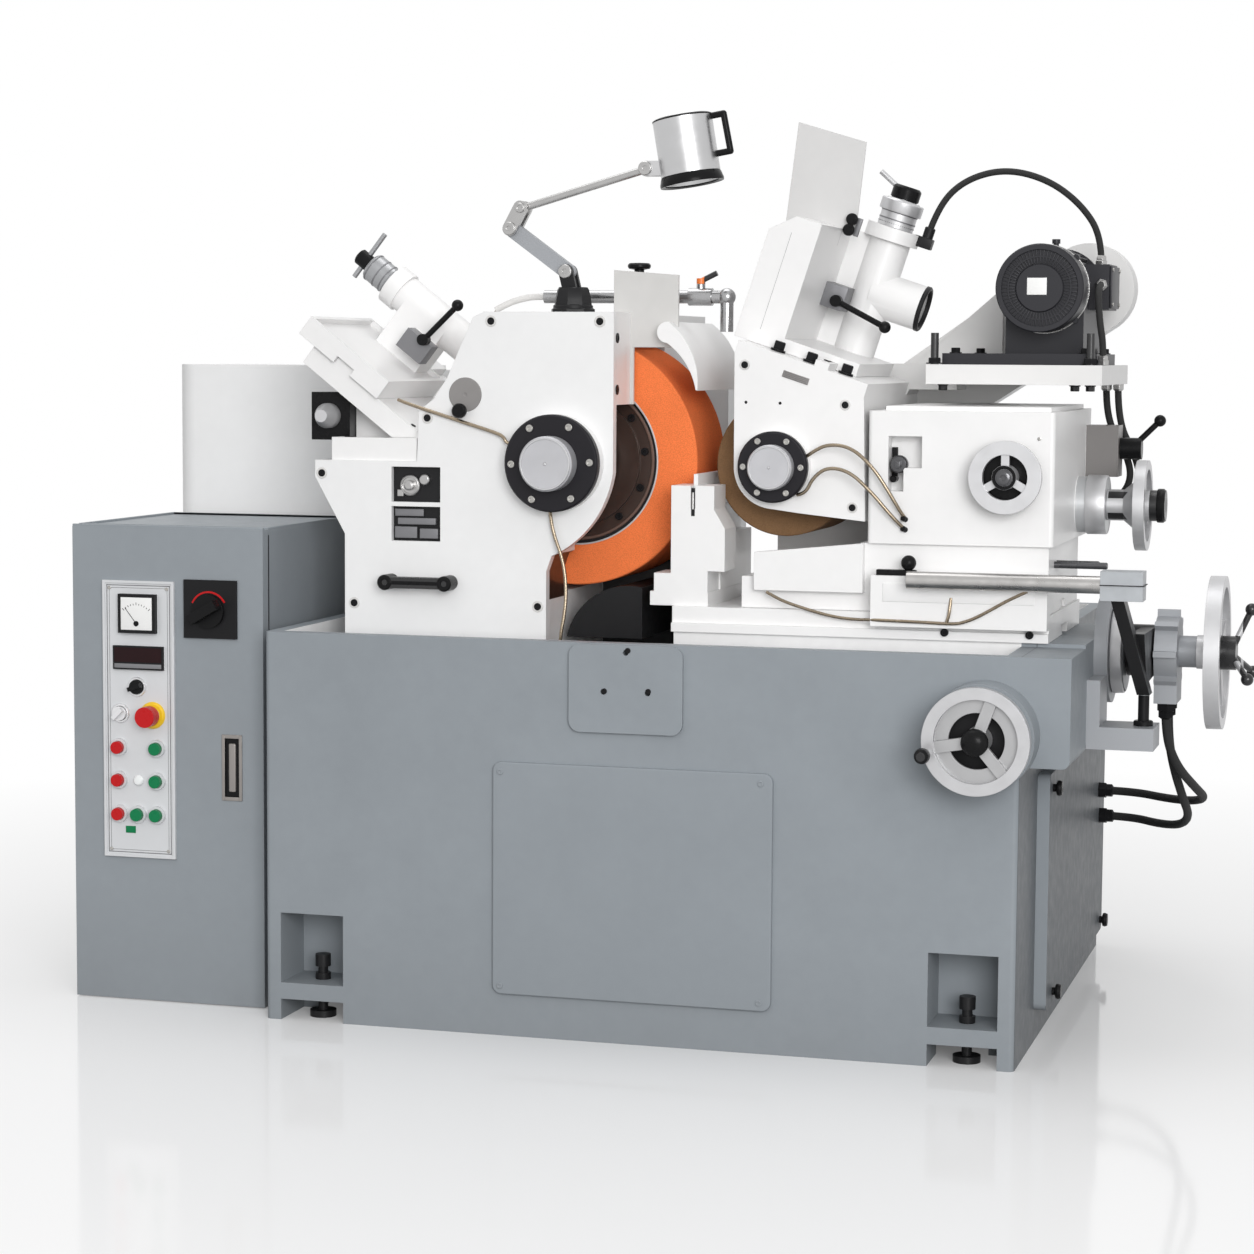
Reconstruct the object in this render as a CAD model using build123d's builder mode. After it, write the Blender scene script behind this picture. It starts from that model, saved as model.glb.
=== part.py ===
from build123d import *

import os
from math import atan2, cos, degrees, hypot, radians, sin, tan

os.makedirs("parts", exist_ok=True)

# Fits: radial running fit, gap beside sliding or swinging flats, free air round loose pieces.
running_fit = 0.05
slide_gap = 0.4
free_gap = 1.0

# Bed: a hollow casting, centred on the origin, standing on the floor at height zero.
bed_half_x = 680
bed_half_y = 575
bed_top = 705
bed_wall = 28
bed_corner = 10
deck_top = 640
deck_bottom = 610
cavity_floor = 62
foot_height = 38
foot_rib_x = 60
foot_outer_x = bed_half_x - 60
foot_outer_y = bed_half_y - 95
drain_x = (-150, 20)
drain_y = (-500, -60)
access_x = (-226, 239)
access_z = (96, 470)

# Levelling pockets near the four corners, with the bolts that stand in them.
pocket_x = bed_half_x - 89
pocket_half = 60
pocket_z = (68, 196)
pocket_depth = 110
pocket_block_x = bed_half_x - 180
pocket_block_y = bed_half_y - 135
pocket_block_top = 226
level_bolt_y = bed_half_y - 55
level_bolt_r = 9
level_pad_r = 24
level_pad_h = 12
level_nut_r = 14
level_nut_h = 12
level_head_z = (92, 114)

# Screw pad on the front of the bed, for a work chute.
pad_x = (-107, 98)
pad_z = (549, 703)
pad_proud = 8
pad_corner = 20
pad_centre = (-4, 644)
pad_pcd = 92
pad_hole_r = 5.1
pad_hole_depth = 24
pad_hole_count = 3

# Block on the right of the bed for the infeed unit, and the bedway across the pan.
side_block_x = bed_half_x + 84
side_block_y = (-bed_half_y, -60)
side_block_bottom = 519
side_block_round = 14
way_x = (30, side_block_x)
way_y = (-390, 20)
way_top = 711.6
way_key_half = 40
way_key_flare = 8
way_key_h = 18

# Covers on the bed.
front_cover_x = (-246, 259)
front_cover_z = (76, 490)
front_cover_t = 8
front_cover_corner = 16
side_cover_t = 22
side_cover_y = (-350, 460)
side_cover_z = (57, 477)

# Front handwheel: drives the lower slide through a screw inside the bed.
front_wheel_x = bed_half_x - 58
front_wheel_z = 573
front_boss_r = 92
front_boss_depth = 65
front_wheel_r = 90
front_wheel_standoff = 32
front_wheel_y = -bed_half_y - front_boss_depth - front_wheel_standoff
front_wheel_rim = 20
front_wheel_turn = 70
front_web_t = 6
front_web_bore = 47
front_wheel_shaft_r = 15
shaft_depth = 70

# Electrical cabinet with a hinged door, standing left of the bed.
cabinet_gap = 32
cabinet_w = 379
cabinet_left = -bed_half_x - cabinet_gap - cabinet_w
cabinet_x = (cabinet_left, cabinet_left + cabinet_w)
cabinet_y = (-480, -65)
cabinet_h = 882
cabinet_sheet = 4
cabinet_rim = 22
cabinet_lug_z = (120, 620)
cabinet_lug_h = 60
cabinet_lug_y = (-400, -300)
door_t = 25
door_sheet = 3
door_margin = 2
hinge_r = 6
hinge_h = 40
hinge_z = (120, cabinet_h - 162)
recess_x = (cabinet_left + 302, cabinet_left + 332)
recess_z = (cabinet_h - 493, cabinet_h - 381)
recess_depth = 14

# Control panel on the door.
panel_x = (cabinet_left + 62, cabinet_left + 205)
panel_z = (cabinet_h - 612, cabinet_h - 98)
panel_t = 4
panel_border = 5
panel_border_t = 2
meter_x = (cabinet_left + 98, cabinet_left + 172)
meter_z = (cabinet_h - 194, cabinet_h - 122)
meter_t = 12
display_x = (cabinet_left + 85, cabinet_left + 185)
display_z = (cabinet_h - 262, cabinet_h - 218)
display_t = 7
switch_plate_x = (cabinet_left + 225, cabinet_left + 329)
switch_plate_z = (cabinet_h - 200, cabinet_h - 93)
switch_plate_t = 6
switch_at = (cabinet_left + 275, cabinet_h - 150)
switch_r = 31
switch_h = 26
switch_turn = 30
speed_at = (cabinet_left + 131, cabinet_h - 294)
selector_at = (cabinet_left + 97, cabinet_h - 344)
stop_at = (cabinet_left + 161, cabinet_h - 346)
knob_r = 13
knob_h = 20
knob_bar = (1.9, 0.6)
speed_turn = 20
selector_turn = 45
stop_r = 19
stop_h = 24
button_stem_r = 8
button_r = 11.5
button_ring_r = 16
button_ring_h = 8
button_h = 11
button_travel = 5
red_x = cabinet_left + 94
green_x = cabinet_left + 170
green_left_x = cabinet_left + 132
button_rows = (cabinet_h - 407, cabinet_h - 468, cabinet_h - 531)

# Drive cover: closed sheet housing of the main motor, with a belt tunnel to the spindle.
drive_x = (-bed_half_x - 421, -bed_half_x)
drive_y = (-30, 400)
drive_h = 1179
drive_sheet = 6
drive_corner = 45
tunnel_end = -30
tunnel_y = (240, 400)
tunnel_z = (850, 1170)

# Grinding wheel on a hub and a spindle along Y.
wheel_x = -183
wheel_z = 1010
wheel_r = 227.5
wheel_chamfer = 2
wheel_bore_r = 152.4
wheel_y = (-288, -83)
hub_recess = 10
hub_ring_r = 118
hub_ring_h = 6
journal_r = 60
spindle_front = -408
spindle_rear = 357
pulley_r = 110
pulley_y = (285, 355)
pulley_grooves = 4
pulley_groove = 9

# Wheel head: casting over the wheel, outline in X and Z, with a cover plate on its front.
head_y = (-390, 240)
head_cover_t = 20
head_left = -590
head_shoulder_left = -648
head_shoulder_z = (874, 977, 1008)
head_step_x = (-450, -446)
head_step_z = 1100
head_over_wheel = 41.5
head_top = wheel_z + wheel_r + head_over_wheel
head_slope = ((-417, 1122), (-392, 1160), (-343, head_top - 10), (-322, head_top))
head_right = -79
head_nose_z = 994
head_nose_mid = (-95, 939)
head_nose_end = (-193, 842)
head_foot_right = -203
head_cover_bottom = 662
chamber_r = 240
chamber_y = (-300, -65)
housing_r = 78
window_x = (-499, -405)
window_upper_z = (934, 998)
window_lower_z = (863, 926)
grip_x = (-509, -375)
grip_z = 789
grip_r = 10
grip_proud = 38
ledge_x = (-617, -452)
ledge_y = (-405, -340)
ledge_top = 1050
ledge_wall = 8
traverse_box_x = (-674, -600)
traverse_box_y = (-360, -270)
traverse_box_z = (1044, 1131)
traverse_knob_at = (-640, 1088)
traverse_knob_r = 23
traverse_knob_h = 42
knob_pin_r = 6
knob_pin_depth = 14
rear_plate_x = 16
rear_plate_lap = 20
rear_plate_y = (-50, -42)
rear_plate_top = 840
bearing_flange_r = 87
bearing_flange_t = 41
flange_chamfer = 3
cap_chamfer = 4
bearing_cap_r = 49
bearing_cap_h = 34

# Guard above the wheel: a flat plate against the front wall and a coolant hood beside the rim.
guard_t = 6
guard_x = (-111, 10)
guard_top = (head_top + 77, head_top + 68)
guard_step_z = 1217
guard_leg_right = -73
guard_leg_z = 1114
hood_y = (-330, -10)
hood_nose = ((-1, head_top - 16), (-21.5, head_top - 33), (-3, head_top - 54))
hood_outer = (42, head_top - 68)
hood_inner = (27, head_top - 83)
hood_tip = ((54, head_top - 139), (51, head_top - 138))

# Wheel dresser on the wheel head: its axis meets the wheel axis at a slope.
dress_tilt = 38
dress_quill_y = -130
dress_quill_r = 20
dress_tip = 228.8
dress_nose_r = 8
dress_nose_end = 252
dress_housing_r = 36
dress_housing = (272, 500)
dress_collar_r = 40
dress_collar_end = 530
dress_dial_r = 28
dress_dial_end = 585
dress_hub_r = 15
dress_hub_end = 614
dress_bar = (-38, 64)
dress_bar_r = 5
dress_tray_along = (343, 535)
dress_tray_drop = (88, 128)
dress_tray_y = (-400, -91)
dress_tray_dish = 10
dress_tray_rim = 8
dress_bracket_along = (380, 480)
dress_slab_along = (225, 500)
dress_slab_t = 39
dress_slab_y = (-390, 110)
dress_slot_half = 26
dress_slot_y = (-332, -38)
dress_key_along = (410, 450)
dress_key_h = 14
dress_clamp_along = (372, 430)
dress_clamp_drop = (30, 70)
dress_clamp_front = -206
dress_pedestal_x = (-605, -477)
dress_pedestal_y = (-330, 60)
dress_lever_at = (-507, 1229)
dress_lever_ball = (-437, 1293)
lever_hub_r = 11
lever_hub_h = 18
lever_arm_r = 5.5
lever_ball_r = 11
handle_taper = 3.5
lever_pin_r = 6
lever_pin_depth = 12

# Coolant pipe along the top of the wheel head, with a shut-off valve and a nozzle.
pipe_y = -240
pipe_z = head_top + 30
pipe_x = (-261, 85)
pipe_r = 12
pipe_clip_x = (-232, -120)
pipe_clip_w = 24
nozzle_bottom = pipe_z - 63
valve_x = (14, 58)
valve_r = 16
valve_stem_x = 36
valve_stem_r = 8
valve_stem_top = pipe_z + 23
valve_pin_r = 4
valve_pin_depth = 10
valve_lever_end = (66, valve_stem_top + 20)
valve_lever_r = 5

# Work lamp on a folding arm, in one upright plane.
lamp_y = -340
lamp_base_x = -176
lamp_foot_r = 36
lamp_foot_h = 12
lamp_post_r = 26
lamp_post_top = head_top + 45
lamp_pin_r = 10
lamp_pin_depth = 16
lamp_pivot = (-186, head_top + 73)
lamp_elbow = (-292, head_top + 150)
lamp_bend = (-272, head_top + 187)
lamp_knuckle = (-38, head_top + 255)
lamp_eye_r = 14
lamp_eye_half = 8
lamp_cheek_t = 9
lamp_cheek_r = 13
lamp_joint_r = 6
lamp_rod_r = 7
lamp_rim = (44, head_top + 231)
lamp_top = (24, head_top + 347)
lamp_head_r = 52
lamp_head_wall = 4
lamp_head_depth = 70
lamp_loop_r = 5
lamp_loop_reach = 28
lamp_loop_from = 0.35
lamp_loop_to = 0.92
lamp_loop_sink = 2
lamp_web_step = 2
lamp_chamfer = 6

# Lower slide on the bedway and upper slide on the lower one, both along X.
slide_y = (-390, 20)
lower_x = (27, 700)
lower_bottom = way_top + slide_gap
lower_top = 757
lower_lip_y = -398
lower_lip_h = 16
stop_block_x = (392, 700)
stop_block_y = (-420, -373.5)
stop_block_z = (735, 824)
stop_slot_x = (420, 672)
stop_slot_z = (784, 806)
stop_slot_depth = 18
slide_key_half = 32
slide_key_h = 16
slide_key_x = (140, 690)
upper_x = (150, 695)
upper_front = -372
upper_top = 877
upper_ramp_x = 364
upper_back_x = (127, 372)
upper_back_y = (8, 20)
upper_back_z = (826, 898)
trough_x = (176, 372)
trough_front = -390
trough_bottom = 790
trough_top = (857, 877)
trough_drop = 22

# Work rest with its blade, standing on the lower slide between the wheels.
rest_front_y = (-380, -297)
rest_base_x = (-17, 90)
rest_base_y = (-380, -62)
rest_base_top = 782
rest_pillar_x = (21, 100)
rest_top = 972
rest_flare_z = (820, 896, 930)
rest_flare_x = 120
rest_waist_x = 89
rest_wall_x = (28, 92)
rest_wall_top = 882
rest_nub_x = (-10, 24)
rest_nub_top = 815
blade_x = (57, 65)
blade_y = (-360, -70)
blade_top = 992
blade_slot_floor = 931
blade_bar_x = (50, 72)

# Regulating wheel and spindle, parallel to the grinding spindle at rest.
reg_x = 209
reg_z = 1008
reg_r = 127.5
reg_bore_r = 55.6
reg_journal_r = 32
reg_front = -365
reg_pulley_r = 58
reg_pulley_y = (162, 204)
reg_hub_recess = 8

# Regulating wheel head: outline in X and Z; its top slopes square to the dresser axis.
reg_head_y = (-367, 150)
reg_tilt = 18
reg_top = 167
reg_top_left = 136
reg_top_right = -110
reg_head_right = 370
pivot_boss_h = 7
reg_head_bottom = ((370, 914), (254, 926), (199, 933))
reg_nose_mid = (147, 962)
reg_nose_left = 132
reg_chamber_r = 138
reg_chamber_y = (-300, -71)
reg_flange_r = 63
reg_flange_t = 33
reg_cap_r = 40
reg_cap_h = 25
pivot_y = -185
pivot_z = 1008
pivot_boss_r = 70
pivot_pin_r = 25
pivot_pin_depth = 60

# Dresser of the regulating wheel: saddle plate, carriage with a tower, quill and crank.
saddle_t = 23
saddle_y = (-367, 25)
saddle_key_l = (-34, -8)
saddle_key_h = 12
reg_slot_half = 24
reg_slot_y = (-330, 22)
reg_base_l = (-72, 162)
reg_base_top = 214
reg_base_y = (-300, 22)
tower_y = -20
tower_r = 38.5
tower_top = 430
tower_collar_r = 51
tower_collar_top = 455
reg_quill_r = 18
reg_tip = 129
reg_nose_r = 7
reg_nose_end = 150
reg_dial_r = 34
reg_dial_top = 508
reg_hub_r = 24
reg_hub_top = 532
reg_crank_end = (546, 58)
reg_crank_r = 5
side_boss_r = 42
side_boss_b = 330
side_boss_l = -95
box_l = (72, 162)
box_b = 390
box_step_l = 120
box_step_b = 426
box_y = (-300, 0)
splash_y = -120
splash_t = 3
splash_corners = ((400, 176), (585, 212), (588, 80), (425, 46))
reg_clamp_b = (282, 326)
reg_clamp_l = (30, 72)
reg_clamp_y = (-108, -50)
reg_lever_at = (298, 42)
reg_lever_ball = (281, -61)

# Motor of the regulating wheel on its table, which is carried by the regulating head.
table_x = (453, 765)
table_y = (-250, 150)
table_z = (1155, 1190)
bracket_x = (285, 460)
bracket_y = (40, 150)
bracket_bottom = 1142
gusset_x = (360, 530)
gusset_z = (table_z[1] - 4, table_z[1] + 145)
gusset_t = 14
table_bolt_x = (465, 742)
table_bolt_y = -230
table_bolt_r = 7
table_bolt_top = table_z[1] + 56
motor_axis_h = 136
motor_at = (646, table_z[1] + motor_axis_h)
motor_foot_x = (476, 744)
motor_foot_front = -215
motor_foot_t = 20
motor_y = (-200, 120)
motor_fan_r = 78
motor_fan_chamfer = 8
motor_fan_depth = 70
motor_body_r = 70
motor_box_x = (700, 752)
motor_box_y = (-60, 60)
motor_box_z = (motor_at[1] - 36, motor_at[1] + 46)
motor_shaft_r = 14
motor_shaft_end = 206
belt_guard_y = (150, 216)
belt_guard_motor = (688, motor_at[1] + 6)
belt_guard_motor_r = 86
belt_guard_spindle_r = 74
belt_guard_wall = 5

# Gearbox on the upper slide, with a tilt handwheel, a side handwheel and a gear lever.
gear_x = (reg_head_right + pivot_boss_h, 703)
gear_y = (-381, 120)
gear_z = (877, 1109)
gear_round = 8
gear_lid_x = (400, 690)
gear_lid_y = (-340, 100)
gear_lid_t = 8
gear_window_x = (413, 472)
gear_window_z = (969, 1065)
gear_window_step = (440, 1010)
gear_window_depth = 34
tilt_wheel_x = 624
tilt_wheel_z = 998
tilt_boss_r = 40
tilt_boss_h = 14
tilt_wheel_r = 63
tilt_rim_w = 24
tilt_rim_t = 14
tilt_wheel_y = -420
tilt_shaft_r = 12
drum_y = -55
drum_z = 937
drum_r = 51
drum_end = 757
speed_shaft_r = 18
speed_wheel_r = 82
speed_wheel_x = 820
speed_hub_end = 862
gear_block_y = (40, 110)
gear_block_z = (984, 1079)
gear_block_end = 763
gear_lever_y = 75
gear_lever_z = 1036
gear_lever_hub_r = 20
gear_lever_hub_end = 803
gear_lever_ball = (835, 75, 1088)

# Infeed unit on the right of the bed: flange, lever shaft, ribbed housing and stop bracket.
infeed_y = -185
infeed_z = 686
infeed_flange_r = 95
infeed_flange_end = side_block_x + 24
infeed_ring_r = 72
infeed_ring_end = side_block_x + 48
infeed_shaft_r = 24.9
infeed_housing_r = 62
infeed_housing_x = (side_block_x + 101, side_block_x + 141)
infeed_sump_z = 596
infeed_sump_half = 45
infeed_sleeve_r = 28
infeed_sleeve_end = side_block_x + 171
infeed_stub_r = 15
infeed_stub_end = side_block_x + 184
infeed_rib_w = 10
infeed_rib_r = 74
infeed_rib_count = 8
infeed_wheel_r = 135.5
infeed_wheel_x = side_block_x + 206
infeed_wheel_hub_r = 30
infeed_handles = 3
lever_web_step = 4
infeed_star_end = side_block_x + 240
infeed_handle_x = side_block_x + 264
infeed_handle_ring = 78
stop_plate_x = (side_block_x, side_block_x + 23)
stop_plate_z = (528, 648)
stop_leg_end = side_block_x + 116
stop_leg_top = 567
stop_plate_y = (-365, -265)
stop_bolt_at = (side_block_x + 93, -315)
stop_bolt_r = 9
stop_bolt_top = 622
lever_hub_x = (side_block_x + 51, side_block_x + 98)
lever_hub_radius = 46
lever_foot = (side_block_x + 94, -315)
lever_knee = (side_block_x + 58, -440, 802)
lever_width = 45
lever_depth = 22
bar_r = 15
bar_x = (462, side_block_x + 104)
bar_y = -450
bar_z = 820
bar_clamp_x = (side_block_x + 32, bar_x[1])
bar_clamp_half = 25
front_crank_at = (82, 22)
front_crank_h = 46

# Hoses: routes as corner points; the bends between the straight runs are worked out from them.
hose_r = 8
supply_r = 6.5
cable_r = 6
bend_share = 0.45
hose_top_x = (infeed_housing_x[0] + infeed_housing_x[1]) / 2
hose_end_x = bed_half_x + side_cover_t
hydraulic_front = [
    (hose_top_x, infeed_y - 25, infeed_sump_z),
    (hose_top_x, infeed_y - 25, infeed_sump_z - 56),
    (side_block_x + 138, -175, 480),
    (side_block_x + 166, -70, 425),
    (side_block_x + 172, 60, 390),
    (side_block_x + 141, 180, 365),
    (side_block_x + 81, 285, 352),
    (side_block_x + 6, 372, 350),
    (hose_end_x, 372, 350),
]
hydraulic_back = [
    (hose_top_x, infeed_y + 25, infeed_sump_z),
    (hose_top_x, infeed_y + 25, infeed_sump_z - 58),
    (side_block_x + 128, -128, 474),
    (side_block_x + 138, -30, 402),
    (side_block_x + 141, 90, 350),
    (side_block_x + 116, 198, 315),
    (side_block_x + 66, 300, 299),
    (side_block_x + 1, 388, 297),
    (hose_end_x, 388, 297),
]
supply_y = table_y[1] - 18
supply_outer = [
    (750, supply_y, table_z[0]),
    (750, supply_y, table_z[0] - 70),
    (786, 130, 1020),
    (802, 118, 955),
    (768, 102, 905),
    (gear_x[1], 102, 905),
]
supply_inner = [
    (728, supply_y, table_z[0]),
    (728, supply_y, table_z[0] - 65),
    (764, 130, 1035),
    (782, 124, 978),
    (754, 108, 934),
    (gear_x[1], 108, 934),
]
dresser_end = (motor_box_x[0] + motor_box_x[1]) / 2
dresser_route = [
    (410, tower_y, 1420),
    (428.5, tower_y, 1477),
    (474, -12, 1527),
    (548, 0, 1549),
    (626, 12, 1530),
    (688, 22, 1484),
    (dresser_end, 30, motor_box_z[1] + 53),
    (dresser_end, 30, motor_box_z[1]),
]
motor_route = [
    (739, motor_box_y[0], motor_at[1] + 9),
    (739, motor_box_y[0] - 44, motor_at[1] + 9),
    (742, -138, 1305),
    (748, -150, 1262),
    (754, -148, table_z[1] + 38),
    (754, -148, table_z[1]),
]


def front(y):
    """Plane that faces the operator at depth y: local x is X, local y is Z."""
    return Plane(origin=(0, y, 0), x_dir=(1, 0, 0), z_dir=(0, -1, 0))


def side(x):
    """Plane that faces right at x: local x is Y, local y is Z."""
    return Plane(origin=(x, 0, 0), x_dir=(0, 1, 0), z_dir=(1, 0, 0))


def block(x, y, z, mode=Mode.ADD):
    """Box between three pairs of limits."""
    with Locations(((x[0] + x[1]) / 2, (y[0] + y[1]) / 2, (z[0] + z[1]) / 2)):
        Box(abs(x[1] - x[0]), abs(y[1] - y[0]), abs(z[1] - z[0]), mode=mode)


def rod(start, direction, radius, length, mode=Mode.ADD):
    """Cylinder that starts at a point and runs along a direction."""
    with Locations(Plane(origin=start, z_dir=direction).location):
        Cylinder(radius, length, align=(Align.CENTER, Align.CENTER, Align.MIN), mode=mode)


def link(start, end, radius, mode=Mode.ADD):
    """Cylinder from one point to another."""
    along = Vector(end) - Vector(start)
    rod(start, along, radius, along.length, mode)


def ball(centre, radius):
    """Ball knob at a point."""
    with Locations(centre):
        Sphere(radius)


def prism(points, plane, depth, mode=Mode.ADD):
    """Closed outline on a plane, drawn out along the plane's normal."""
    with BuildSketch(plane) as outline:
        with BuildLine():
            Polyline(*points, close=True)
        make_face()
    extrude(outline.sketch, amount=depth, mode=mode)


def rounded(x, y, plane, corner, depth, mode=Mode.ADD):
    """Rectangle with round corners between limits on a plane, drawn out along its normal."""
    with BuildSketch(plane) as outline:
        with Locations(((x[0] + x[1]) / 2, (y[0] + y[1]) / 2)):
            RectangleRounded(x[1] - x[0], y[1] - y[0], corner)
    extrude(outline.sketch, amount=depth, mode=mode)


def turned(origin, along, points, mode=Mode.ADD):
    """Turned body: points give the distance along the axis and the radius."""
    across = (1, 0, 0) if abs(along[0]) < 0.5 else (0, 1, 0)
    normal = Vector(along).cross(Vector(across))
    with BuildSketch(Plane(origin=origin, x_dir=along, z_dir=normal)) as profile:
        with BuildLine():
            Polyline(*points, close=True)
        make_face()
    revolve(profile.sketch, axis=Axis(origin, along), mode=mode)


def shifted(point, direction, distance):
    """Point moved along a direction."""
    return tuple(a + b * distance for a, b in zip(point, direction))


def spoked_wheel(centre, out, rim_r, rim_w, rim_t, hub_r, hub_back, hub_front, spokes, turn):
    """Handwheel: rim ring, hub and spokes; out points away from the machine."""
    plane = Plane(origin=centre, x_dir=perpendicular(out), z_dir=out)
    with BuildSketch(plane) as ring:
        Circle(rim_r)
        Circle(rim_r - rim_w, mode=Mode.SUBTRACT)
    extrude(ring.sketch, amount=rim_t / 2, both=True)
    rod(shifted(centre, out, -hub_back), out, hub_r, hub_back + hub_front)
    with BuildSketch(plane) as arms:
        with PolarLocations(0, spokes, start_angle=turn):
            with Locations(((rim_r - rim_w / 2) / 2, 0)):
                Rectangle(rim_r - rim_w / 2, rim_t)
    extrude(arms.sketch, amount=rim_t / 4, both=True)


def ring_plate(centre, out, outer_r, bore_r, thickness):
    """Flat ring that starts at a centre and grows along a direction."""
    with BuildSketch(Plane(origin=centre, x_dir=perpendicular(out), z_dir=out)) as ring:
        Circle(outer_r)
        Circle(bore_r, mode=Mode.SUBTRACT)
    extrude(ring.sketch, amount=thickness)


def perpendicular(direction):
    """Level direction square to a given one."""
    if abs(direction[2]) > 0.9:
        return (1, 0, 0)
    return (-direction[1], direction[0], 0)


# Bed casting: pan on top, deck, hollow inside, pockets at the corners and ways across the pan.
with BuildPart() as bed:
    block((-bed_half_x, bed_half_x), (-bed_half_y, bed_half_y), (0, bed_top))
    fillet(bed.edges().filter_by(Axis.Z), radius=bed_corner)
    block(
        (bed_half_x - bed_corner, side_block_x), side_block_y, (side_block_bottom, bed_top)
    )
    fillet(
        bed.edges().filter_by(Axis.Y).group_by(Axis.X)[-1].group_by(Axis.Z)[0],
        radius=side_block_round,
    )
    rod((front_wheel_x, -bed_half_y, front_wheel_z), (0, -1, 0), front_boss_r, front_boss_depth)
    inner_x = bed_half_x - bed_wall
    inner_y = bed_half_y - bed_wall
    block((-inner_x, inner_x), (-inner_y, inner_y), (deck_top, bed_top), Mode.SUBTRACT)
    block((-inner_x, inner_x), (-inner_y, inner_y), (cavity_floor, deck_bottom), Mode.SUBTRACT)
    block(drain_x, drain_y, (deck_bottom, deck_top), Mode.SUBTRACT)
    block(access_x, (-bed_half_y, -inner_y), access_z, Mode.SUBTRACT)
    rounded(pad_x, pad_z, front(-bed_half_y), pad_corner, pad_proud)
    with BuildSketch(front(-bed_half_y - pad_proud)) as pad_holes:
        with Locations(pad_centre):
            with PolarLocations(pad_pcd / 2, pad_hole_count, start_angle=90):
                Circle(pad_hole_r)
    extrude(pad_holes.sketch, amount=-pad_hole_depth, mode=Mode.SUBTRACT)
    block(way_x, way_y, (deck_top, way_top))
    way_middle = (way_y[0] + way_y[1]) / 2
    key_foot = way_key_half - way_key_flare
    prism(
        [
            (way_middle - key_foot, way_top),
            (way_middle + key_foot, way_top),
            (way_middle + way_key_half, way_top + way_key_h),
            (way_middle - way_key_half, way_top + way_key_h),
        ],
        side(way_x[0]),
        bed_half_x - way_x[0],
    )
    for left_right in (-1, 1):
        for front_back in (-1, 1):
            block(
                (left_right * pocket_block_x, left_right * inner_x),
                (front_back * pocket_block_y, front_back * inner_y),
                (cavity_floor, pocket_block_top),
            )
            pocket_limits = (left_right * pocket_x - pocket_half, left_right * pocket_x + pocket_half)
            pocket_reach = (front_back * (bed_half_y - pocket_depth), front_back * bed_half_y)
            block(pocket_limits, pocket_reach, pocket_z, Mode.SUBTRACT)
            block(pocket_limits, pocket_reach, (0, foot_height), Mode.SUBTRACT)
            rod(
                (left_right * pocket_x, front_back * level_bolt_y, foot_height),
                (0, 0, 1),
                level_bolt_r + running_fit,
                pocket_z[0] - foot_height,
                Mode.SUBTRACT,
            )
        block(
            (left_right * foot_rib_x, left_right * foot_outer_x),
            (-foot_outer_y, foot_outer_y),
            (0, foot_height),
            Mode.SUBTRACT,
        )
    rod(
        (front_wheel_x, -bed_half_y - front_boss_depth, front_wheel_z),
        (0, 1, 0),
        front_wheel_shaft_r + running_fit,
        shaft_depth + free_gap,
        Mode.SUBTRACT,
    )
bed.part.label = "bed_casting"
export_step(bed.part, "parts/bed_casting.step")

# Screwed covers: a flat plate on the front, a shallow box on the right side.
with BuildPart() as covers:
    rounded(front_cover_x, front_cover_z, front(-bed_half_y), front_cover_corner, front_cover_t)
    fillet(covers.faces().sort_by(Axis.Y)[0].edges(), radius=front_cover_t / 3)
    rounded(side_cover_y, side_cover_z, side(bed_half_x), front_cover_corner, side_cover_t)
covers.part.label = "access_covers"
export_step(covers.part, "parts/access_covers.step")

# Levelling bolts: a foot pad in the notch, a lock nut on the pocket floor, a cap head above it.
with BuildPart() as level_bolts:
    for left_right in (-1, 1):
        for front_back in (-1, 1):
            turned(
                (left_right * pocket_x, front_back * level_bolt_y, 0),
                (0, 0, 1),
                [
                    (0, 0),
                    (0, level_pad_r),
                    (level_pad_h, level_pad_r),
                    (level_pad_h, level_bolt_r),
                    (pocket_z[0], level_bolt_r),
                    (pocket_z[0], level_nut_r),
                    (pocket_z[0] + level_nut_h, level_nut_r),
                    (pocket_z[0] + level_nut_h, level_bolt_r),
                    (level_head_z[0], level_bolt_r),
                    (level_head_z[0], level_nut_r),
                    (level_head_z[1], level_nut_r),
                    (level_head_z[1], 0),
                ],
            )
level_bolts.part.label = "levelling_bolts"
export_step(level_bolts.part, "parts/levelling_bolts.step")

# Cabinet: sheet box with a rim at the open front, lugs to the bed and half of each hinge.
hinge_at = (cabinet_x[0] - hinge_r, cabinet_y[0])
with BuildPart() as cabinet:
    block(cabinet_x, cabinet_y, (0, cabinet_h))
    block(
        (cabinet_x[0] + cabinet_sheet, cabinet_x[1] - cabinet_sheet),
        (cabinet_y[0] + cabinet_sheet, cabinet_y[1] - cabinet_sheet),
        (cabinet_sheet, cabinet_h - cabinet_sheet),
        Mode.SUBTRACT,
    )
    block(
        (cabinet_x[0] + cabinet_rim, cabinet_x[1] - cabinet_rim),
        (cabinet_y[0], cabinet_y[0] + cabinet_sheet),
        (cabinet_rim, cabinet_h - cabinet_rim),
        Mode.SUBTRACT,
    )
    for lug_bottom in cabinet_lug_z:
        block(
            (cabinet_x[1], -bed_half_x), cabinet_lug_y, (lug_bottom, lug_bottom + cabinet_lug_h)
        )
    for knuckle in hinge_z:
        block(
            (hinge_at[0], cabinet_x[0] + cabinet_sheet),
            (hinge_at[1], hinge_at[1] + cabinet_sheet),
            (knuckle, knuckle + hinge_h),
        )
        rod((*hinge_at, knuckle), (0, 0, 1), hinge_r, hinge_h)
cabinet.part.label = "cabinet_body"
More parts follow.
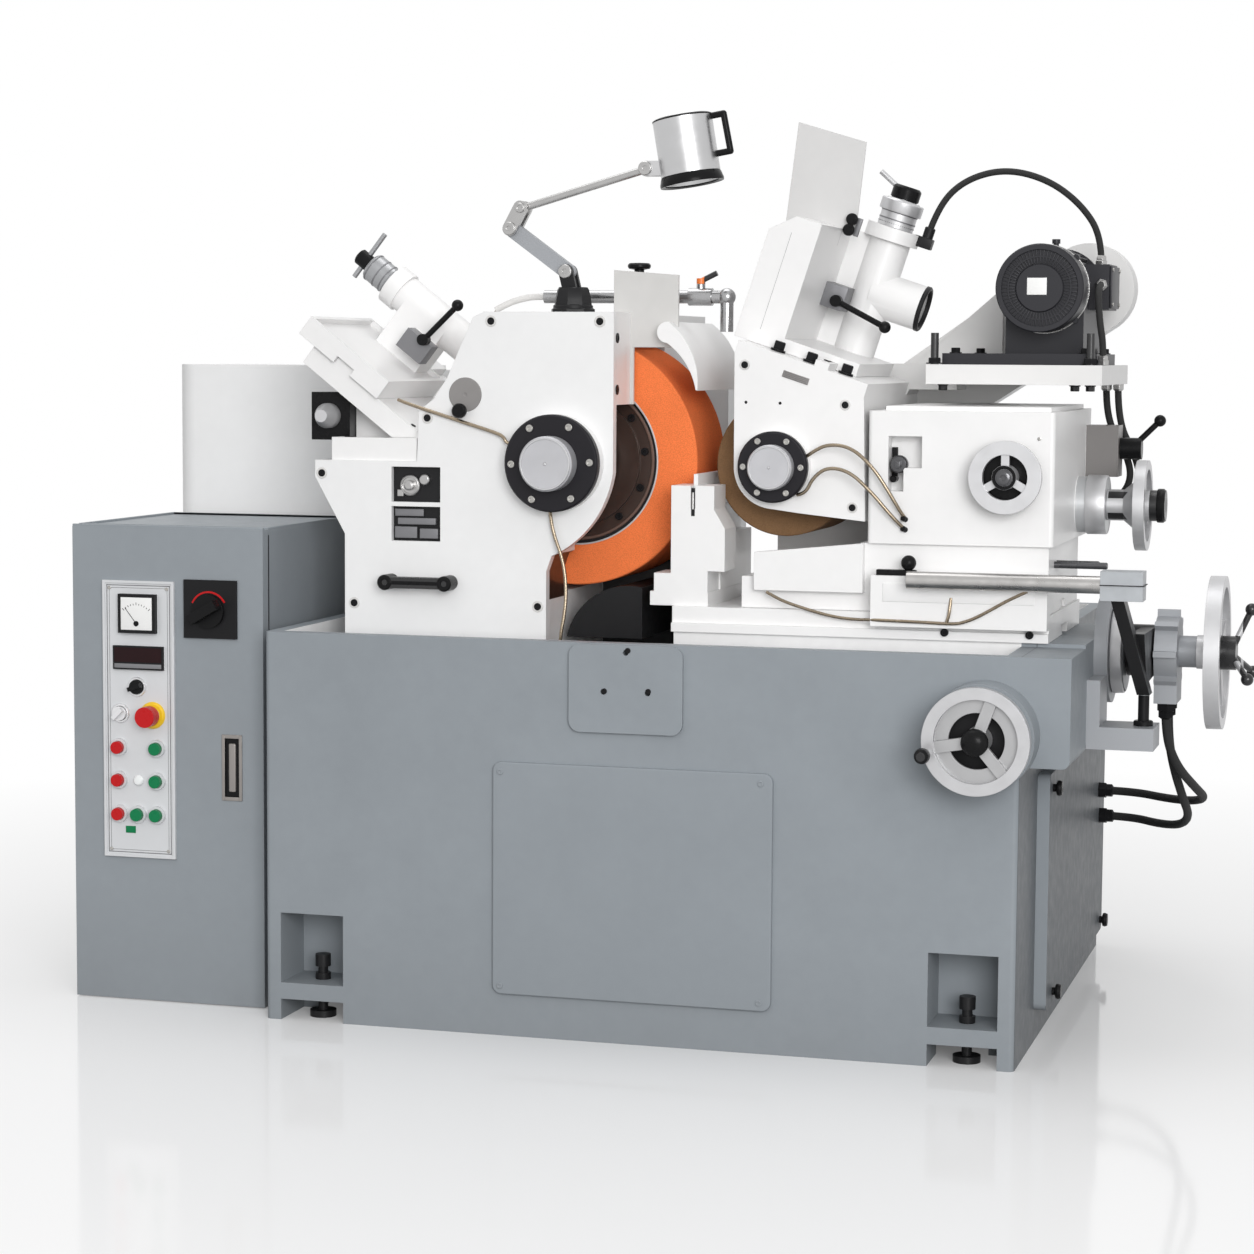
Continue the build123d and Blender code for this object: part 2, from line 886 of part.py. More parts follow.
export_step(cabinet.part, "parts/cabinet_body.step")

# Cabinet door: folded tray with the other half of each hinge, a recessed pull and panel holes.
door_back = cabinet_y[0] - free_gap
door_front = door_back - door_t
door_x = (cabinet_x[0], cabinet_x[1])
door_z = (door_margin, cabinet_h)
stem_holes = [
    (red_x, button_rows[0]),
    (red_x, button_rows[1]),
    (red_x, button_rows[2]),
    (green_x, button_rows[0]),
    (green_x, button_rows[1]),
    (green_left_x, button_rows[2]),
    (green_x, button_rows[2]),
    switch_at,
    speed_at,
    selector_at,
    stop_at,
]
with BuildPart() as door:
    block(door_x, (door_front, door_back), door_z)
    block(
        (door_x[0] + door_sheet, door_x[1] - door_sheet),
        (door_front + door_sheet, door_back),
        (door_z[0] + door_sheet, door_z[1] - door_sheet),
        Mode.SUBTRACT,
    )
    block(
        (recess_x[0] - door_sheet, recess_x[1] + door_sheet),
        (door_front, door_front + recess_depth + door_sheet),
        (recess_z[0] - door_sheet, recess_z[1] + door_sheet),
    )
    block(recess_x, (door_front, door_front + recess_depth), recess_z, Mode.SUBTRACT)
    for knuckle in hinge_z:
        block(
            (hinge_at[0], door_x[0] + door_sheet),
            (door_back - door_sheet, door_back),
            (knuckle + hinge_h + slide_gap, knuckle + 2 * hinge_h),
        )
        rod(
            (*hinge_at, knuckle + hinge_h + slide_gap), (0, 0, 1), hinge_r, hinge_h - slide_gap
        )
    with BuildSketch(front(door_front)) as door_holes:
        with Locations(*stem_holes):
            Circle(button_stem_r + running_fit)
    extrude(door_holes.sketch, amount=-door_sheet, mode=Mode.SUBTRACT)
door.part.label = "cabinet_door"
export_step(door.part, "parts/cabinet_door.step")

# Control panel: bordered plate with meter, display and button rings; the main switch has its own plate.
panel_face = door_front - panel_t
with BuildPart() as panel:
    block(panel_x, (door_front, panel_face), panel_z)
    block(panel_x, (panel_face, panel_face - panel_border_t), panel_z)
    block(
        (panel_x[0] + panel_border, panel_x[1] - panel_border),
        (panel_face, panel_face - panel_border_t),
        (panel_z[0] + panel_border, panel_z[1] - panel_border),
        Mode.SUBTRACT,
    )
    block(meter_x, (panel_face, panel_face - meter_t), meter_z)
    block(display_x, (panel_face, panel_face - display_t), display_z)
    block(switch_plate_x, (door_front, door_front - switch_plate_t), switch_plate_z)
    with BuildSketch(front(panel_face)) as rings:
        with Locations(*stem_holes[:7], stop_at):
            Circle(button_ring_r)
    extrude(rings.sketch, amount=button_ring_h)
    with BuildSketch(front(panel_face)) as ring_bores:
        with Locations(*stem_holes[:7], stop_at):
            Circle(button_r + slide_gap)
    extrude(ring_bores.sketch, amount=button_ring_h, mode=Mode.SUBTRACT)
    with BuildSketch(front(door_front)) as panel_holes:
        with Locations(*stem_holes):
            Circle(button_stem_r + running_fit)
    extrude(panel_holes.sketch, amount=panel_t + switch_plate_t, mode=Mode.SUBTRACT)
panel.part.label = "control_panel"
export_step(panel.part, "parts/control_panel.step")


def push_button(at, cap_r, cap_h):
    """Button on a stem through the panel and the door, standing off by its travel."""
    stem_end = door_front + door_sheet + free_gap
    cap_back = panel_face - button_travel - slide_gap
    rod((at[0], stem_end, at[1]), (0, -1, 0), button_stem_r, stem_end - cap_back)
    rod((at[0], cap_back, at[1]), (0, -1, 0), button_r, button_h)
    if cap_r > button_r:
        head_back = panel_face - button_ring_h - button_travel - slide_gap
        rod((at[0], head_back, at[1]), (0, -1, 0), cap_r, cap_h)


def rotary_knob(at, face, base_r, base_h, grip_h, turn):
    """Rotary knob: round base with a grip bar across it, on a stem through the panel."""
    stem_end = door_front + door_sheet + free_gap
    base_back = face - slide_gap
    rod((at[0], stem_end, at[1]), (0, -1, 0), button_stem_r, stem_end - base_back)
    rod((at[0], base_back, at[1]), (0, -1, 0), base_r, base_h)
    with BuildSketch(front(base_back - base_h)) as grip:
        with Locations(Location((at[0], at[1]), turn)):
            Rectangle(base_r * knob_bar[0], base_r * knob_bar[1])
    extrude(grip.sketch, amount=grip_h)


with BuildPart() as red_upper:
    push_button((red_x, button_rows[0]), button_r, button_h)
red_upper.part.label = "red_button_upper"
export_step(red_upper.part, "parts/red_button_upper.step")

with BuildPart() as red_middle:
    push_button((red_x, button_rows[1]), button_r, button_h)
red_middle.part.label = "red_button_middle"
export_step(red_middle.part, "parts/red_button_middle.step")

with BuildPart() as red_lower:
    push_button((red_x, button_rows[2]), button_r, button_h)
red_lower.part.label = "red_button_lower"
export_step(red_lower.part, "parts/red_button_lower.step")

with BuildPart() as green_upper:
    push_button((green_x, button_rows[0]), button_r, button_h)
green_upper.part.label = "green_button_upper"
export_step(green_upper.part, "parts/green_button_upper.step")

with BuildPart() as green_middle:
    push_button((green_x, button_rows[1]), button_r, button_h)
green_middle.part.label = "green_button_middle"
export_step(green_middle.part, "parts/green_button_middle.step")

with BuildPart() as green_left:
    push_button((green_left_x, button_rows[2]), button_r, button_h)
green_left.part.label = "green_button_lower_left"
export_step(green_left.part, "parts/green_button_lower_left.step")

with BuildPart() as green_right:
    push_button((green_x, button_rows[2]), button_r, button_h)
green_right.part.label = "green_button_lower_right"
export_step(green_right.part, "parts/green_button_lower_right.step")

with BuildPart() as emergency:
    push_button(stop_at, stop_r, stop_h)
emergency.part.label = "emergency_stop"
export_step(emergency.part, "parts/emergency_stop.step")

with BuildPart() as main_switch:
    rotary_knob(switch_at, door_front - switch_plate_t, switch_r, switch_h / 3, switch_h, switch_turn)
main_switch.part.label = "main_switch_knob"
export_step(main_switch.part, "parts/main_switch_knob.step")

with BuildPart() as speed_knob:
    rotary_knob(speed_at, panel_face, knob_r, knob_h / 2, knob_h / 2, speed_turn)
speed_knob.part.label = "speed_knob"
export_step(speed_knob.part, "parts/speed_knob.step")

with BuildPart() as selector:
    rotary_knob(selector_at, panel_face, knob_r, knob_h / 2, knob_h / 2, selector_turn)
selector.part.label = "selector_knob"
export_step(selector.part, "parts/selector_knob.step")

# Drive cover: sheet housing with rounded uprights; a tunnel leads from it to the spindle pulley.
with BuildPart() as drive_cover:
    block((drive_x[1], tunnel_end), tunnel_y, tunnel_z)
    for inset, mode in ((0, Mode.ADD), (drive_sheet, Mode.SUBTRACT)):
        with BuildSketch() as plan:
            with Locations(((drive_x[0] + drive_x[1]) / 2, (drive_y[0] + drive_y[1]) / 2)):
                Rectangle(
                    drive_x[1] - drive_x[0] - 2 * inset, drive_y[1] - drive_y[0] - 2 * inset
                )
            fillet(plan.vertices().group_by(Axis.X)[0], radius=drive_corner - inset)
        extrude(plan.sketch, amount=drive_h - inset, mode=mode)
    block(
        (drive_x[1] - drive_sheet, tunnel_end - drive_sheet),
        (tunnel_y[0] + drive_sheet, tunnel_y[1] - drive_sheet),
        (tunnel_z[0] + drive_sheet, tunnel_z[1] - drive_sheet),
        Mode.SUBTRACT,
    )
    rod(
        (wheel_x, tunnel_y[0], wheel_z),
        (0, 1, 0),
        journal_r + free_gap,
        drive_sheet,
        Mode.SUBTRACT,
    )
drive_cover.part.label = "drive_cover"
export_step(drive_cover.part, "parts/drive_cover.step")


def head_plate(plane, bottom, depth):
    """Outline of the wheel head in X and Z, down to a given height, drawn out along a plane's normal."""
    with BuildSketch(plane) as outline:
        with BuildLine():
            Polyline(
                (head_right, head_nose_z),
                (head_right, head_top),
                *reversed(head_slope),
                (head_step_x[1], head_step_z),
                (head_step_x[0], head_shoulder_z[2]),
                (head_shoulder_left, head_shoulder_z[2]),
                (head_shoulder_left, head_shoulder_z[1]),
                (head_left, head_shoulder_z[0]),
                (head_left, bottom),
                (head_foot_right, bottom),
                (head_foot_right, head_nose_end[1] - bed_wall),
                head_nose_end,
            )
            ThreePointArc(head_nose_end, head_nose_mid, (head_right, head_nose_z))
        make_face()
    extrude(outline.sketch, amount=depth)


def dresser_plane(y):
    """Plane of the wheel dresser at depth y: local x runs out along its axis, local y drops below it."""
    slope = radians(dress_tilt)
    return Plane(
        origin=(wheel_x, y, wheel_z), x_dir=(-cos(slope), 0, sin(slope)), z_dir=(0, -1, 0)
    )


def dresser_height(x, drop):
    """Height at x of the line that runs a given drop below the dresser axis."""
    slope = radians(dress_tilt)
    return wheel_z - (drop + (x - wheel_x) * sin(slope)) / cos(slope)


def strip(along, drop, plane, depth, mode=Mode.ADD):
    """Square bar between limits along and below an axis, drawn out along the plane's normal."""
    prism(
        [(along[0], drop[0]), (along[1], drop[0]), (along[1], drop[1]), (along[0], drop[1])],
        plane,
        depth,
        mode,
    )


dress_along = (-cos(radians(dress_tilt)), 0, sin(radians(dress_tilt)))
dress_across = (sin(radians(dress_tilt)), 0, cos(radians(dress_tilt)))
dress_origin = (wheel_x, dress_quill_y, wheel_z)
dress_slab_top = dress_tray_drop[1]

# Wheel head: solid casting with the wheel chamber, journals, dresser slab and its pedestal.
with BuildPart() as wheel_head:
    head_plate(front(head_y[1]), deck_top, head_y[1] - head_y[0])
    strip(
        dress_slab_along,
        (dress_slab_top, dress_slab_top + dress_slab_t),
        dresser_plane(dress_slab_y[1]),
        dress_slab_y[1] - dress_slab_y[0],
    )
    strip(
        dress_key_along,
        (dress_slab_top - dress_key_h, dress_slab_top),
        dresser_plane(dress_slab_y[1]),
        dress_slab_y[1] - dress_slab_y[0],
    )
    pedestal_middle = dress_slab_top + dress_slab_t / 2
    prism(
        [
            (dress_pedestal_x[0], head_shoulder_z[2]),
            (dress_pedestal_x[1], head_shoulder_z[2]),
            (dress_pedestal_x[1], dresser_height(dress_pedestal_x[1], pedestal_middle)),
            (dress_pedestal_x[0], dresser_height(dress_pedestal_x[0], pedestal_middle)),
        ],
        front(dress_pedestal_y[1]),
        dress_pedestal_y[1] - dress_pedestal_y[0],
    )
    block(traverse_box_x, traverse_box_y, traverse_box_z)
    block((head_foot_right - rear_plate_lap, rear_plate_x), rear_plate_y, (deck_top, rear_plate_top))
    block(ledge_x, ledge_y, (head_shoulder_z[2], ledge_top))
    block(
        (ledge_x[0] + ledge_wall, ledge_x[1] - ledge_wall),
        (ledge_y[0] + ledge_wall, ledge_y[1]),
        (head_shoulder_z[2] + ledge_wall, ledge_top),
        Mode.SUBTRACT,
    )
    block(
        (wheel_x, head_right),
        (head_y[0], chamber_y[0]),
        (deck_top, guard_leg_z),
        Mode.SUBTRACT,
    )
    rod((wheel_x, head_y[0], wheel_z), (0, 1, 0), housing_r, chamber_y[0] - head_y[0])
    rod(
        (wheel_x, chamber_y[0], wheel_z),
        (0, 1, 0),
        chamber_r,
        chamber_y[1] - chamber_y[0],
        Mode.SUBTRACT,
    )
    rod(
        (wheel_x, head_y[0], wheel_z),
        (0, 1, 0),
        journal_r + running_fit,
        head_y[1] - head_y[0],
        Mode.SUBTRACT,
    )
    strip(
        (wheel_r, dress_housing[0] + dress_housing_r),
        (-dress_slot_half, dress_slot_half),
        dresser_plane(dress_slot_y[1]),
        dress_slot_y[1] - dress_slot_y[0],
        Mode.SUBTRACT,
    )
    block(
        (guard_x[0], head_right),
        (chamber_y[0], chamber_y[0] + guard_t),
        (wheel_z, head_top),
        Mode.SUBTRACT,
    )
    rod(
        (lamp_base_x, lamp_y, head_top),
        (0, 0, -1),
        lamp_pin_r + running_fit,
        lamp_pin_depth + free_gap,
        Mode.SUBTRACT,
    )
    rod(
        (traverse_knob_at[0], traverse_box_y[0], traverse_knob_at[1]),
        (0, 1, 0),
        knob_pin_r + running_fit,
        knob_pin_depth + free_gap,
        Mode.SUBTRACT,
    )
wheel_head.part.label = "wheel_head"
export_step(wheel_head.part, "parts/wheel_head.step")

# Cover plate on the front of the wheel head, with two sight windows and a separate grip.
head_cover_front = head_y[0] - head_cover_t
with BuildPart() as head_cover:
    head_plate(front(head_y[0]), head_cover_bottom, head_cover_t)
    for window_z in (window_upper_z, window_lower_z):
        block(window_x, (head_cover_front, head_y[0]), window_z, Mode.SUBTRACT)
    rod(
        (wheel_x, head_y[0], wheel_z),
        (0, -1, 0),
        journal_r + free_gap,
        head_cover_t,
        Mode.SUBTRACT,
    )
    for post_x in (grip_x[0] + grip_r, grip_x[1] - grip_r):
        rod((post_x, head_cover_front, grip_z), (0, -1, 0), grip_r, grip_proud)
    block(
        grip_x,
        (head_cover_front - grip_proud, head_cover_front - grip_proud + 2 * grip_r),
        (grip_z - grip_r, grip_z + grip_r),
    )
head_cover.part.label = "wheel_head_cover"
export_step(head_cover.part, "parts/wheel_head_cover.step")

# Bearing cover on the front of the wheel head: thick flange with a round cap.
with BuildPart() as bearing_cover:
    turned(
        (wheel_x, head_cover_front, wheel_z),
        (0, -1, 0),
        [
            (0, 0),
            (0, bearing_flange_r),
            (bearing_flange_t - flange_chamfer, bearing_flange_r),
            (bearing_flange_t, bearing_flange_r - flange_chamfer),
            (bearing_flange_t, bearing_cap_r),
            (bearing_flange_t + bearing_cap_h - cap_chamfer, bearing_cap_r),
            (bearing_flange_t + bearing_cap_h, bearing_cap_r - cap_chamfer),
            (bearing_flange_t + bearing_cap_h, 0),
        ],
    )
bearing_cover.part.label = "grinding_bearing_cover"
export_step(bearing_cover.part, "parts/grinding_bearing_cover.step")

# Guard: flat plate behind the front wall and a curved hood that grows from it.
with BuildPart() as guard:
    prism(
        [
            (guard_x[0], guard_leg_z),
            (guard_leg_right, guard_leg_z),
            (guard_leg_right, guard_step_z),
            (guard_x[1], guard_step_z),
            (guard_x[1], guard_top[1]),
            (guard_x[0], guard_top[0]),
        ],
        front(chamber_y[0] + guard_t),
        guard_t,
    )
    with BuildSketch(front(hood_y[1])) as hood_shape:
        with BuildLine():
            ThreePointArc(*hood_nose)
            ThreePointArc(hood_nose[2], hood_inner, hood_tip[1])
            Line(hood_tip[1], hood_tip[0])
            ThreePointArc(hood_tip[0], hood_outer, hood_nose[0])
        make_face()
    extrude(hood_shape.sketch, amount=hood_y[1] - hood_y[0])
guard.part.label = "wheel_guard"
export_step(guard.part, "parts/wheel_guard.step")

# Grinding wheel: plain ring.
with BuildPart() as grinding_wheel:
    turned(
        (wheel_x, wheel_y[0], wheel_z),
        (0, 1, 0),
        [
            (0, wheel_bore_r),
            (0, wheel_r - wheel_chamfer),
            (2, wheel_r),
            (wheel_y[1] - wheel_y[0] - wheel_chamfer, wheel_r),
            (wheel_y[1] - wheel_y[0], wheel_r - wheel_chamfer),
            (wheel_y[1] - wheel_y[0], wheel_bore_r),
        ],
    )
grinding_wheel.part.label = "grinding_wheel"
export_step(grinding_wheel.part, "parts/grinding_wheel.step")

# Grinding spindle: journals, hub inside the wheel and grooved pulley at the rear.
with BuildPart() as grinding_spindle:
    hub_front = wheel_y[0] + hub_recess
    hub_rear = wheel_y[1] - hub_recess
    rod((wheel_x, spindle_front, wheel_z), (0, 1, 0), journal_r, spindle_rear - spindle_front)
    rod((wheel_x, hub_front, wheel_z), (0, 1, 0), wheel_bore_r - running_fit, hub_rear - hub_front)
    rod((wheel_x, hub_front, wheel_z), (0, -1, 0), hub_ring_r, hub_ring_h)
    rod((wheel_x, pulley_y[0], wheel_z), (0, 1, 0), pulley_r, pulley_y[1] - pulley_y[0])
    groove_pitch = (pulley_y[1] - pulley_y[0]) / (pulley_grooves + 1)
    for groove in range(pulley_grooves):
        turned(
            (wheel_x, pulley_y[0] + groove_pitch * (groove + 1), wheel_z),
            (0, 1, 0),
            [
                (-pulley_groove / 2, pulley_r),
                (pulley_groove / 2, pulley_r),
                (0, pulley_r - pulley_groove),
            ],
            Mode.SUBTRACT,
        )
grinding_spindle.part.label = "grinding_spindle"
export_step(grinding_spindle.part, "parts/grinding_spindle.step")

# Dresser carriage: dished tray on the slab key, quill housing on a bracket, clamp block at its side.
with BuildPart() as dress_carriage:
    tray_depth = dress_tray_y[1] - dress_tray_y[0]
    strip(
        dress_tray_along,
        (dress_tray_drop[0], dress_tray_drop[1] - slide_gap),
        dresser_plane(dress_tray_y[1]),
        tray_depth,
    )
    strip(
        (dress_tray_along[0] + dress_tray_rim, dress_tray_along[1] - dress_tray_rim),
        (dress_tray_drop[0], dress_tray_drop[0] + dress_tray_dish),
        dresser_plane(dress_tray_y[1] - dress_tray_rim),
        tray_depth - 2 * dress_tray_rim,
        Mode.SUBTRACT,
    )
    strip(
        (dress_key_along[0] - slide_gap, dress_key_along[1] + slide_gap),
        (dress_tray_drop[1] - dress_key_h - slide_gap, dress_tray_drop[1]),
        dresser_plane(dress_tray_y[1]),
        tray_depth,
        Mode.SUBTRACT,
    )
    strip(
        dress_bracket_along,
        (0, dress_tray_drop[0] + dress_tray_dish),
        dresser_plane(dress_quill_y + dress_housing_r),
        2 * dress_housing_r,
    )
    rod(
        shifted(dress_origin, dress_along, dress_housing[0]),
        dress_along,
        dress_housing_r,
        dress_housing[1] - dress_housing[0],
    )
    rod(
        shifted(dress_origin, dress_along, dress_housing[1]),
        dress_along,
        dress_collar_r,
        dress_collar_end - dress_housing[1],
    )
    strip(
        dress_clamp_along,
        dress_clamp_drop,
        dresser_plane(dress_quill_y - dress_housing_r),
        dress_quill_y - dress_housing_r - dress_clamp_front,
    )
    rod(
        shifted(dress_origin, dress_along, dress_housing[0]),
        dress_along,
        dress_quill_r + running_fit,
        dress_collar_end - dress_housing[0],
        Mode.SUBTRACT,
    )
    rod(
        (dress_lever_at[0], dress_clamp_front, dress_lever_at[1]),
        (0, 1, 0),
        lever_pin_r + running_fit,
        lever_pin_depth + free_gap,
        Mode.SUBTRACT,
    )
dress_carriage.part.label = "grinding_dresser_carriage"
export_step(dress_carriage.part, "parts/grinding_dresser_carriage.step")

# Dresser quill: bar with a diamond holder at its inner end.
with BuildPart() as dress_quill:
    turned(
        dress_origin,
        dress_along,
        [
            (dress_tip, 0),
            (dress_tip, 2),
            (dress_tip + dress_nose_r, dress_nose_r),
            (dress_nose_end, dress_nose_r),
            (dress_nose_end, dress_quill_r),
            (dress_collar_end, dress_quill_r),
            (dress_collar_end, 0),
        ],
    )
dress_quill.part.label = "grinding_dresser_quill"
export_step(dress_quill.part, "parts/grinding_dresser_quill.step")

# Dresser crank: graduated dial, hub and cross bar, turning on the end of the quill.
with BuildPart() as dress_crank:
    turned(
        dress_origin,
        dress_along,
        [
            (dress_collar_end + slide_gap, 0),
            (dress_collar_end + slide_gap, dress_dial_r),
            (dress_dial_end - cap_chamfer, dress_dial_r),
            (dress_dial_end, dress_dial_r - cap_chamfer),
            (dress_dial_end, dress_hub_r),
            (dress_hub_end, dress_hub_r),
            (dress_hub_end, 0),
        ],
    )
    bar_centre = shifted(dress_origin, dress_along, (dress_dial_end + dress_hub_end) / 2)
    link(
        shifted(bar_centre, dress_across, dress_bar[0]),
        shifted(bar_centre, dress_across, dress_bar[1]),
        dress_bar_r,
    )
dress_crank.part.label = "grinding_dresser_crank"
export_step(dress_crank.part, "parts/grinding_dresser_crank.step")


def clamp_lever(pivot, out, tip):
    """Clamping lever: pin, hub and arm with a ball; out points away from the clamp face."""
    rod(shifted(pivot, out, -lever_pin_depth), out, lever_pin_r, lever_pin_depth + lever_hub_h)
    rod(shifted(pivot, out, slide_gap), out, lever_hub_r, lever_hub_h - slide_gap)
    link(shifted(pivot, out, lever_hub_h / 2 + slide_gap), tip, lever_arm_r)
    ball(tip, lever_ball_r)


# Clamp lever of the dresser.
with BuildPart() as dress_lever:
    clamp_lever(
        (dress_lever_at[0], dress_clamp_front, dress_lever_at[1]),
        (0, -1, 0),
        (dress_lever_ball[0], dress_clamp_front - lever_hub_h, dress_lever_ball[1]),
    )
dress_lever.part.label = "grinding_dresser_lever"
export_step(dress_lever.part, "parts/grinding_dresser_lever.step")

# Traverse knob: coned hand knob on the traverse box.
with BuildPart() as traverse_knob:
    turned(
        (traverse_knob_at[0], traverse_box_y[0], traverse_knob_at[1]),
        (0, -1, 0),
        [
            (-knob_pin_depth, 0),
            (-knob_pin_depth, knob_pin_r),
            (slide_gap, knob_pin_r),
            (slide_gap, traverse_knob_r),
            (traverse_knob_h / 3, traverse_knob_r),
            (traverse_knob_h, traverse_knob_r / 2),
            (traverse_knob_h, 0),
        ],
    )
traverse_knob.part.label = "traverse_knob"
export_step(traverse_knob.part, "parts/traverse_knob.step")

# Coolant pipe: clips, pipe, valve body with a stem boss, elbow and nozzle.
with BuildPart() as coolant_pipe:
    rod((pipe_x[0], pipe_y, pipe_z), (1, 0, 0), pipe_r, pipe_x[1] - pipe_x[0])
    for clip_x in pipe_clip_x:
        block(
            (clip_x, clip_x + pipe_clip_w),
            (pipe_y - pipe_clip_w, pipe_y + pipe_clip_w),
            (head_top, pipe_z),
        )
        rod((clip_x, pipe_y, pipe_z), (1, 0, 0), valve_r, pipe_clip_w)
    rod((valve_x[0], pipe_y, pipe_z), (1, 0, 0), valve_r, valve_x[1] - valve_x[0])
    rod((valve_stem_x, pipe_y, pipe_z), (0, 0, 1), valve_stem_r, valve_stem_top - pipe_z)
    ball((pipe_x[1], pipe_y, pipe_z), valve_r)
    rod((pipe_x[1], pipe_y, pipe_z), (0, 0, -1), pipe_r, pipe_z - nozzle_bottom)
    rod(
        (valve_stem_x, pipe_y, valve_stem_top),
        (0, 0, -1),
        valve_pin_r + running_fit,
        valve_pin_depth + free_gap,
        Mode.SUBTRACT,
    )
coolant_pipe.part.label = "coolant_pipe"
export_step(coolant_pipe.part, "parts/coolant_pipe.step")

# Valve lever: quarter turn on the stem.
with BuildPart() as valve_lever:
    handle_foot = valve_stem_top + slide_gap
    rod(
        (valve_stem_x, pipe_y, valve_stem_top - valve_pin_depth),
        (0, 0, 1),
        valve_pin_r,
        valve_pin_depth + valve_lever_r,
    )
    rod((valve_stem_x, pipe_y, handle_foot), (0, 0, 1), valve_stem_r, 2 * valve_lever_r)
    link(
        (valve_stem_x, pipe_y, handle_foot + valve_lever_r),
        (valve_lever_end[0], pipe_y, valve_lever_end[1]),
        valve_lever_r,
    )
valve_lever.part.label = "coolant_valve_lever"
export_step(valve_lever.part, "parts/coolant_valve_lever.step")


def arm_plate(start, end, end_r, y_front, thickness):
    """Flat arm with round ends in the lamp plane."""
    with BuildSketch(front(y_front + thickness)) as arm:
        with Locations(
            Location(
                ((start[0] + end[0]) / 2, (start[1] + end[1]) / 2),
                degrees(atan2(end[1] - start[1], end[0] - start[0])),
            )
        ):
            SlotCenterToCenter(hypot(end[0] - start[0], end[1] - start[1]), 2 * end_r)
    extrude(arm.sketch, amount=thickness)


cheek_inner = lamp_eye_half + slide_gap
cheek_outer = cheek_inner + lamp_cheek_t
cheek_fronts = (lamp_y - cheek_outer, lamp_y + cheek_inner)

# Lamp base: swivelling foot and post with a fork for the lower arm.
with BuildPart() as lamp_base:
    turned(
        (lamp_base_x, lamp_y, head_top),
        (0, 0, 1),
        [
            (-lamp_pin_depth, 0),
            (-lamp_pin_depth, lamp_pin_r),
            (slide_gap, lamp_pin_r),
            (slide_gap, lamp_foot_r),
            (lamp_foot_h, lamp_foot_r),
            (lamp_foot_h + lamp_chamfer, lamp_post_r),
            (lamp_post_top - head_top, lamp_post_r),
            (lamp_post_top - head_top, 0),
        ],
    )
    for cheek_front in cheek_fronts:
        arm_plate(
            (lamp_base_x, lamp_post_top - lamp_cheek_r),
            lamp_pivot,
            lamp_cheek_r,
            cheek_front,
            lamp_cheek_t,
        )
    rod(
        (lamp_pivot[0], lamp_y - cheek_outer, lamp_pivot[1]),
        (0, 1, 0),
        lamp_joint_r,
        2 * cheek_outer,
    )
lamp_base.part.label = "lamp_base"
export_step(lamp_base.part, "parts/lamp_base.step")

# Lamp lower arm: flat arm with an eye at each end.
with BuildPart() as lamp_lower:
    arm_plate(lamp_pivot, lamp_elbow, lamp_eye_r, lamp_y - lamp_eye_half, 2 * lamp_eye_half)
    for eye in (lamp_pivot, lamp_elbow):
        rod(
            (eye[0], lamp_y - lamp_eye_half, eye[1]),
            (0, 1, 0),
            lamp_joint_r + running_fit,
            2 * lamp_eye_half,
            Mode.SUBTRACT,
        )
lamp_lower.part.label = "lamp_lower_arm"
export_step(lamp_lower.part, "parts/lamp_lower_arm.step")

# Lamp upper arm: fork at the elbow, bend block, round rod and an eye for the lamp.
with BuildPart() as lamp_upper:
    for cheek_front in cheek_fronts:
        arm_plate(lamp_elbow, lamp_bend, lamp_cheek_r, cheek_front, lamp_cheek_t)
    rod(
        (lamp_elbow[0], lamp_y - cheek_outer, lamp_elbow[1]), (0, 1, 0), lamp_joint_r, 2 * cheek_outer
    )
    rod(
        (lamp_bend[0], lamp_y - cheek_outer, lamp_bend[1]),
        (0, 1, 0),
        lamp_cheek_r - lamp_web_step,
        2 * cheek_outer,
    )
    link(
        (lamp_bend[0], lamp_y, lamp_bend[1]), (lamp_knuckle[0], lamp_y, lamp_knuckle[1]), lamp_rod_r
    )
    rod(
        (lamp_knuckle[0], lamp_y - lamp_eye_half, lamp_knuckle[1]),
        (0, 1, 0),
        lamp_eye_r,
        2 * lamp_eye_half,
    )
    rod(
        (lamp_knuckle[0], lamp_y - lamp_eye_half, lamp_knuckle[1]),
        (0, 1, 0),
        lamp_joint_r + running_fit,
        2 * lamp_eye_half,
        Mode.SUBTRACT,
    )
lamp_upper.part.label = "lamp_upper_arm"
export_step(lamp_upper.part, "parts/lamp_upper_arm.step")

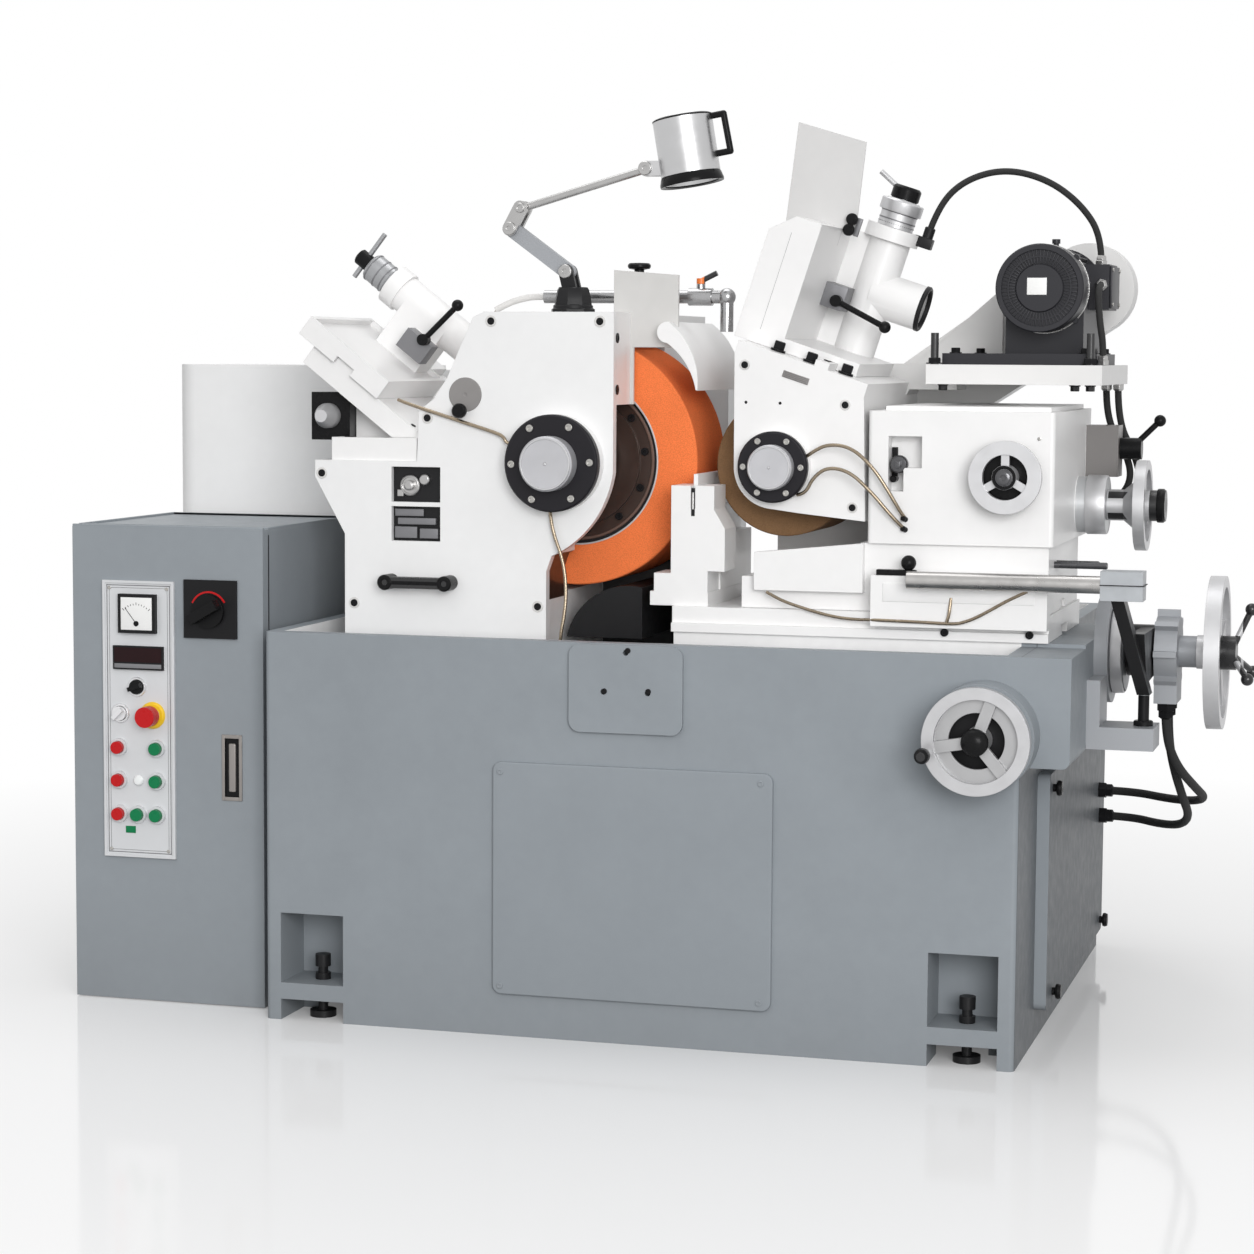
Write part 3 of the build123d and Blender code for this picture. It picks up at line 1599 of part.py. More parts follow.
# Lamp head: hollow can with a rim, fork at its side and a carrying loop.
lamp_rise = Vector(lamp_top[0] - lamp_rim[0], 0, lamp_top[1] - lamp_rim[1])
lamp_length = lamp_rise.length
lamp_axis = tuple(lamp_rise.normalized())
lamp_right = (lamp_axis[2], 0, -lamp_axis[0])
lamp_rim_at = (lamp_rim[0], lamp_y, lamp_rim[1])
with BuildPart() as lamp_head:
    turned(
        lamp_rim_at,
        lamp_axis,
        [
            (0, lamp_head_r - lamp_head_wall),
            (0, lamp_head_r),
            (lamp_length - lamp_chamfer, lamp_head_r),
            (lamp_length, lamp_head_r - lamp_chamfer),
            (lamp_length, 0),
            (lamp_head_depth, 0),
            (lamp_head_depth, lamp_head_r / 2),
        ],
    )
    for cheek_front in cheek_fronts:
        arm_plate(
            lamp_knuckle,
            (lamp_rim[0] - lamp_head_r, lamp_knuckle[1]),
            lamp_cheek_r,
            cheek_front,
            lamp_cheek_t,
        )
    rod(
        (lamp_knuckle[0], lamp_y - cheek_outer, lamp_knuckle[1]),
        (0, 1, 0),
        lamp_joint_r,
        2 * cheek_outer,
    )
    loop_foot = shifted(lamp_rim_at, lamp_axis, lamp_length * lamp_loop_from)
    loop_low = shifted(loop_foot, lamp_right, lamp_head_r - lamp_loop_sink)
    loop_head = shifted(lamp_rim_at, lamp_axis, lamp_length * lamp_loop_to)
    loop_high = shifted(loop_head, lamp_right, lamp_head_r - 2 * lamp_loop_sink)
    loop_low_out = shifted(loop_low, lamp_right, lamp_loop_reach)
    loop_high_out = shifted(loop_high, lamp_right, lamp_loop_reach)
    link(loop_low, loop_low_out, lamp_loop_r)
    link(loop_high, loop_high_out, lamp_loop_r)
    link(loop_low_out, loop_high_out, lamp_loop_r)
    ball(loop_low_out, lamp_loop_r)
    ball(loop_high_out, lamp_loop_r)
lamp_head.part.label = "lamp_head"
export_step(lamp_head.part, "parts/lamp_head.step")


# Lower slide: plate with a dovetail groove below, a key on top and a slotted stop block in front.
with BuildPart() as lower_slide:
    block(lower_x, slide_y, (lower_bottom, lower_top))
    block(lower_x, (lower_lip_y, slide_y[0]), (lower_bottom, lower_bottom + lower_lip_h))
    groove_foot = way_key_half - way_key_flare + slide_gap
    groove_crown = way_key_half + slide_gap
    prism(
        [
            (way_middle - groove_foot, lower_bottom),
            (way_middle + groove_foot, lower_bottom),
            (way_middle + groove_crown, way_top + way_key_h + slide_gap),
            (way_middle - groove_crown, way_top + way_key_h + slide_gap),
        ],
        side(lower_x[0]),
        lower_x[1] - lower_x[0],
        Mode.SUBTRACT,
    )
    block(
        slide_key_x,
        (way_middle - slide_key_half, way_middle + slide_key_half),
        (lower_top, lower_top + slide_key_h),
    )
    block(stop_block_x, stop_block_y, stop_block_z)
    block(
        stop_slot_x,
        (stop_block_y[0], stop_block_y[0] + stop_slot_depth),
        stop_slot_z,
        Mode.SUBTRACT,
    )
lower_slide.part.label = "lower_slide"
export_step(lower_slide.part, "parts/lower_slide.step")

# Work rest: base, slotted front pillar, low wall between the wheels; the blade is its own bar.
with BuildPart() as work_rest:
    block(rest_base_x, rest_base_y, (lower_top, rest_base_top))
    prism(
        [
            (rest_pillar_x[0], rest_base_top),
            (rest_waist_x, rest_base_top),
            (rest_waist_x, rest_flare_z[0]),
            (rest_flare_x, rest_flare_z[0]),
            (rest_flare_x, rest_flare_z[1]),
            (rest_pillar_x[1], rest_flare_z[2]),
            (rest_pillar_x[1], rest_top),
            (rest_pillar_x[0], rest_top),
        ],
        front(rest_front_y[1]),
        rest_front_y[1] - rest_front_y[0],
    )
    block(rest_nub_x, (rest_base_y[0], rest_front_y[1]), (rest_base_top, rest_nub_top))
    block(rest_wall_x, (rest_front_y[1], rest_base_y[1]), (rest_base_top, rest_wall_top))
    block(blade_bar_x, (rest_front_y[1], rest_base_y[1]), (rest_wall_top, blade_slot_floor))
    block(blade_x, rest_base_y, (blade_slot_floor, rest_top), Mode.SUBTRACT)
    block(
        (blade_x[0] + running_fit, blade_x[1] - running_fit),
        blade_y,
        (blade_slot_floor + running_fit, blade_top),
    )
work_rest.part.label = "work_rest"
export_step(work_rest.part, "parts/work_rest.step")

# Upper slide: seat for the gearbox, ramp under the regulating wheel and a trough wall in front.
with BuildPart() as upper_slide:
    upper_bottom = lower_top + slide_gap
    upper_shelf = trough_top[0] - 2 * trough_drop
    prism(
        [
            (upper_x[0], upper_bottom),
            (upper_x[1], upper_bottom),
            (upper_x[1], upper_top),
            (upper_ramp_x, upper_top),
            (upper_ramp_x, trough_top[1] - trough_drop),
            (trough_x[0], upper_shelf),
            (upper_x[0], upper_shelf),
        ],
        front(slide_y[1]),
        slide_y[1] - upper_front,
    )
    prism(
        [
            (trough_x[0], trough_bottom),
            (trough_x[1], trough_bottom),
            (trough_x[1], trough_top[1]),
            (trough_x[0], trough_top[0]),
        ],
        front(upper_front),
        upper_front - trough_front,
    )
    prism(
        [
            (upper_x[0], upper_shelf),
            (upper_back_x[1], upper_shelf),
            (upper_back_x[1], upper_back_z[1]),
            (upper_back_x[0], upper_back_z[1]),
            (upper_back_x[0], upper_back_z[0]),
            (upper_x[0], upper_back_z[0]),
        ],
        front(upper_back_y[1]),
        upper_back_y[1] - upper_back_y[0],
    )
    block(
        (upper_x[0], upper_x[1]),
        (way_middle - slide_key_half - slide_gap, way_middle + slide_key_half + slide_gap),
        (upper_bottom, lower_top + slide_key_h + slide_gap),
        Mode.SUBTRACT,
    )
upper_slide.part.label = "upper_slide"
export_step(upper_slide.part, "parts/upper_slide.step")


def reg_plane(y):
    """Plane of the regulating dresser at depth y: local x runs up its axis, local y to the left."""
    lean = radians(reg_tilt)
    return Plane(origin=(reg_x, y, reg_z), x_dir=(sin(lean), 0, cos(lean)), z_dir=(0, -1, 0))


def reg_point(rise, left, y):
    """Point given by its rise along the regulating dresser axis and its distance to the left."""
    lean = radians(reg_tilt)
    return (
        reg_x + rise * sin(lean) - left * cos(lean),
        y,
        reg_z + rise * cos(lean) + left * sin(lean),
    )


reg_up = (sin(radians(reg_tilt)), 0, cos(radians(reg_tilt)))
reg_left = (-cos(radians(reg_tilt)), 0, sin(radians(reg_tilt)))
saddle_top = reg_top + saddle_t

# Regulating head: casting with wheel chamber, saddle for the dresser and tilt pivot on its right.
with BuildPart() as reg_head:
    corner_left = reg_point(reg_top, reg_top_left, 0)
    corner_right = reg_point(reg_top, reg_top_right, 0)
    with BuildSketch(front(reg_head_y[1])) as reg_shape:
        with BuildLine():
            Polyline(
                (reg_nose_left, reg_z),
                (corner_left[0], corner_left[2]),
                (corner_right[0], corner_right[2]),
                *reg_head_bottom,
            )
            ThreePointArc(reg_head_bottom[-1], reg_nose_mid, (reg_nose_left, reg_z))
        make_face()
    extrude(reg_shape.sketch, amount=reg_head_y[1] - reg_head_y[0])
    strip(
        (reg_top, saddle_top),
        (reg_top_right, reg_top_left),
        reg_plane(saddle_y[1]),
        saddle_y[1] - saddle_y[0],
    )
    strip(
        (saddle_top, saddle_top + saddle_key_h),
        saddle_key_l,
        reg_plane(saddle_y[1]),
        saddle_y[1] - saddle_y[0],
    )
    rod(
        (reg_x, reg_chamber_y[0], reg_z),
        (0, 1, 0),
        reg_chamber_r,
        reg_chamber_y[1] - reg_chamber_y[0],
        Mode.SUBTRACT,
    )
    rod(
        (reg_x, reg_head_y[0], reg_z),
        (0, 1, 0),
        reg_journal_r + running_fit,
        reg_head_y[1] - reg_head_y[0],
        Mode.SUBTRACT,
    )
    strip(
        (reg_r, saddle_top + saddle_t),
        (-reg_slot_half, reg_slot_half),
        reg_plane(reg_slot_y[1]),
        reg_slot_y[1] - reg_slot_y[0],
        Mode.SUBTRACT,
    )
    rod(
        (reg_head_right - gear_round, pivot_y, pivot_z),
        (1, 0, 0),
        pivot_boss_r,
        gear_x[0] - slide_gap - reg_head_right + gear_round,
    )
    rod((reg_head_right, pivot_y, pivot_z), (1, 0, 0), pivot_pin_r, pivot_pin_depth)
reg_head.part.label = "regulating_head"
export_step(reg_head.part, "parts/regulating_head.step")

# Bearing cover of the regulating spindle.
with BuildPart() as reg_cover:
    turned(
        (reg_x, reg_head_y[0], reg_z),
        (0, -1, 0),
        [
            (0, 0),
            (0, reg_flange_r),
            (reg_flange_t - flange_chamfer, reg_flange_r),
            (reg_flange_t, reg_flange_r - flange_chamfer),
            (reg_flange_t, reg_cap_r),
            (reg_flange_t + reg_cap_h - cap_chamfer, reg_cap_r),
            (reg_flange_t + reg_cap_h, reg_cap_r - cap_chamfer),
            (reg_flange_t + reg_cap_h, 0),
        ],
    )
reg_cover.part.label = "regulating_bearing_cover"
export_step(reg_cover.part, "parts/regulating_bearing_cover.step")

# Regulating wheel: rubber-bonded ring.
with BuildPart() as reg_wheel:
    turned(
        (reg_x, wheel_y[0], reg_z),
        (0, 1, 0),
        [
            (0, reg_bore_r),
            (0, reg_r - wheel_chamfer),
            (2, reg_r),
            (wheel_y[1] - wheel_y[0] - wheel_chamfer, reg_r),
            (wheel_y[1] - wheel_y[0], reg_r - wheel_chamfer),
            (wheel_y[1] - wheel_y[0], reg_bore_r),
        ],
    )
reg_wheel.part.label = "regulating_wheel"
export_step(reg_wheel.part, "parts/regulating_wheel.step")

# Regulating spindle: journals, hub in the wheel and a pulley inside the belt guard.
with BuildPart() as reg_spindle:
    rod((reg_x, reg_front, reg_z), (0, 1, 0), reg_journal_r, reg_pulley_y[1] - reg_front)
    rod(
        (reg_x, wheel_y[0] + reg_hub_recess, reg_z),
        (0, 1, 0),
        reg_bore_r - running_fit,
        wheel_y[1] - wheel_y[0] - 2 * reg_hub_recess,
    )
    rod(
        (reg_x, reg_pulley_y[0], reg_z), (0, 1, 0), reg_pulley_r, reg_pulley_y[1] - reg_pulley_y[0]
    )
reg_spindle.part.label = "regulating_spindle"
export_step(reg_spindle.part, "parts/regulating_spindle.step")

# Regulating dresser carriage: base on the saddle key, tower, side boss, box, clamp and splash plate.
tower_foot = reg_point(saddle_top + slide_gap, 0, tower_y)
with BuildPart() as reg_carriage:
    strip(
        (saddle_top + slide_gap, reg_base_top),
        reg_base_l,
        reg_plane(reg_base_y[1]),
        reg_base_y[1] - reg_base_y[0],
    )
    strip(
        (saddle_top, saddle_top + saddle_key_h + slide_gap),
        (saddle_key_l[0] - slide_gap, saddle_key_l[1] + slide_gap),
        reg_plane(reg_base_y[1]),
        reg_base_y[1] - reg_base_y[0],
        Mode.SUBTRACT,
    )
    rod(reg_point(reg_base_top, 0, tower_y), reg_up, tower_r, tower_top - reg_base_top)
    rod(reg_point(tower_top, 0, tower_y), reg_up, tower_collar_r, tower_collar_top - tower_top)
    rod(
        reg_point(side_boss_b, 0, tower_y),
        tuple(-part for part in reg_left),
        side_boss_r,
        -side_boss_l,
    )
    prism(
        [
            (reg_base_top, box_l[0]),
            (box_step_b, box_l[0]),
            (box_step_b, box_step_l),
            (box_b, box_l[1]),
            (reg_base_top, box_l[1]),
        ],
        reg_plane(box_y[1]),
        box_y[1] - box_y[0],
    )
    strip(
        (reg_base_top, tower_top),
        (0, box_l[0]),
        reg_plane(tower_y + saddle_key_h),
        2 * saddle_key_h,
    )
    prism(splash_corners, reg_plane(splash_y), splash_t)
    strip(
        reg_clamp_b,
        reg_clamp_l,
        reg_plane(reg_clamp_y[1]),
        reg_clamp_y[1] - reg_clamp_y[0],
    )
    rod(
        tower_foot,
        reg_up,
        reg_quill_r + running_fit,
        tower_collar_top - saddle_top,
        Mode.SUBTRACT,
    )
    rod(
        reg_point(*reg_lever_at, reg_clamp_y[0]),
        (0, 1, 0),
        lever_pin_r + running_fit,
        lever_pin_depth + free_gap,
        Mode.SUBTRACT,
    )
reg_carriage.part.label = "regulating_dresser_carriage"
export_step(reg_carriage.part, "parts/regulating_dresser_carriage.step")

# Regulating dresser quill.
reg_quill_axis = (reg_x, tower_y, reg_z)
with BuildPart() as reg_quill:
    turned(
        reg_quill_axis,
        reg_up,
        [
            (reg_tip, 0),
            (reg_tip, 2),
            (reg_tip + reg_nose_r, reg_nose_r),
            (reg_nose_end, reg_nose_r),
            (reg_nose_end, reg_quill_r),
            (tower_collar_top, reg_quill_r),
            (tower_collar_top, 0),
        ],
    )
reg_quill.part.label = "regulating_dresser_quill"
export_step(reg_quill.part, "parts/regulating_dresser_quill.step")

# Regulating dresser crank: dial, hub and crank pin.
with BuildPart() as reg_crank:
    turned(
        reg_quill_axis,
        reg_up,
        [
            (tower_collar_top + slide_gap, 0),
            (tower_collar_top + slide_gap, reg_dial_r),
            (reg_dial_top - cap_chamfer, reg_dial_r),
            (reg_dial_top, reg_dial_r - cap_chamfer),
            (reg_dial_top, reg_hub_r),
            (reg_hub_top, reg_hub_r),
            (reg_hub_top, 0),
        ],
    )
    link(
        reg_point((reg_dial_top + reg_hub_top) / 2, 0, tower_y),
        reg_point(*reg_crank_end, tower_y),
        reg_crank_r,
    )
reg_crank.part.label = "regulating_dresser_crank"
export_step(reg_crank.part, "parts/regulating_dresser_crank.step")

# Clamp lever of the regulating dresser.
with BuildPart() as reg_lever:
    clamp_lever(
        reg_point(*reg_lever_at, reg_clamp_y[0]),
        (0, -1, 0),
        reg_point(*reg_lever_ball, reg_clamp_y[0] - lever_hub_h),
    )
reg_lever.part.label = "regulating_dresser_lever"
export_step(reg_lever.part, "parts/regulating_dresser_lever.step")


def head_line(x):
    """Height of the sloped top of the regulating head at x."""
    lean = radians(reg_tilt)
    return reg_z + (reg_top - (x - reg_x) * sin(lean)) / cos(lean)


# Motor table: bracket on the regulating head, plate, gusset, adjusting bolts and belt guard.
with BuildPart() as motor_table:
    prism(
        [
            (bracket_x[0], head_line(bracket_x[0])),
            (corner_right[0], corner_right[2]),
            (reg_head_right, bracket_bottom),
            (bracket_x[1], bracket_bottom),
            (bracket_x[1], table_z[1]),
            (bracket_x[0], table_z[1]),
        ],
        front(bracket_y[1]),
        bracket_y[1] - bracket_y[0],
    )
    block(table_x, table_y, table_z)
    prism(
        [
            (gusset_x[0], gusset_z[0]),
            (gusset_x[1], gusset_z[0]),
            (gusset_x[1], gusset_z[1]),
        ],
        front(bracket_y[1]),
        gusset_t,
    )
    for bolt_x in table_bolt_x:
        rod(
            (bolt_x, table_bolt_y, table_z[1]),
            (0, 0, 1),
            table_bolt_r,
            table_bolt_top - table_z[1],
        )
    for grow, mode in ((0, Mode.ADD), (-belt_guard_wall, Mode.SUBTRACT)):
        with BuildSketch(front(belt_guard_y[1] + grow)) as guard_shape:
            with Locations(belt_guard_motor):
                Circle(belt_guard_motor_r + grow)
            with Locations((reg_x, reg_z)):
                Circle(belt_guard_spindle_r + grow)
            make_hull()
        extrude(
            guard_shape.sketch, amount=belt_guard_y[1] - belt_guard_y[0] + 2 * grow, mode=mode
        )
    for shaft_at, shaft_r in ((motor_at, motor_shaft_r), ((reg_x, reg_z), reg_journal_r)):
        rod(
            (shaft_at[0], belt_guard_y[0], shaft_at[1]),
            (0, 1, 0),
            shaft_r + free_gap,
            belt_guard_wall,
            Mode.SUBTRACT,
        )
motor_table.part.label = "motor_table"
export_step(motor_table.part, "parts/motor_table.step")

# Motor: feet, body, fan cowl at the front, terminal box and shaft.
with BuildPart() as reg_motor:
    block(motor_foot_x, (motor_foot_front, motor_y[1]), (table_z[1], table_z[1] + motor_foot_t))
    block(
        (motor_at[0] - motor_body_r, motor_at[0] + motor_body_r),
        (motor_y[0] + motor_fan_depth, motor_y[1]),
        (table_z[1] + motor_foot_t, motor_at[1]),
    )
    turned(
        (motor_at[0], motor_y[0], motor_at[1]),
        (0, 1, 0),
        [
            (0, 0),
            (0, motor_fan_r - motor_fan_chamfer),
            (8, motor_fan_r),
            (motor_fan_depth, motor_fan_r),
            (motor_fan_depth, motor_body_r),
            (motor_y[1] - motor_y[0], motor_body_r),
            (motor_y[1] - motor_y[0], motor_shaft_r),
            (motor_shaft_end - motor_y[0], motor_shaft_r),
            (motor_shaft_end - motor_y[0], 0),
        ],
    )
    block(motor_box_x, motor_box_y, motor_box_z)
reg_motor.part.label = "regulating_motor"
export_step(reg_motor.part, "parts/regulating_motor.step")

# Gearbox: closed casing with a lid, a sight window, handwheel boss, side drum and lever block.
with BuildPart() as gearbox:
    block(gear_x, gear_y, gear_z)
    fillet(gearbox.edges().filter_by(Axis.Z), radius=gear_round)
    block(gear_lid_x, gear_lid_y, (gear_z[1], gear_z[1] + gear_lid_t))
    prism(
        [
            (gear_window_x[0], gear_window_z[0]),
            (gear_window_step[0], gear_window_z[0]),
            (gear_window_step[0], gear_window_step[1]),
            (gear_window_x[1], gear_window_step[1]),
            (gear_window_x[1], gear_window_z[1]),
            (gear_window_x[0], gear_window_z[1]),
        ],
        front(gear_y[0] + gear_window_depth),
        gear_window_depth,
        Mode.SUBTRACT,
    )
    rod((tilt_wheel_x, gear_y[0], tilt_wheel_z), (0, -1, 0), tilt_boss_r, tilt_boss_h)
    rod((gear_x[1], drum_y, drum_z), (1, 0, 0), drum_r, drum_end - gear_x[1])
    block((gear_x[1] - gear_round, gear_block_end), gear_block_y, gear_block_z)
    rod(
        (gear_x[0], pivot_y, pivot_z),
        (1, 0, 0),
        pivot_pin_r + running_fit,
        pivot_pin_depth + free_gap,
        Mode.SUBTRACT,
    )
    rod(
        (tilt_wheel_x, gear_y[0] - tilt_boss_h, tilt_wheel_z),
        (0, 1, 0),
        tilt_shaft_r + running_fit,
        shaft_depth + free_gap,
        Mode.SUBTRACT,
    )
    rod(
        (drum_end, drum_y, drum_z),
        (-1, 0, 0),
        speed_shaft_r + running_fit,
        shaft_depth + free_gap,
        Mode.SUBTRACT,
    )
    rod(
        (gear_block_end, gear_lever_y, gear_lever_z),
        (-1, 0, 0),
        tilt_shaft_r + running_fit,
        lever_pin_depth + free_gap,
        Mode.SUBTRACT,
    )
gearbox.part.label = "gearbox"
export_step(gearbox.part, "parts/gearbox.step")

# Tilt handwheel on the gearbox front.
tilt_face = gear_y[0] - tilt_boss_h
with BuildPart() as tilt_wheel:
    spoked_wheel(
        (tilt_wheel_x, tilt_wheel_y, tilt_wheel_z),
        (0, -1, 0),
        tilt_wheel_r,
        tilt_rim_w,
        tilt_rim_t,
        tilt_wheel_r / 3,
        tilt_face - slide_gap - tilt_wheel_y,
        tilt_wheel_r / 4,
        3,
        90,
    )
    rod(
        (tilt_wheel_x, tilt_wheel_y, tilt_wheel_z),
        (0, 1, 0),
        tilt_shaft_r,
        tilt_face + shaft_depth - tilt_wheel_y,
    )
tilt_wheel.part.label = "tilt_handwheel"
export_step(tilt_wheel.part, "parts/tilt_handwheel.step")

# Side handwheel on the gearbox drum, with a crank pin.
with BuildPart() as speed_wheel:
    speed_centre = (speed_wheel_x, drum_y, drum_z)
    spoked_wheel(
        speed_centre,
        (1, 0, 0),
        speed_wheel_r,
        speed_wheel_r / 5,
        speed_wheel_r / 4,
        speed_shaft_r + speed_wheel_r / 8,
        speed_wheel_x - drum_end - slide_gap,
        speed_hub_end - speed_wheel_x,
        3,
        90,
    )
    rod(
        (drum_end - shaft_depth, drum_y, drum_z),
        (1, 0, 0),
        speed_shaft_r,
        speed_wheel_x - drum_end + shaft_depth,
    )
speed_wheel.part.label = "speed_handwheel"
export_step(speed_wheel.part, "parts/speed_handwheel.step")

# Gear lever: hub on the lever block with an arm and a ball.
with BuildPart() as gear_lever:
    rod(
        (gear_block_end - lever_pin_depth, gear_lever_y, gear_lever_z),
        (1, 0, 0),
        tilt_shaft_r,
        lever_pin_depth + gear_lever_hub_r,
    )
    rod(
        (gear_block_end + slide_gap, gear_lever_y, gear_lever_z),
        (1, 0, 0),
        gear_lever_hub_r,
        gear_lever_hub_end - gear_block_end - slide_gap,
    )
    link(
        (gear_lever_hub_end - gear_lever_hub_r, gear_lever_y, gear_lever_z), gear_lever_ball, lever_arm_r
    )
    ball(gear_lever_ball, lever_ball_r)
gear_lever.part.label = "gear_lever"
export_step(gear_lever.part, "parts/gear_lever.step")

# Front handwheel on the bed boss, with a crank handle.
boss_face = -bed_half_y - front_boss_depth
with BuildPart() as front_wheel:
    spoked_wheel(
        (front_wheel_x, front_wheel_y, front_wheel_z),
        (0, -1, 0),
        front_wheel_r,
        front_wheel_rim,
        front_wheel_rim,
        front_wheel_r / 4,
        boss_face - slide_gap - front_wheel_y,
        front_wheel_r / 6,
        3,
        front_wheel_turn,
    )
    ring_plate(
        (front_wheel_x, front_wheel_y + front_wheel_rim / 2, front_wheel_z),
        (0, -1, 0),
        front_wheel_r - front_wheel_rim / 2,
        front_web_bore,
        front_web_t,
    )
    rod(
        (front_wheel_x, front_wheel_y, front_wheel_z),
        (0, 1, 0),
        front_wheel_shaft_r,
        boss_face + shaft_depth - front_wheel_y,
    )
    crank_foot = (
        front_wheel_x - front_crank_at[0],
        front_wheel_y,
        front_wheel_z - front_crank_at[1],
    )
    rod(crank_foot, (0, -1, 0), lever_arm_r, front_crank_h)
    turned(
        shifted(crank_foot, (0, -1, 0), front_wheel_r / 8),
        (0, -1, 0),
        [
            (0, 0),
            (0, lever_ball_r - handle_taper),
            (front_crank_h / 2, lever_ball_r),
            (front_crank_h, lever_ball_r - handle_taper),
            (front_crank_h, 0),
        ],
    )
front_wheel.part.label = "front_handwheel"
export_step(front_wheel.part, "parts/front_handwheel.step")

# Infeed unit: flange and ring on the bed, shaft for the lever, ribbed housing, sleeve and stub.
infeed_start = (side_block_x, infeed_y, infeed_z)
with BuildPart() as infeed_unit:
    turned(
        infeed_start,
        (1, 0, 0),
        [
            (0, 0),
            (0, infeed_flange_r),
            (infeed_flange_end - side_block_x, infeed_flange_r),
            (infeed_flange_end - side_block_x, infeed_ring_r),
            (infeed_ring_end - side_block_x, infeed_ring_r),
            (infeed_ring_end - side_block_x, infeed_shaft_r),
            (infeed_housing_x[0] - side_block_x, infeed_shaft_r),
            (infeed_housing_x[0] - side_block_x, infeed_housing_r),
            (infeed_housing_x[1] - side_block_x, infeed_housing_r),
            (infeed_housing_x[1] - side_block_x, infeed_sleeve_r),
            (infeed_sleeve_end - side_block_x, infeed_sleeve_r),
            (infeed_sleeve_end - side_block_x, infeed_stub_r),
            (infeed_stub_end - side_block_x, infeed_stub_r),
            (infeed_stub_end - side_block_x, 0),
        ],
    )
    with BuildSketch(side(infeed_housing_x[0])) as ribs:
        with Locations((infeed_y, infeed_z)):
            with PolarLocations(0, infeed_rib_count):
                with Locations((infeed_rib_r / 2, 0)):
                    Rectangle(infeed_rib_r, infeed_rib_w)
    extrude(ribs.sketch, amount=infeed_housing_x[1] - infeed_housing_x[0])
    block(
        infeed_housing_x,
        (infeed_y - infeed_sump_half, infeed_y + infeed_sump_half),
        (infeed_sump_z, infeed_z),
    )
    block(stop_plate_x, stop_plate_y, stop_plate_z)
    block((stop_plate_x[0], stop_leg_end), stop_plate_y, (stop_plate_z[0], stop_leg_top))
    rod(
        (*stop_bolt_at, stop_leg_top), (0, 0, 1), stop_bolt_r, stop_bolt_top - stop_leg_top
    )
infeed_unit.part.label = "infeed_unit"
export_step(infeed_unit.part, "parts/infeed_unit.step")

# Infeed lever: hub on the shaft, leaning arm, clamp block and steel bar.
with BuildPart() as infeed_lever:
    rod(
        (lever_hub_x[0], infeed_y, infeed_z),
        (1, 0, 0),
        lever_hub_radius,
        lever_hub_x[1] - lever_hub_x[0],
    )
    with BuildSketch(Plane.XY.offset(stop_bolt_top + slide_gap)):
        with Locations(lever_foot):
            Rectangle(lever_depth, lever_width)
    with BuildSketch(Plane.XY.offset(lever_knee[2])):
        with Locations(lever_knee[:2]):
            Rectangle(lever_depth, lever_width)
    loft()
    web_x = (lever_hub_x[0] + lever_hub_x[1]) / 2
    web_y = (lever_foot[1] + lever_knee[1]) / 2
    prism(
        [
            (infeed_y, infeed_z + lever_hub_radius - lever_web_step),
            (web_y, infeed_z + lever_hub_radius),
            (lever_foot[1] - lever_width / 2, infeed_z - lever_hub_radius / 2),
            (lever_foot[1], infeed_z - lever_hub_radius),
            (infeed_y, infeed_z - lever_hub_radius + lever_web_step),
        ],
        side(web_x),
        lever_hub_x[1] - web_x,
    )
    block(
        bar_clamp_x,
        (bar_y - bar_clamp_half, bar_y + bar_clamp_half),
        (bar_z - bar_clamp_half, bar_z + bar_clamp_half),
    )
    rod((bar_x[0], bar_y, bar_z), (1, 0, 0), bar_r, bar_x[1] - bar_x[0])
    rod(
        (lever_hub_x[0], infeed_y, infeed_z),
        (1, 0, 0),
        infeed_shaft_r + running_fit,
        lever_hub_x[1] - lever_hub_x[0],
        Mode.SUBTRACT,
    )
infeed_lever.part.label = "infeed_lever"
export_step(infeed_lever.part, "parts/infeed_lever.step")

# Infeed handwheel on the stub, with a star of three handles.
with BuildPart() as infeed_wheel:
    infeed_centre = (infeed_wheel_x, infeed_y, infeed_z)
    spoked_wheel(
        infeed_centre,
        (1, 0, 0),
        infeed_wheel_r,
        infeed_wheel_r / 7,
        infeed_wheel_r / 5,
        infeed_wheel_hub_r,
        infeed_wheel_x - infeed_sleeve_end - slide_gap,
        infeed_star_end - infeed_wheel_x,
        5,
        90,
    )
    for turn in range(infeed_handles):
        angle = radians(90 + 360 / infeed_handles * turn)
        link(
            (infeed_star_end - lever_ball_r, infeed_y, infeed_z),
            (
                infeed_handle_x,
                infeed_y + infeed_handle_ring * cos(angle),
                infeed_z + infeed_handle_ring * sin(angle),
            ),
            lever_arm_r,
        )
        ball(
            (
                infeed_handle_x,
                infeed_y + infeed_handle_ring * cos(angle),
                infeed_z + infeed_handle_ring * sin(angle),
            ),
            lever_ball_r,
        )
    rod(
        (infeed_sleeve_end, infeed_y, infeed_z),
        (1, 0, 0),
        infeed_stub_r + running_fit,
        infeed_stub_end - infeed_sleeve_end + free_gap,
        Mode.SUBTRACT,
    )
infeed_wheel.part.label = "infeed_handwheel"
export_step(infeed_wheel.part, "parts/infeed_handwheel.step")


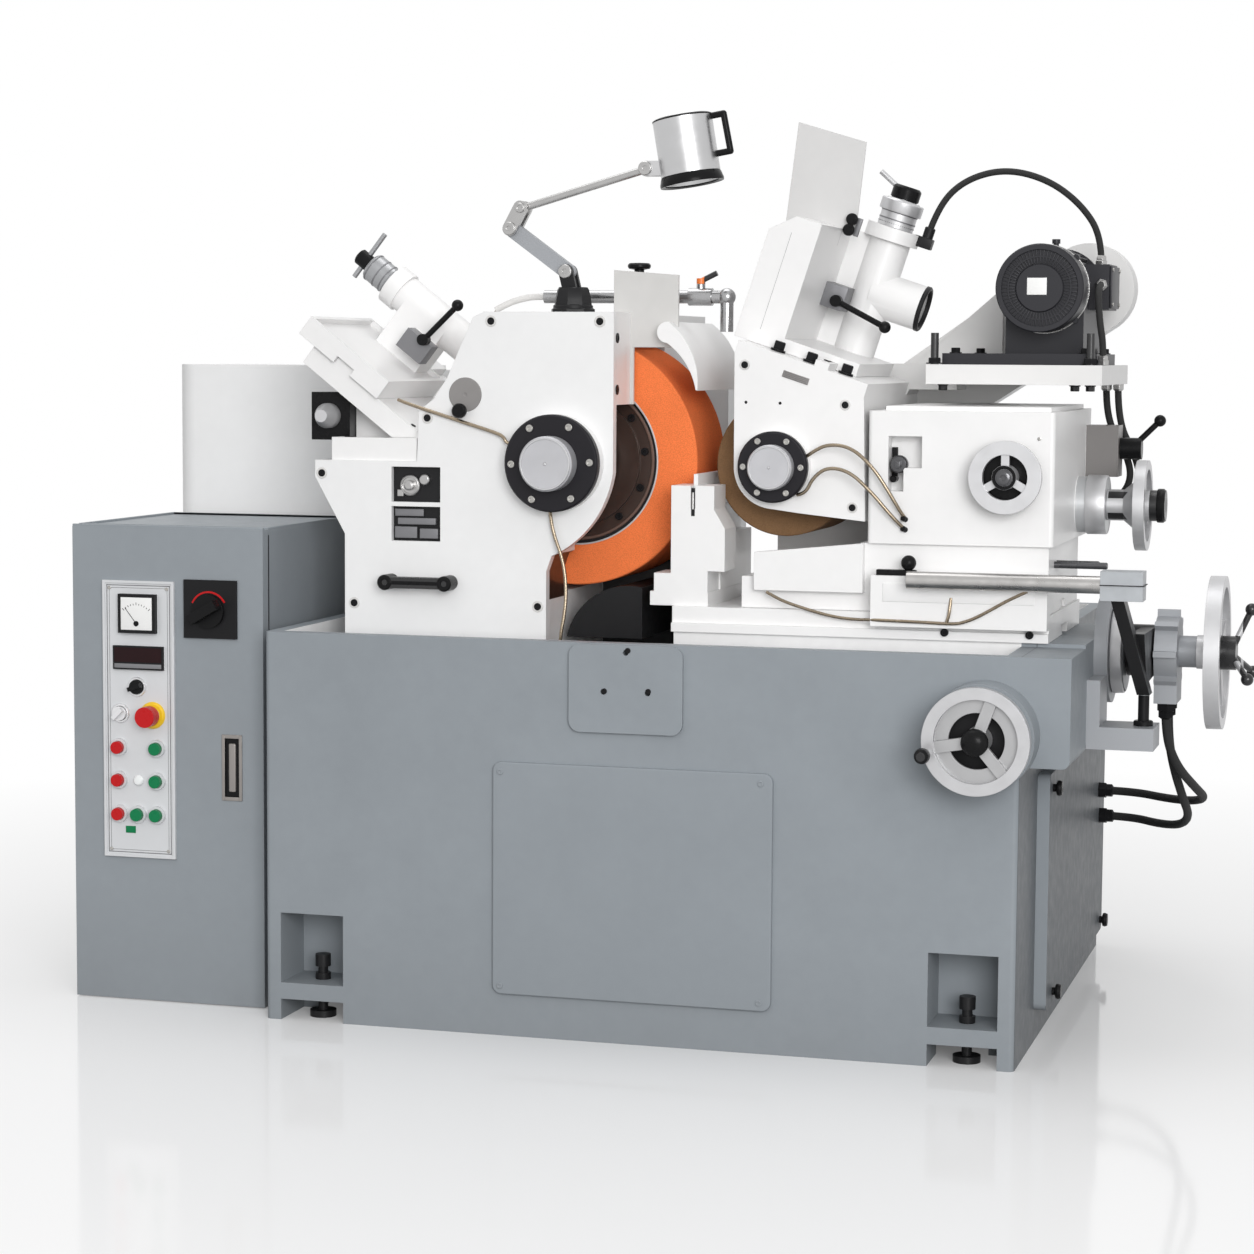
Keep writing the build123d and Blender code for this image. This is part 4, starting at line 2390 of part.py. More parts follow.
def hose(name, points, radius):
    """Hose along a route: straight runs joined by tangent bends, with its bend radii printed."""
    corners = [Vector(point) for point in points]
    bends = []
    for before, corner, after in zip(corners, corners[1:], corners[2:]):
        run_in = corner - before
        run_out = after - corner
        half_turn = radians(run_in.get_angle(run_out)) / 2
        bends.append(bend_share * min(run_in.length, run_out.length) / tan(half_turn))
    print(name, "bend radii", [round(bend) for bend in bends])
    with BuildLine() as route:
        FilletPolyline(*points, radius=bends)
    with BuildSketch(Plane(origin=points[0], z_dir=tuple(corners[1] - corners[0]))) as section:
        Circle(radius)
    sweep(section.sketch, path=route.line)


# Hydraulic hoses from the infeed unit to the right side of the bed.
with BuildPart() as hydraulic_hoses:
    hose("hydraulic front", hydraulic_front, hose_r)
    hose("hydraulic back", hydraulic_back, hose_r)
hydraulic_hoses.part.label = "hydraulic_hoses"
export_step(hydraulic_hoses.part, "parts/hydraulic_hoses.step")

# Supply hoses between the motor table and the gearbox.
with BuildPart() as supply_hoses:
    hose("supply outer", supply_outer, supply_r)
    hose("supply inner", supply_inner, supply_r)
supply_hoses.part.label = "supply_hoses"
export_step(supply_hoses.part, "parts/supply_hoses.step")

# Coolant hose of the regulating dresser.
with BuildPart() as dresser_hose:
    hose("dresser", dresser_route, cable_r)
dresser_hose.part.label = "dresser_hose"
export_step(dresser_hose.part, "parts/dresser_hose.step")

# Motor cable from the terminal box to the table.
with BuildPart() as motor_cable:
    hose("motor", motor_route, cable_r)
motor_cable.part.label = "motor_cable"
export_step(motor_cable.part, "parts/motor_cable.step")
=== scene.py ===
"""Looks of a centreless grinding machine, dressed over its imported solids."""

import logging
import math
from dataclasses import dataclass, field, replace
from enum import Enum
from itertools import cycle
from typing import Optional, Sequence

import bmesh
import bpy
from mathutils import Matrix, Vector


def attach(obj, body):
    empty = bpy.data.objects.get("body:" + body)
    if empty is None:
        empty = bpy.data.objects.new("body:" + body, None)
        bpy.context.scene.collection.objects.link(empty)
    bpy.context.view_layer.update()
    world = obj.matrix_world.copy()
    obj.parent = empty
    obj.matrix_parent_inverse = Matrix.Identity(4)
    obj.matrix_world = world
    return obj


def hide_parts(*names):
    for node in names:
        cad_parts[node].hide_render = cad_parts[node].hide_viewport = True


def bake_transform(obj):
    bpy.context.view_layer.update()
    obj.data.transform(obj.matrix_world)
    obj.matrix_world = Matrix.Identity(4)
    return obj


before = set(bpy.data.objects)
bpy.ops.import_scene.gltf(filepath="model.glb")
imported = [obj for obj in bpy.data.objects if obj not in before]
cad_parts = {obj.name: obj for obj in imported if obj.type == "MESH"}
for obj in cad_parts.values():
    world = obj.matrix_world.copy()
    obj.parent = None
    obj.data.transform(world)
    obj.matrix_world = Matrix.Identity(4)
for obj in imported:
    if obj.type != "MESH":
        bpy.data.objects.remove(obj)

LOG = logging.getLogger("grinder")
Spot = tuple[float, float]
Point = tuple[float, float, float]
Spots, Points = tuple[Spot, ...], tuple[Point, ...]
Colour = tuple[float, float, float]
Socket = bpy.types.NodeSocket

MM = 0.001
ORIGIN = (0, 0, 0)
FRONT, BACK, RIGHT = (0, -1, 0), (0, 1, 0), (1, 0, 0)
UP, DOWN = (0, 0, 1), (0, 0, -1)
SHARP_EDGE = math.radians(32)
SOLID_EDGE = math.radians(30)
WELD_REACH = 1e-6
BEVEL_STEPS, BEVEL_ROUND = 2, 0.6
SCREW_SIDES = 18
CLOUDS, SPECKS = 7.0, 46.0
BRUSH_STRETCH = 0.02
COAT_ROUGH = 0.12
LOW_DARK_TONE, LOW_DARK_TOP = (0.09, 0.085, 0.08), 0.22


def mm(*values: float) -> Vector:
    """Point given in millimetres, in metres."""
    return Vector(values) * MM


def link(name: str, data: bpy.types.ID) -> bpy.types.Object:
    """Links a new object to the scene.

    Args:
        name: name of the object.
        data: its data.

    Returns:
        The object.
    """
    made = bpy.data.objects.new(name, data)
    bpy.context.scene.collection.objects.link(made)
    return made


def plain_mesh(source: bpy.types.Object) -> bpy.types.Mesh:
    """Mesh of an object with all that its modifiers and bevels make of it."""
    view = bpy.context.evaluated_depsgraph_get()
    return bpy.data.meshes.new_from_object(source.evaluated_get(view))


class Texture(Enum):
    """Kinds of surface structure that a finish can have."""

    PAINT = "paint"
    CAST = "cast"
    BRUSHED = "brushed"
    TURNED = "turned"
    GRIT = "grit"
    MOULDED = "moulded"


@dataclass(frozen=True)
class Zone:
    """Part of a node that carries another colour, bounded in millimetres; some zones are painted shade.

    With a radius, the zone is the cylinder about the box's middle along the given axis index.
    """

    low: Point
    high: Point
    colour: Colour
    metallic: float = 0.0
    rough: float = 0.4
    radius: float = 0.0
    axis: int = 1


class Wiring:
    """Node tree with short calls for adding linked nodes."""

    def __init__(self, tree: bpy.types.NodeTree) -> None:
        """Takes the tree that the nodes go into."""
        self.tree = tree

    def feed(self, socket: Socket, value: object) -> None:
        """Links a socket to the input, or sets the input's own value.

        Args:
            socket: the input.
            value: a socket, or the value.
        """
        if isinstance(value, Socket):
            self.tree.links.new(value, socket)
        elif isinstance(value, tuple) and socket.type == "RGBA":
            socket.default_value = (*value, 1.0)
        else:
            socket.default_value = value

    def node(self, kind: str, *inputs: object, **options: object) -> bpy.types.Node:
        """Adds a node.

        Args:
            kind: Blender's type name of the node.
            inputs: values or sockets for its first inputs, None to skip one.
            options: properties of the node, or inputs by name.

        Returns:
            The new node.
        """
        made = self.tree.nodes.new(kind)
        for key, value in options.items():
            if hasattr(made, key):
                setattr(made, key, value)
            else:
                self.feed(made.inputs[key.replace("_", " ")], value)
        for socket, value in zip(made.inputs, inputs):
            if value is not None:
                self.feed(socket, value)
        return made

    def maths(self, how: str, *inputs: object) -> Socket:
        """Output of a math node with that operation."""
        return self.node("ShaderNodeMath", *inputs, operation=how).outputs[0]

    def vector(self, how: str, *inputs: object) -> Socket:
        """First output of a vector math node, or its value where it gives a number."""
        made = self.node("ShaderNodeVectorMath", *inputs, operation=how)
        return made.outputs["Value" if how in ("LENGTH", "DOT_PRODUCT") else "Vector"]

    def blend(self, share: object, first: object, second: object) -> Socket:
        """Number that goes from the first to the second with the share."""
        return self.node("ShaderNodeMix", share, None, first, second).outputs[0]


class Shader(Wiring):
    """Node tree of one principled material."""

    def __init__(self, name: str) -> None:
        """Makes an empty principled material.

        Args:
            name: name of the material.
        """
        self.material = bpy.data.materials.new(name)
        self.material.use_nodes = True
        super().__init__(self.material.node_tree)
        self.surface = self.tree.nodes["Principled BSDF"]
        self.place = self.node("ShaderNodeTexCoord").outputs["Object"]

    def dress(self, **values: object) -> None:
        """Sets or links inputs of the surface, named with underscores for spaces."""
        for label, value in values.items():
            self.feed(self.surface.inputs[label.replace("_", " ")], value)

    def noise(self, scale: float, detail: float = 3.0, place: Optional[Socket] = None) -> Socket:
        """Factor of a noise texture.

        Args:
            scale: features per metre.
            detail: octaves.
            place: coordinates, the object's own unless given.

        Returns:
            The factor socket.
        """
        made = self.node("ShaderNodeTexNoise", Vector=place or self.place, Scale=scale, Detail=detail)
        return made.outputs["Fac"]

    def spread(self, value: Socket, low: float, high: float, start: float = 0.3, end: float = 0.7) -> Socket:
        """Value mapped from the start and end to the low and high ends, clamped."""
        return self.node("ShaderNodeMapRange", value, start, end, low, high, clamp=True).outputs[0]

    def mix(self, share: Socket, first: object, second: object) -> Socket:
        """Colour that goes from one to another.

        Args:
            share: share of the second colour.
            first: colour or socket at 0.
            second: colour or socket at 1.

        Returns:
            The colour socket.
        """
        made = self.node("ShaderNodeMix", share, data_type="RGBA")
        self.feed(made.inputs[6], first)
        self.feed(made.inputs[7], second)
        return made.outputs[2]

    def across(self, offset: Socket, axis: int) -> Socket:
        """Distance of an offset from the axis with that index."""
        square = tuple(float(i != axis) for i in range(3))
        return self.vector("LENGTH", self.vector("MULTIPLY", offset, square))

    def inside(self, zone: Zone) -> Socket:
        """Mask of a zone.

        Args:
            zone: the part of the node.

        Returns:
            A socket that is 1 inside the zone and 0 outside it.
        """
        low, high = mm(*zone.low), mm(*zone.high)
        offset = self.vector("SUBTRACT", self.place, tuple((low + high) / 2))
        beyond = self.vector("SUBTRACT", self.vector("ABSOLUTE", offset), tuple((high - low) / 2))
        parts = self.node("ShaderNodeSeparateXYZ", beyond).outputs
        reach = self.maths("MAXIMUM", self.maths("MAXIMUM", parts[0], parts[1]), parts[2])
        mask = self.maths("LESS_THAN", reach, 0.0)
        if zone.radius:
            near = self.maths("LESS_THAN", self.across(offset, zone.axis), zone.radius * MM)
            mask = self.maths("MULTIPLY", mask, near)
        return mask


@dataclass(frozen=True)
class Finish:
    """A finish of the machine, made into one procedural material.

    Attributes:
        name: name of the material.
        slot: name of a material slot; not used.
        colour: linear base colour.
        texture: structure of the surface.
        metallic: share of bare metal.
        rough: middle roughness.
        tint: how far the colour wanders.
        grain: height of the surface's structure in millimetres.
        grain_scale: structure features per metre.
        wear: share of worn colour on edges.
        worn: linear colour of worn edges.
        edge: radius in millimetres by which edges catch light.
        coat: clear coat over the paint.
        axis: direction of the tool marks, by index.
        centre: axis of turned marks, in millimetres.
        zones: parts in other colours, some of them painted shade.
        low_darkening: share by which the colour darkens in patches towards the floor.
        gloss: strength of the bare surface's reflection.
    """

    name: str
    slot: str
    colour: Colour
    texture: Texture = Texture.PAINT
    metallic: float = 0.0
    rough: float = 0.38
    tint: float = 0.05
    grain: float = 0.05
    grain_scale: float = 320.0
    wear: float = 0.0
    worn: Colour = (0.45, 0.45, 0.45)
    edge: float = 1.2
    coat: float = 0.0
    axis: int = 0
    centre: Point = (0.0, 0.0, 0.0)
    zones: tuple[Zone, ...] = ()
    low_darkening: float = 0.0
    gloss: float = 0.5

    def material(self) -> bpy.types.Material:
        """The finish's material, made the first time it is asked for."""
        return bpy.data.materials.get(self.name) or self.make()

    def structure(self, shader: Shader) -> Socket:
        """Height pattern of the surface.

        Args:
            shader: the material's node tree.

        Returns:
            A socket from 0 to 1.
        """
        along = tuple(float(i == self.axis) for i in range(3))
        if self.texture is Texture.BRUSHED:
            stretch = tuple(BRUSH_STRETCH if way else 1.0 for way in along)
            return shader.noise(self.grain_scale, 4.0, shader.vector("MULTIPLY", shader.place, stretch))
        if self.texture is Texture.TURNED:
            offset = shader.vector("SUBTRACT", shader.place, tuple(mm(*self.centre)))
            ring = shader.node("ShaderNodeCombineXYZ", shader.across(offset, self.axis)).outputs[0]
            path = shader.vector("ADD", ring, shader.vector("MULTIPLY", offset, along))
            return shader.noise(self.grain_scale, 2.0, path)
        if self.texture is Texture.GRIT:
            cells = shader.node("ShaderNodeTexVoronoi", Vector=shader.place, Scale=self.grain_scale)
            return cells.outputs["Distance"]
        if self.texture is Texture.CAST:
            coarse = shader.noise(self.grain_scale * 0.25, 2.0)
            return shader.maths("MULTIPLY_ADD", coarse, 0.6, shader.noise(self.grain_scale, 3.0))
        return shader.noise(self.grain_scale, 2.0)

    def shade(self, shader: Shader, height: Socket, cloud: Socket, fine: Socket) -> Socket:
        """Factor by which the colour gets lighter and darker over the surface.

        Args:
            shader: the material's node tree.
            height: height pattern of the surface.
            cloud: coarse noise.
            fine: fine noise.

        Returns:
            A socket about 1.
        """
        wander = shader.maths("MULTIPLY_ADD", fine, 0.5, cloud)
        shade = shader.spread(wander, 1.0 - self.tint, 1.0 + self.tint, 0.5, 1.0)
        if self.texture is Texture.GRIT:
            shade = shader.maths("MULTIPLY", shade, shader.spread(height, 1.10, 0.80, 0.1, 0.75))
        return shade

    def darken_towards_floor(self, shader: Shader, colour: Socket, cloud: Socket) -> Socket:
        """Darkens the colour in patches towards the floor.

        Args:
            shader: the material's node tree.
            colour: the colour before darkening.
            cloud: coarse noise.

        Returns:
            The darkened colour.
        """
        level = shader.node("ShaderNodeSeparateXYZ", shader.place).outputs[2]
        low = shader.spread(level, self.low_darkening, 0.0, 0.0, LOW_DARK_TOP)
        patchy = shader.maths("MULTIPLY", low, shader.spread(cloud, 0.25, 1.0))
        return shader.mix(patchy, colour, LOW_DARK_TONE)

    def rubbed(self, shader: Shader, colour: Socket, soft: Socket, fine: Socket) -> Socket:
        """Lays the worn colour over edges, where the soft normal leaves the flat one.

        Args:
            shader: the material's node tree.
            colour: the unworn colour.
            soft: normal that is rounded at edges.
            fine: fine noise.

        Returns:
            The worn colour.
        """
        flat = shader.node("ShaderNodeNewGeometry").outputs["Normal"]
        bend = shader.spread(shader.vector("DOT_PRODUCT", soft, flat), self.wear, 0.0, 0.90, 0.985)
        rub = shader.maths("MULTIPLY", bend, shader.spread(fine, 0.15, 1.0, 0.42, 0.62))
        return shader.mix(rub, colour, self.worn)

    def make(self) -> bpy.types.Material:
        """Builds the material's nodes.

        Returns:
            The new material.
        """
        shader = Shader(self.name)
        height = self.structure(shader)
        cloud, fine = shader.noise(CLOUDS, 4.0), shader.noise(SPECKS, 3.0)
        colour, metallic, rough = self.colour, self.metallic, self.rough
        for zone in self.zones:
            mask = shader.inside(zone)
            colour = shader.mix(mask, colour, zone.colour)
            metallic = shader.blend(mask, metallic, zone.metallic)
            rough = shader.blend(mask, rough, zone.rough)
        shade = self.shade(shader, height, cloud, fine)
        colour = shader.node("ShaderNodeVectorMath", colour, operation="SCALE", Scale=shade).outputs[0]
        # Darkens the colour in patches towards the floor.
        if self.low_darkening:
            colour = self.darken_towards_floor(shader, colour, cloud)
        bump = shader.node("ShaderNodeBump", Strength=0.6, Distance=self.grain * MM, Height=height)
        if self.edge:
            soft = shader.node("ShaderNodeBevel", samples=4, Radius=self.edge * MM).outputs[0]
            shader.feed(bump.inputs["Normal"], soft)
            if self.wear:
                colour = self.rubbed(shader, colour, soft, fine)
        shader.dress(
            Base_Color=colour, Metallic=metallic, Normal=bump.outputs[0], Specular_IOR_Level=self.gloss,
            Roughness=shader.maths("ADD", rough, shader.spread(fine, -0.05, 0.05)),
        )
        if self.coat:
            shader.dress(Coat_Weight=self.coat, Coat_Roughness=COAT_ROUGH)
        return shader.material


def smooth(data: bpy.types.Mesh) -> None:
    """Shades rounds smooth and keeps steep edges sharp."""
    data.shade_smooth()
    data.set_sharp_from_angle(angle=SHARP_EDGE)


def spokes(axis: Point, count: int) -> list[Vector]:
    """Unit vectors evenly round an axis and square to it.

    Args:
        axis: direction of the axis.
        count: number of vectors.

    Returns:
        The vectors, one turn of them.
    """
    along = Vector(axis).normalized()
    across = along.orthogonal().normalized()
    third = along.cross(across)
    angles = [2 * math.pi * step / count for step in range(count)]
    return [across * math.cos(angle) + third * math.sin(angle) for angle in angles]


def ring_of(centre: Point, radius: float, count: int, axis: int = 1, start: float = 0.0) -> list[Point]:
    """Places evenly round a circle.

    Args:
        centre: middle of the circle in millimetres.
        radius: radius of the circle in millimetres.
        count: number of places.
        axis: index of the circle's axis.
        start: angle of the first place in degrees.

    Returns:
        The places in millimetres.
    """
    first, second = [i for i in range(3) if i != axis]
    places = []
    for step in range(count):
        angle = math.radians(start + 360.0 * step / count)
        place = list(centre)
        place[first] += radius * math.cos(angle)
        place[second] += radius * math.sin(angle)
        places.append(tuple(place))
    return places


class Form:
    """Mesh under construction, in the machine's own frame. Sizes are given in millimetres."""

    def __init__(self) -> None:
        """Starts with an empty mesh."""
        self.mesh = bmesh.new()

    def bevel(self, edges: set[bmesh.types.BMEdge], round_by: float) -> list[bmesh.types.BMFace]:
        """Rounds edges.

        Args:
            edges: the edges.
            round_by: size of the bevel.

        Returns:
            The new faces.
        """
        made = bmesh.ops.bevel(
            self.mesh, geom=list(edges), offset=round_by * MM, affect="EDGES",
            segments=BEVEL_STEPS, profile=BEVEL_ROUND,
        )
        return made["faces"]

    def box(self, low: Point, high: Point, round_by: float = 1.5, turn: Optional[Matrix] = None) -> "Form":
        """Adds a box with bevelled edges.

        Args:
            low: lowest corner.
            high: highest corner.
            round_by: size of the bevel.
            turn: placing matrix, if the box isn't square to the machine.

        Returns:
            The form.
        """
        first, last = mm(*low), mm(*high)
        place = Matrix.Translation((first + last) / 2) @ Matrix.Diagonal((*(last - first), 1.0))
        verts = set(bmesh.ops.create_cube(self.mesh, size=1.0, matrix=place)["verts"])
        if round_by:
            faces = self.bevel({edge for vert in verts for edge in vert.link_edges}, round_by)
            verts = {vert for vert in verts if vert.is_valid}
            verts |= {vert for face in faces for vert in face.verts}
        if turn is not None:
            bmesh.ops.transform(self.mesh, matrix=turn, verts=list(verts))
        return self

    def skin(self, rings: list[list[bmesh.types.BMVert]], hollow: bool = False) -> "Form":
        """Spans faces between rings of corners, where a ring may be one point.

        Args:
            rings: the rings in order.
            hollow: joins the last ring to the first instead of capping both.

        Returns:
            The form.
        """
        sides = max(len(ring) for ring in rings)
        course = rings + [rings[0]] if hollow else rings
        for near, far in zip(course, course[1:]):
            for step in range(sides):
                ends = (step % len(near), (step + 1) % len(near), (step + 1) % len(far), step % len(far))
                corners = dict.fromkeys((near[ends[0]], near[ends[1]], far[ends[2]], far[ends[3]]))
                if len(corners) > 2:
                    self.mesh.faces.new(tuple(corners))
        for cap in () if hollow else (rings[0][::-1], rings[-1]):
            if len(cap) > 1:
                self.mesh.faces.new(cap)
        return self

    def lathe(
        self, profile: Sequence[Spot], origin: Point, axis: Point = FRONT, sides: int = 40,
        hollow: bool = False,
    ) -> "Form":
        """Adds a turned shape.

        Args:
            profile: radius and distance along the axis, from one end to the other.
            origin: start of the axis.
            axis: direction of the axis.
            sides: facets round it.
            hollow: closes the profile into a ring instead of capping its ends.

        Returns:
            The form.
        """
        along = Vector(axis).normalized()
        ways = spokes(axis, sides)
        rings = []
        for radius, reach in profile:
            centre = mm(*origin) + along * reach * MM
            corners = [centre + way * radius * MM for way in ways] if radius else [centre]
            rings.append([self.mesh.verts.new(corner) for corner in corners])
        return self.skin(rings, hollow)

    def ring(
        self, inner: float, outer: float, height: float, origin: Point, axis: Point = FRONT, sides: int = 40,
        start: float = 0.0,
    ) -> "Form":
        """Adds a plain ring with square edges.

        Args:
            inner: inner radius.
            outer: outer radius.
            height: height along the axis.
            origin: zero point of the axis.
            axis: direction of the axis.
            sides: facets round it.
            start: where the ring begins along the axis.

        Returns:
            The form.
        """
        end = start + height
        profile = [(inner, start), (outer, start), (outer, end), (inner, end)]
        return self.lathe(profile, origin, axis, sides, True)

    def rim(
        self, inner: float, outer: float, height: float, slope: float, origin: Point, axis: Point, sides: int
    ) -> "Form":
        """Adds a low ring with sloped sides, given like a plain ring and by how far each side leans in."""
        profile = [(inner, 0.0), (outer, 0.0), (outer - slope, height), (inner + slope, height), (inner, 0.2)]
        return self.lathe(profile, origin, axis, sides, True)

    def prism(
        self, outline: Sequence[Spot], origin: Point, right: Point, up: Point, depth: float,
        round_by: float = 0.0,
    ) -> "Form":
        """Adds a flat outline pushed along its normal.

        Args:
            outline: corners in the plane.
            origin: the plane's zero point.
            right: the plane's first direction.
            up: the plane's second direction.
            depth: thickness along right cross up.
            round_by: size of the bevel on all edges.

        Returns:
            The form.
        """
        first, second = Vector(right).normalized(), Vector(up).normalized()
        rise = first.cross(second) * depth * MM
        base = [mm(*origin) + (first * u + second * v) * MM for u, v in outline]
        rings = [[self.mesh.verts.new(corner + shift) for corner in base] for shift in (Vector(), rise)]
        self.skin(rings)
        if round_by:
            self.bevel({edge for ring in rings for vert in ring for edge in vert.link_edges}, round_by)
        return self

    def ball(self, centre: Point, radius: float) -> "Form":
        """Adds a ball.

        Args:
            centre: its middle.
            radius: its radius.

        Returns:
            The form.
        """
        place = Matrix.Translation(mm(*centre))
        bmesh.ops.create_uvsphere(self.mesh, u_segments=24, v_segments=14, radius=radius * MM, matrix=place)
        return self

    def mesh_data(self, name: str) -> bpy.types.Mesh:
        """Ends the form as a plain mesh with outward faces and smooth rounds.

        Args:
            name: name of the mesh.

        Returns:
            The mesh.
        """
        bmesh.ops.remove_doubles(self.mesh, verts=self.mesh.verts, dist=WELD_REACH)
        bmesh.ops.recalc_face_normals(self.mesh, faces=self.mesh.faces)
        data = bpy.data.meshes.new(name)
        self.mesh.to_mesh(data)
        self.mesh.free()
        smooth(data)
        return data

    def add(self, name: str, body: str, finish: Finish, slot: str = "") -> None:
        """Puts the form into the scene as a piece, as add_piece does."""
        add_piece(name, self.mesh_data(name), body, finish)


def spline(name: str, points: Sequence[Point], radius: float) -> bpy.types.Object:
    """Round line through a smooth spline, linked to the scene.

    Args:
        name: name of the curve.
        points: control points in millimetres.
        radius: radius of the line in millimetres.

    Returns:
        The curve object.
    """
    curve = bpy.data.curves.new(name, "CURVE")
    curve.dimensions = "3D"
    curve.bevel_depth = radius * MM
    curve.bevel_resolution = 5
    curve.use_fill_caps = True
    line = curve.splines.new("NURBS")
    line.points.add(len(points) - 1)
    for knot, point in zip(line.points, points):
        knot.co = (*mm(*point), 1.0)
    line.order_u = 3
    line.use_endpoint_u = True
    line.resolution_u = 10
    return link(name, curve)


def tube_mesh(name: str, points: Sequence[Point], radius: float) -> bpy.types.Mesh:
    """Mesh of a bent tube.

    Args:
        name: name of the mesh.
        points: control points in millimetres.
        radius: radius of the tube in millimetres.

    Returns:
        The mesh.
    """
    line = spline(name + "_line", points, radius)
    data = plain_mesh(line)
    bpy.data.objects.remove(line)
    data.name = name
    smooth(data)
    return data


def paint(data: bpy.types.ID, finish: Finish) -> None:
    """Gives a mesh or a curve one finish all over."""
    data.materials.clear()
    data.materials.append(finish.material())


def add_piece(name: str, data: bpy.types.Mesh, body: str, finish: Finish) -> None:
    """Puts a finished mesh into the scene on its body.

    Args:
        name: name of the piece.
        data: its mesh, placed in the machine's frame.
        body: the body that it rides on.
        finish: what it is finished in.
    """
    piece = link(name, data)
    paint(data, finish)
    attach(piece, body)
    LOG.info("%s: %d faces on %s", name, len(data.polygons), body)


@dataclass
class Repeat:
    """Copies of one small shape on marked places, made by a geometry node tree.

    Attributes:
        name: name of the piece.
        shape: mesh of one copy, standing on the origin with its top along Z.
        places: middle of each copy in millimetres.
        facings: direction of each copy's top, or one direction for all.
        size: scale of each copy.
    """

    name: str
    shape: bpy.types.Mesh
    places: Sequence[Point]
    facings: Sequence[Point] = (FRONT,)
    size: float = 1.0

    def tree(self, pattern: bpy.types.Object, finish: Finish) -> bpy.types.NodeTree:
        """Builds the node tree that sets the copies.

        Args:
            pattern: object with the shape.
            finish: finish of the copies.

        Returns:
            The tree.
        """
        group = bpy.data.node_groups.new(self.name, "GeometryNodeTree")
        for label, way, kind in (
            ("Places", "INPUT", "Geometry"), ("Size", "INPUT", "Float"), ("Copies", "OUTPUT", "Geometry"),
        ):
            group.interface.new_socket(label, in_out=way, socket_type="NodeSocket" + kind)
        wires = Wiring(group)
        start, end = wires.node("NodeGroupInput").outputs, wires.node("NodeGroupOutput").inputs
        facing = wires.node("GeometryNodeInputNamedAttribute", "facing", data_type="FLOAT_VECTOR").outputs[0]
        align = wires.node("FunctionNodeAlignRotationToVector", axis="Z", Vector=facing).outputs[0]
        source = wires.node("GeometryNodeObjectInfo", Object=pattern).outputs["Geometry"]
        copies = wires.node(
            "GeometryNodeInstanceOnPoints",
            Points=start["Places"], Instance=source, Rotation=align, Scale=start["Size"],
        )
        real = wires.node("GeometryNodeRealizeInstances", copies.outputs[0]).outputs[0]
        coated = wires.node("GeometryNodeSetMaterial", Geometry=real, Material=finish.material())
        wires.feed(end["Copies"], coated.outputs[0])
        return group

    def build(self, body: str, finish: Finish, slot: str = "") -> None:
        """Makes the copies one plain mesh on a body.

        Args:
            body: the body that they ride on.
            finish: finish of the copies.
            slot: not used.
        """
        pattern = bpy.data.objects.new(self.name + "_pattern", self.shape)
        marks = bpy.data.meshes.new(self.name + "_marks")
        marks.from_pydata([tuple(mm(*place)) for place in self.places], [], [])
        facing = marks.attributes.new("facing", "FLOAT_VECTOR", "POINT")
        for item, way in zip(facing.data, cycle(self.facings)):
            item.vector = way
        holder = link(self.name + "_holder", marks)
        group = self.tree(pattern, finish)
        copies = holder.modifiers.new("copies", "NODES")
        copies.node_group = group
        for item in group.interface.items_tree:
            if item.name == "Size":
                copies[item.identifier] = self.size
        data = plain_mesh(holder)
        data.name = self.name
        holder.modifiers.clear()
        bpy.data.objects.remove(holder)
        bpy.data.objects.remove(pattern)
        smooth(data)
        add_piece(self.name, data, body, finish)


def cap_screw(radius: float, height: float) -> bpy.types.Mesh:
    """Head of a socket screw with its hole, standing on the origin.

    Args:
        radius: radius of the head in millimetres.
        height: height of the head in millimetres.

    Returns:
        The mesh of the head.
    """
    bore, crown = 0.5 * radius, 0.88 * radius
    shoulder, floor = 0.85 * height, 0.45 * height
    profile = ((radius, 0.0), (radius, shoulder), (crown, height), (bore, height), (bore, floor))
    form = Form()
    rings = []
    for reach, z in profile:
        corners = ring_of((0, 0, z), reach, SCREW_SIDES, axis=2)
        rings.append([form.mesh.verts.new(mm(*corner)) for corner in corners])
    return form.skin(rings).mesh_data("cap_screw")


def hex_head(radius: float, height: float) -> bpy.types.Mesh:
    """Six-sided bolt head with a washer and a chamfered top, standing on the origin.

    Args:
        radius: radius over the head's corners in millimetres.
        height: height of head and washer in millimetres.

    Returns:
        The mesh of the head.
    """
    seat = height * 0.2
    form = Form().lathe([(radius * 1.25, 0.0), (radius * 1.25, seat)], ORIGIN, UP, 24)
    form.lathe([(radius, seat), (radius, height * 0.9), (radius * 0.9, height)], ORIGIN, UP, 6)
    return form.mesh_data("hex_head")


def seat_ring(outer: float, inner: float) -> bpy.types.Mesh:
    """Shallow round seat about a screw, standing on the origin."""
    return Form().rim(inner, outer, 0.8, 0.6, ORIGIN, UP, 28).mesh_data("seat_ring")


GREY_TONE = (0.270, 0.295, 0.318)
WHITE_TONE = (0.820, 0.815, 0.812)
BLACK_TONE = (0.013, 0.013, 0.014)
SILVER_TONE = (0.70, 0.70, 0.71)
CAP_TONE = (0.50, 0.50, 0.52)
WORN_TONE = (0.55, 0.54, 0.52)
GRINDING_AXIS = (-183, 0, 1010)


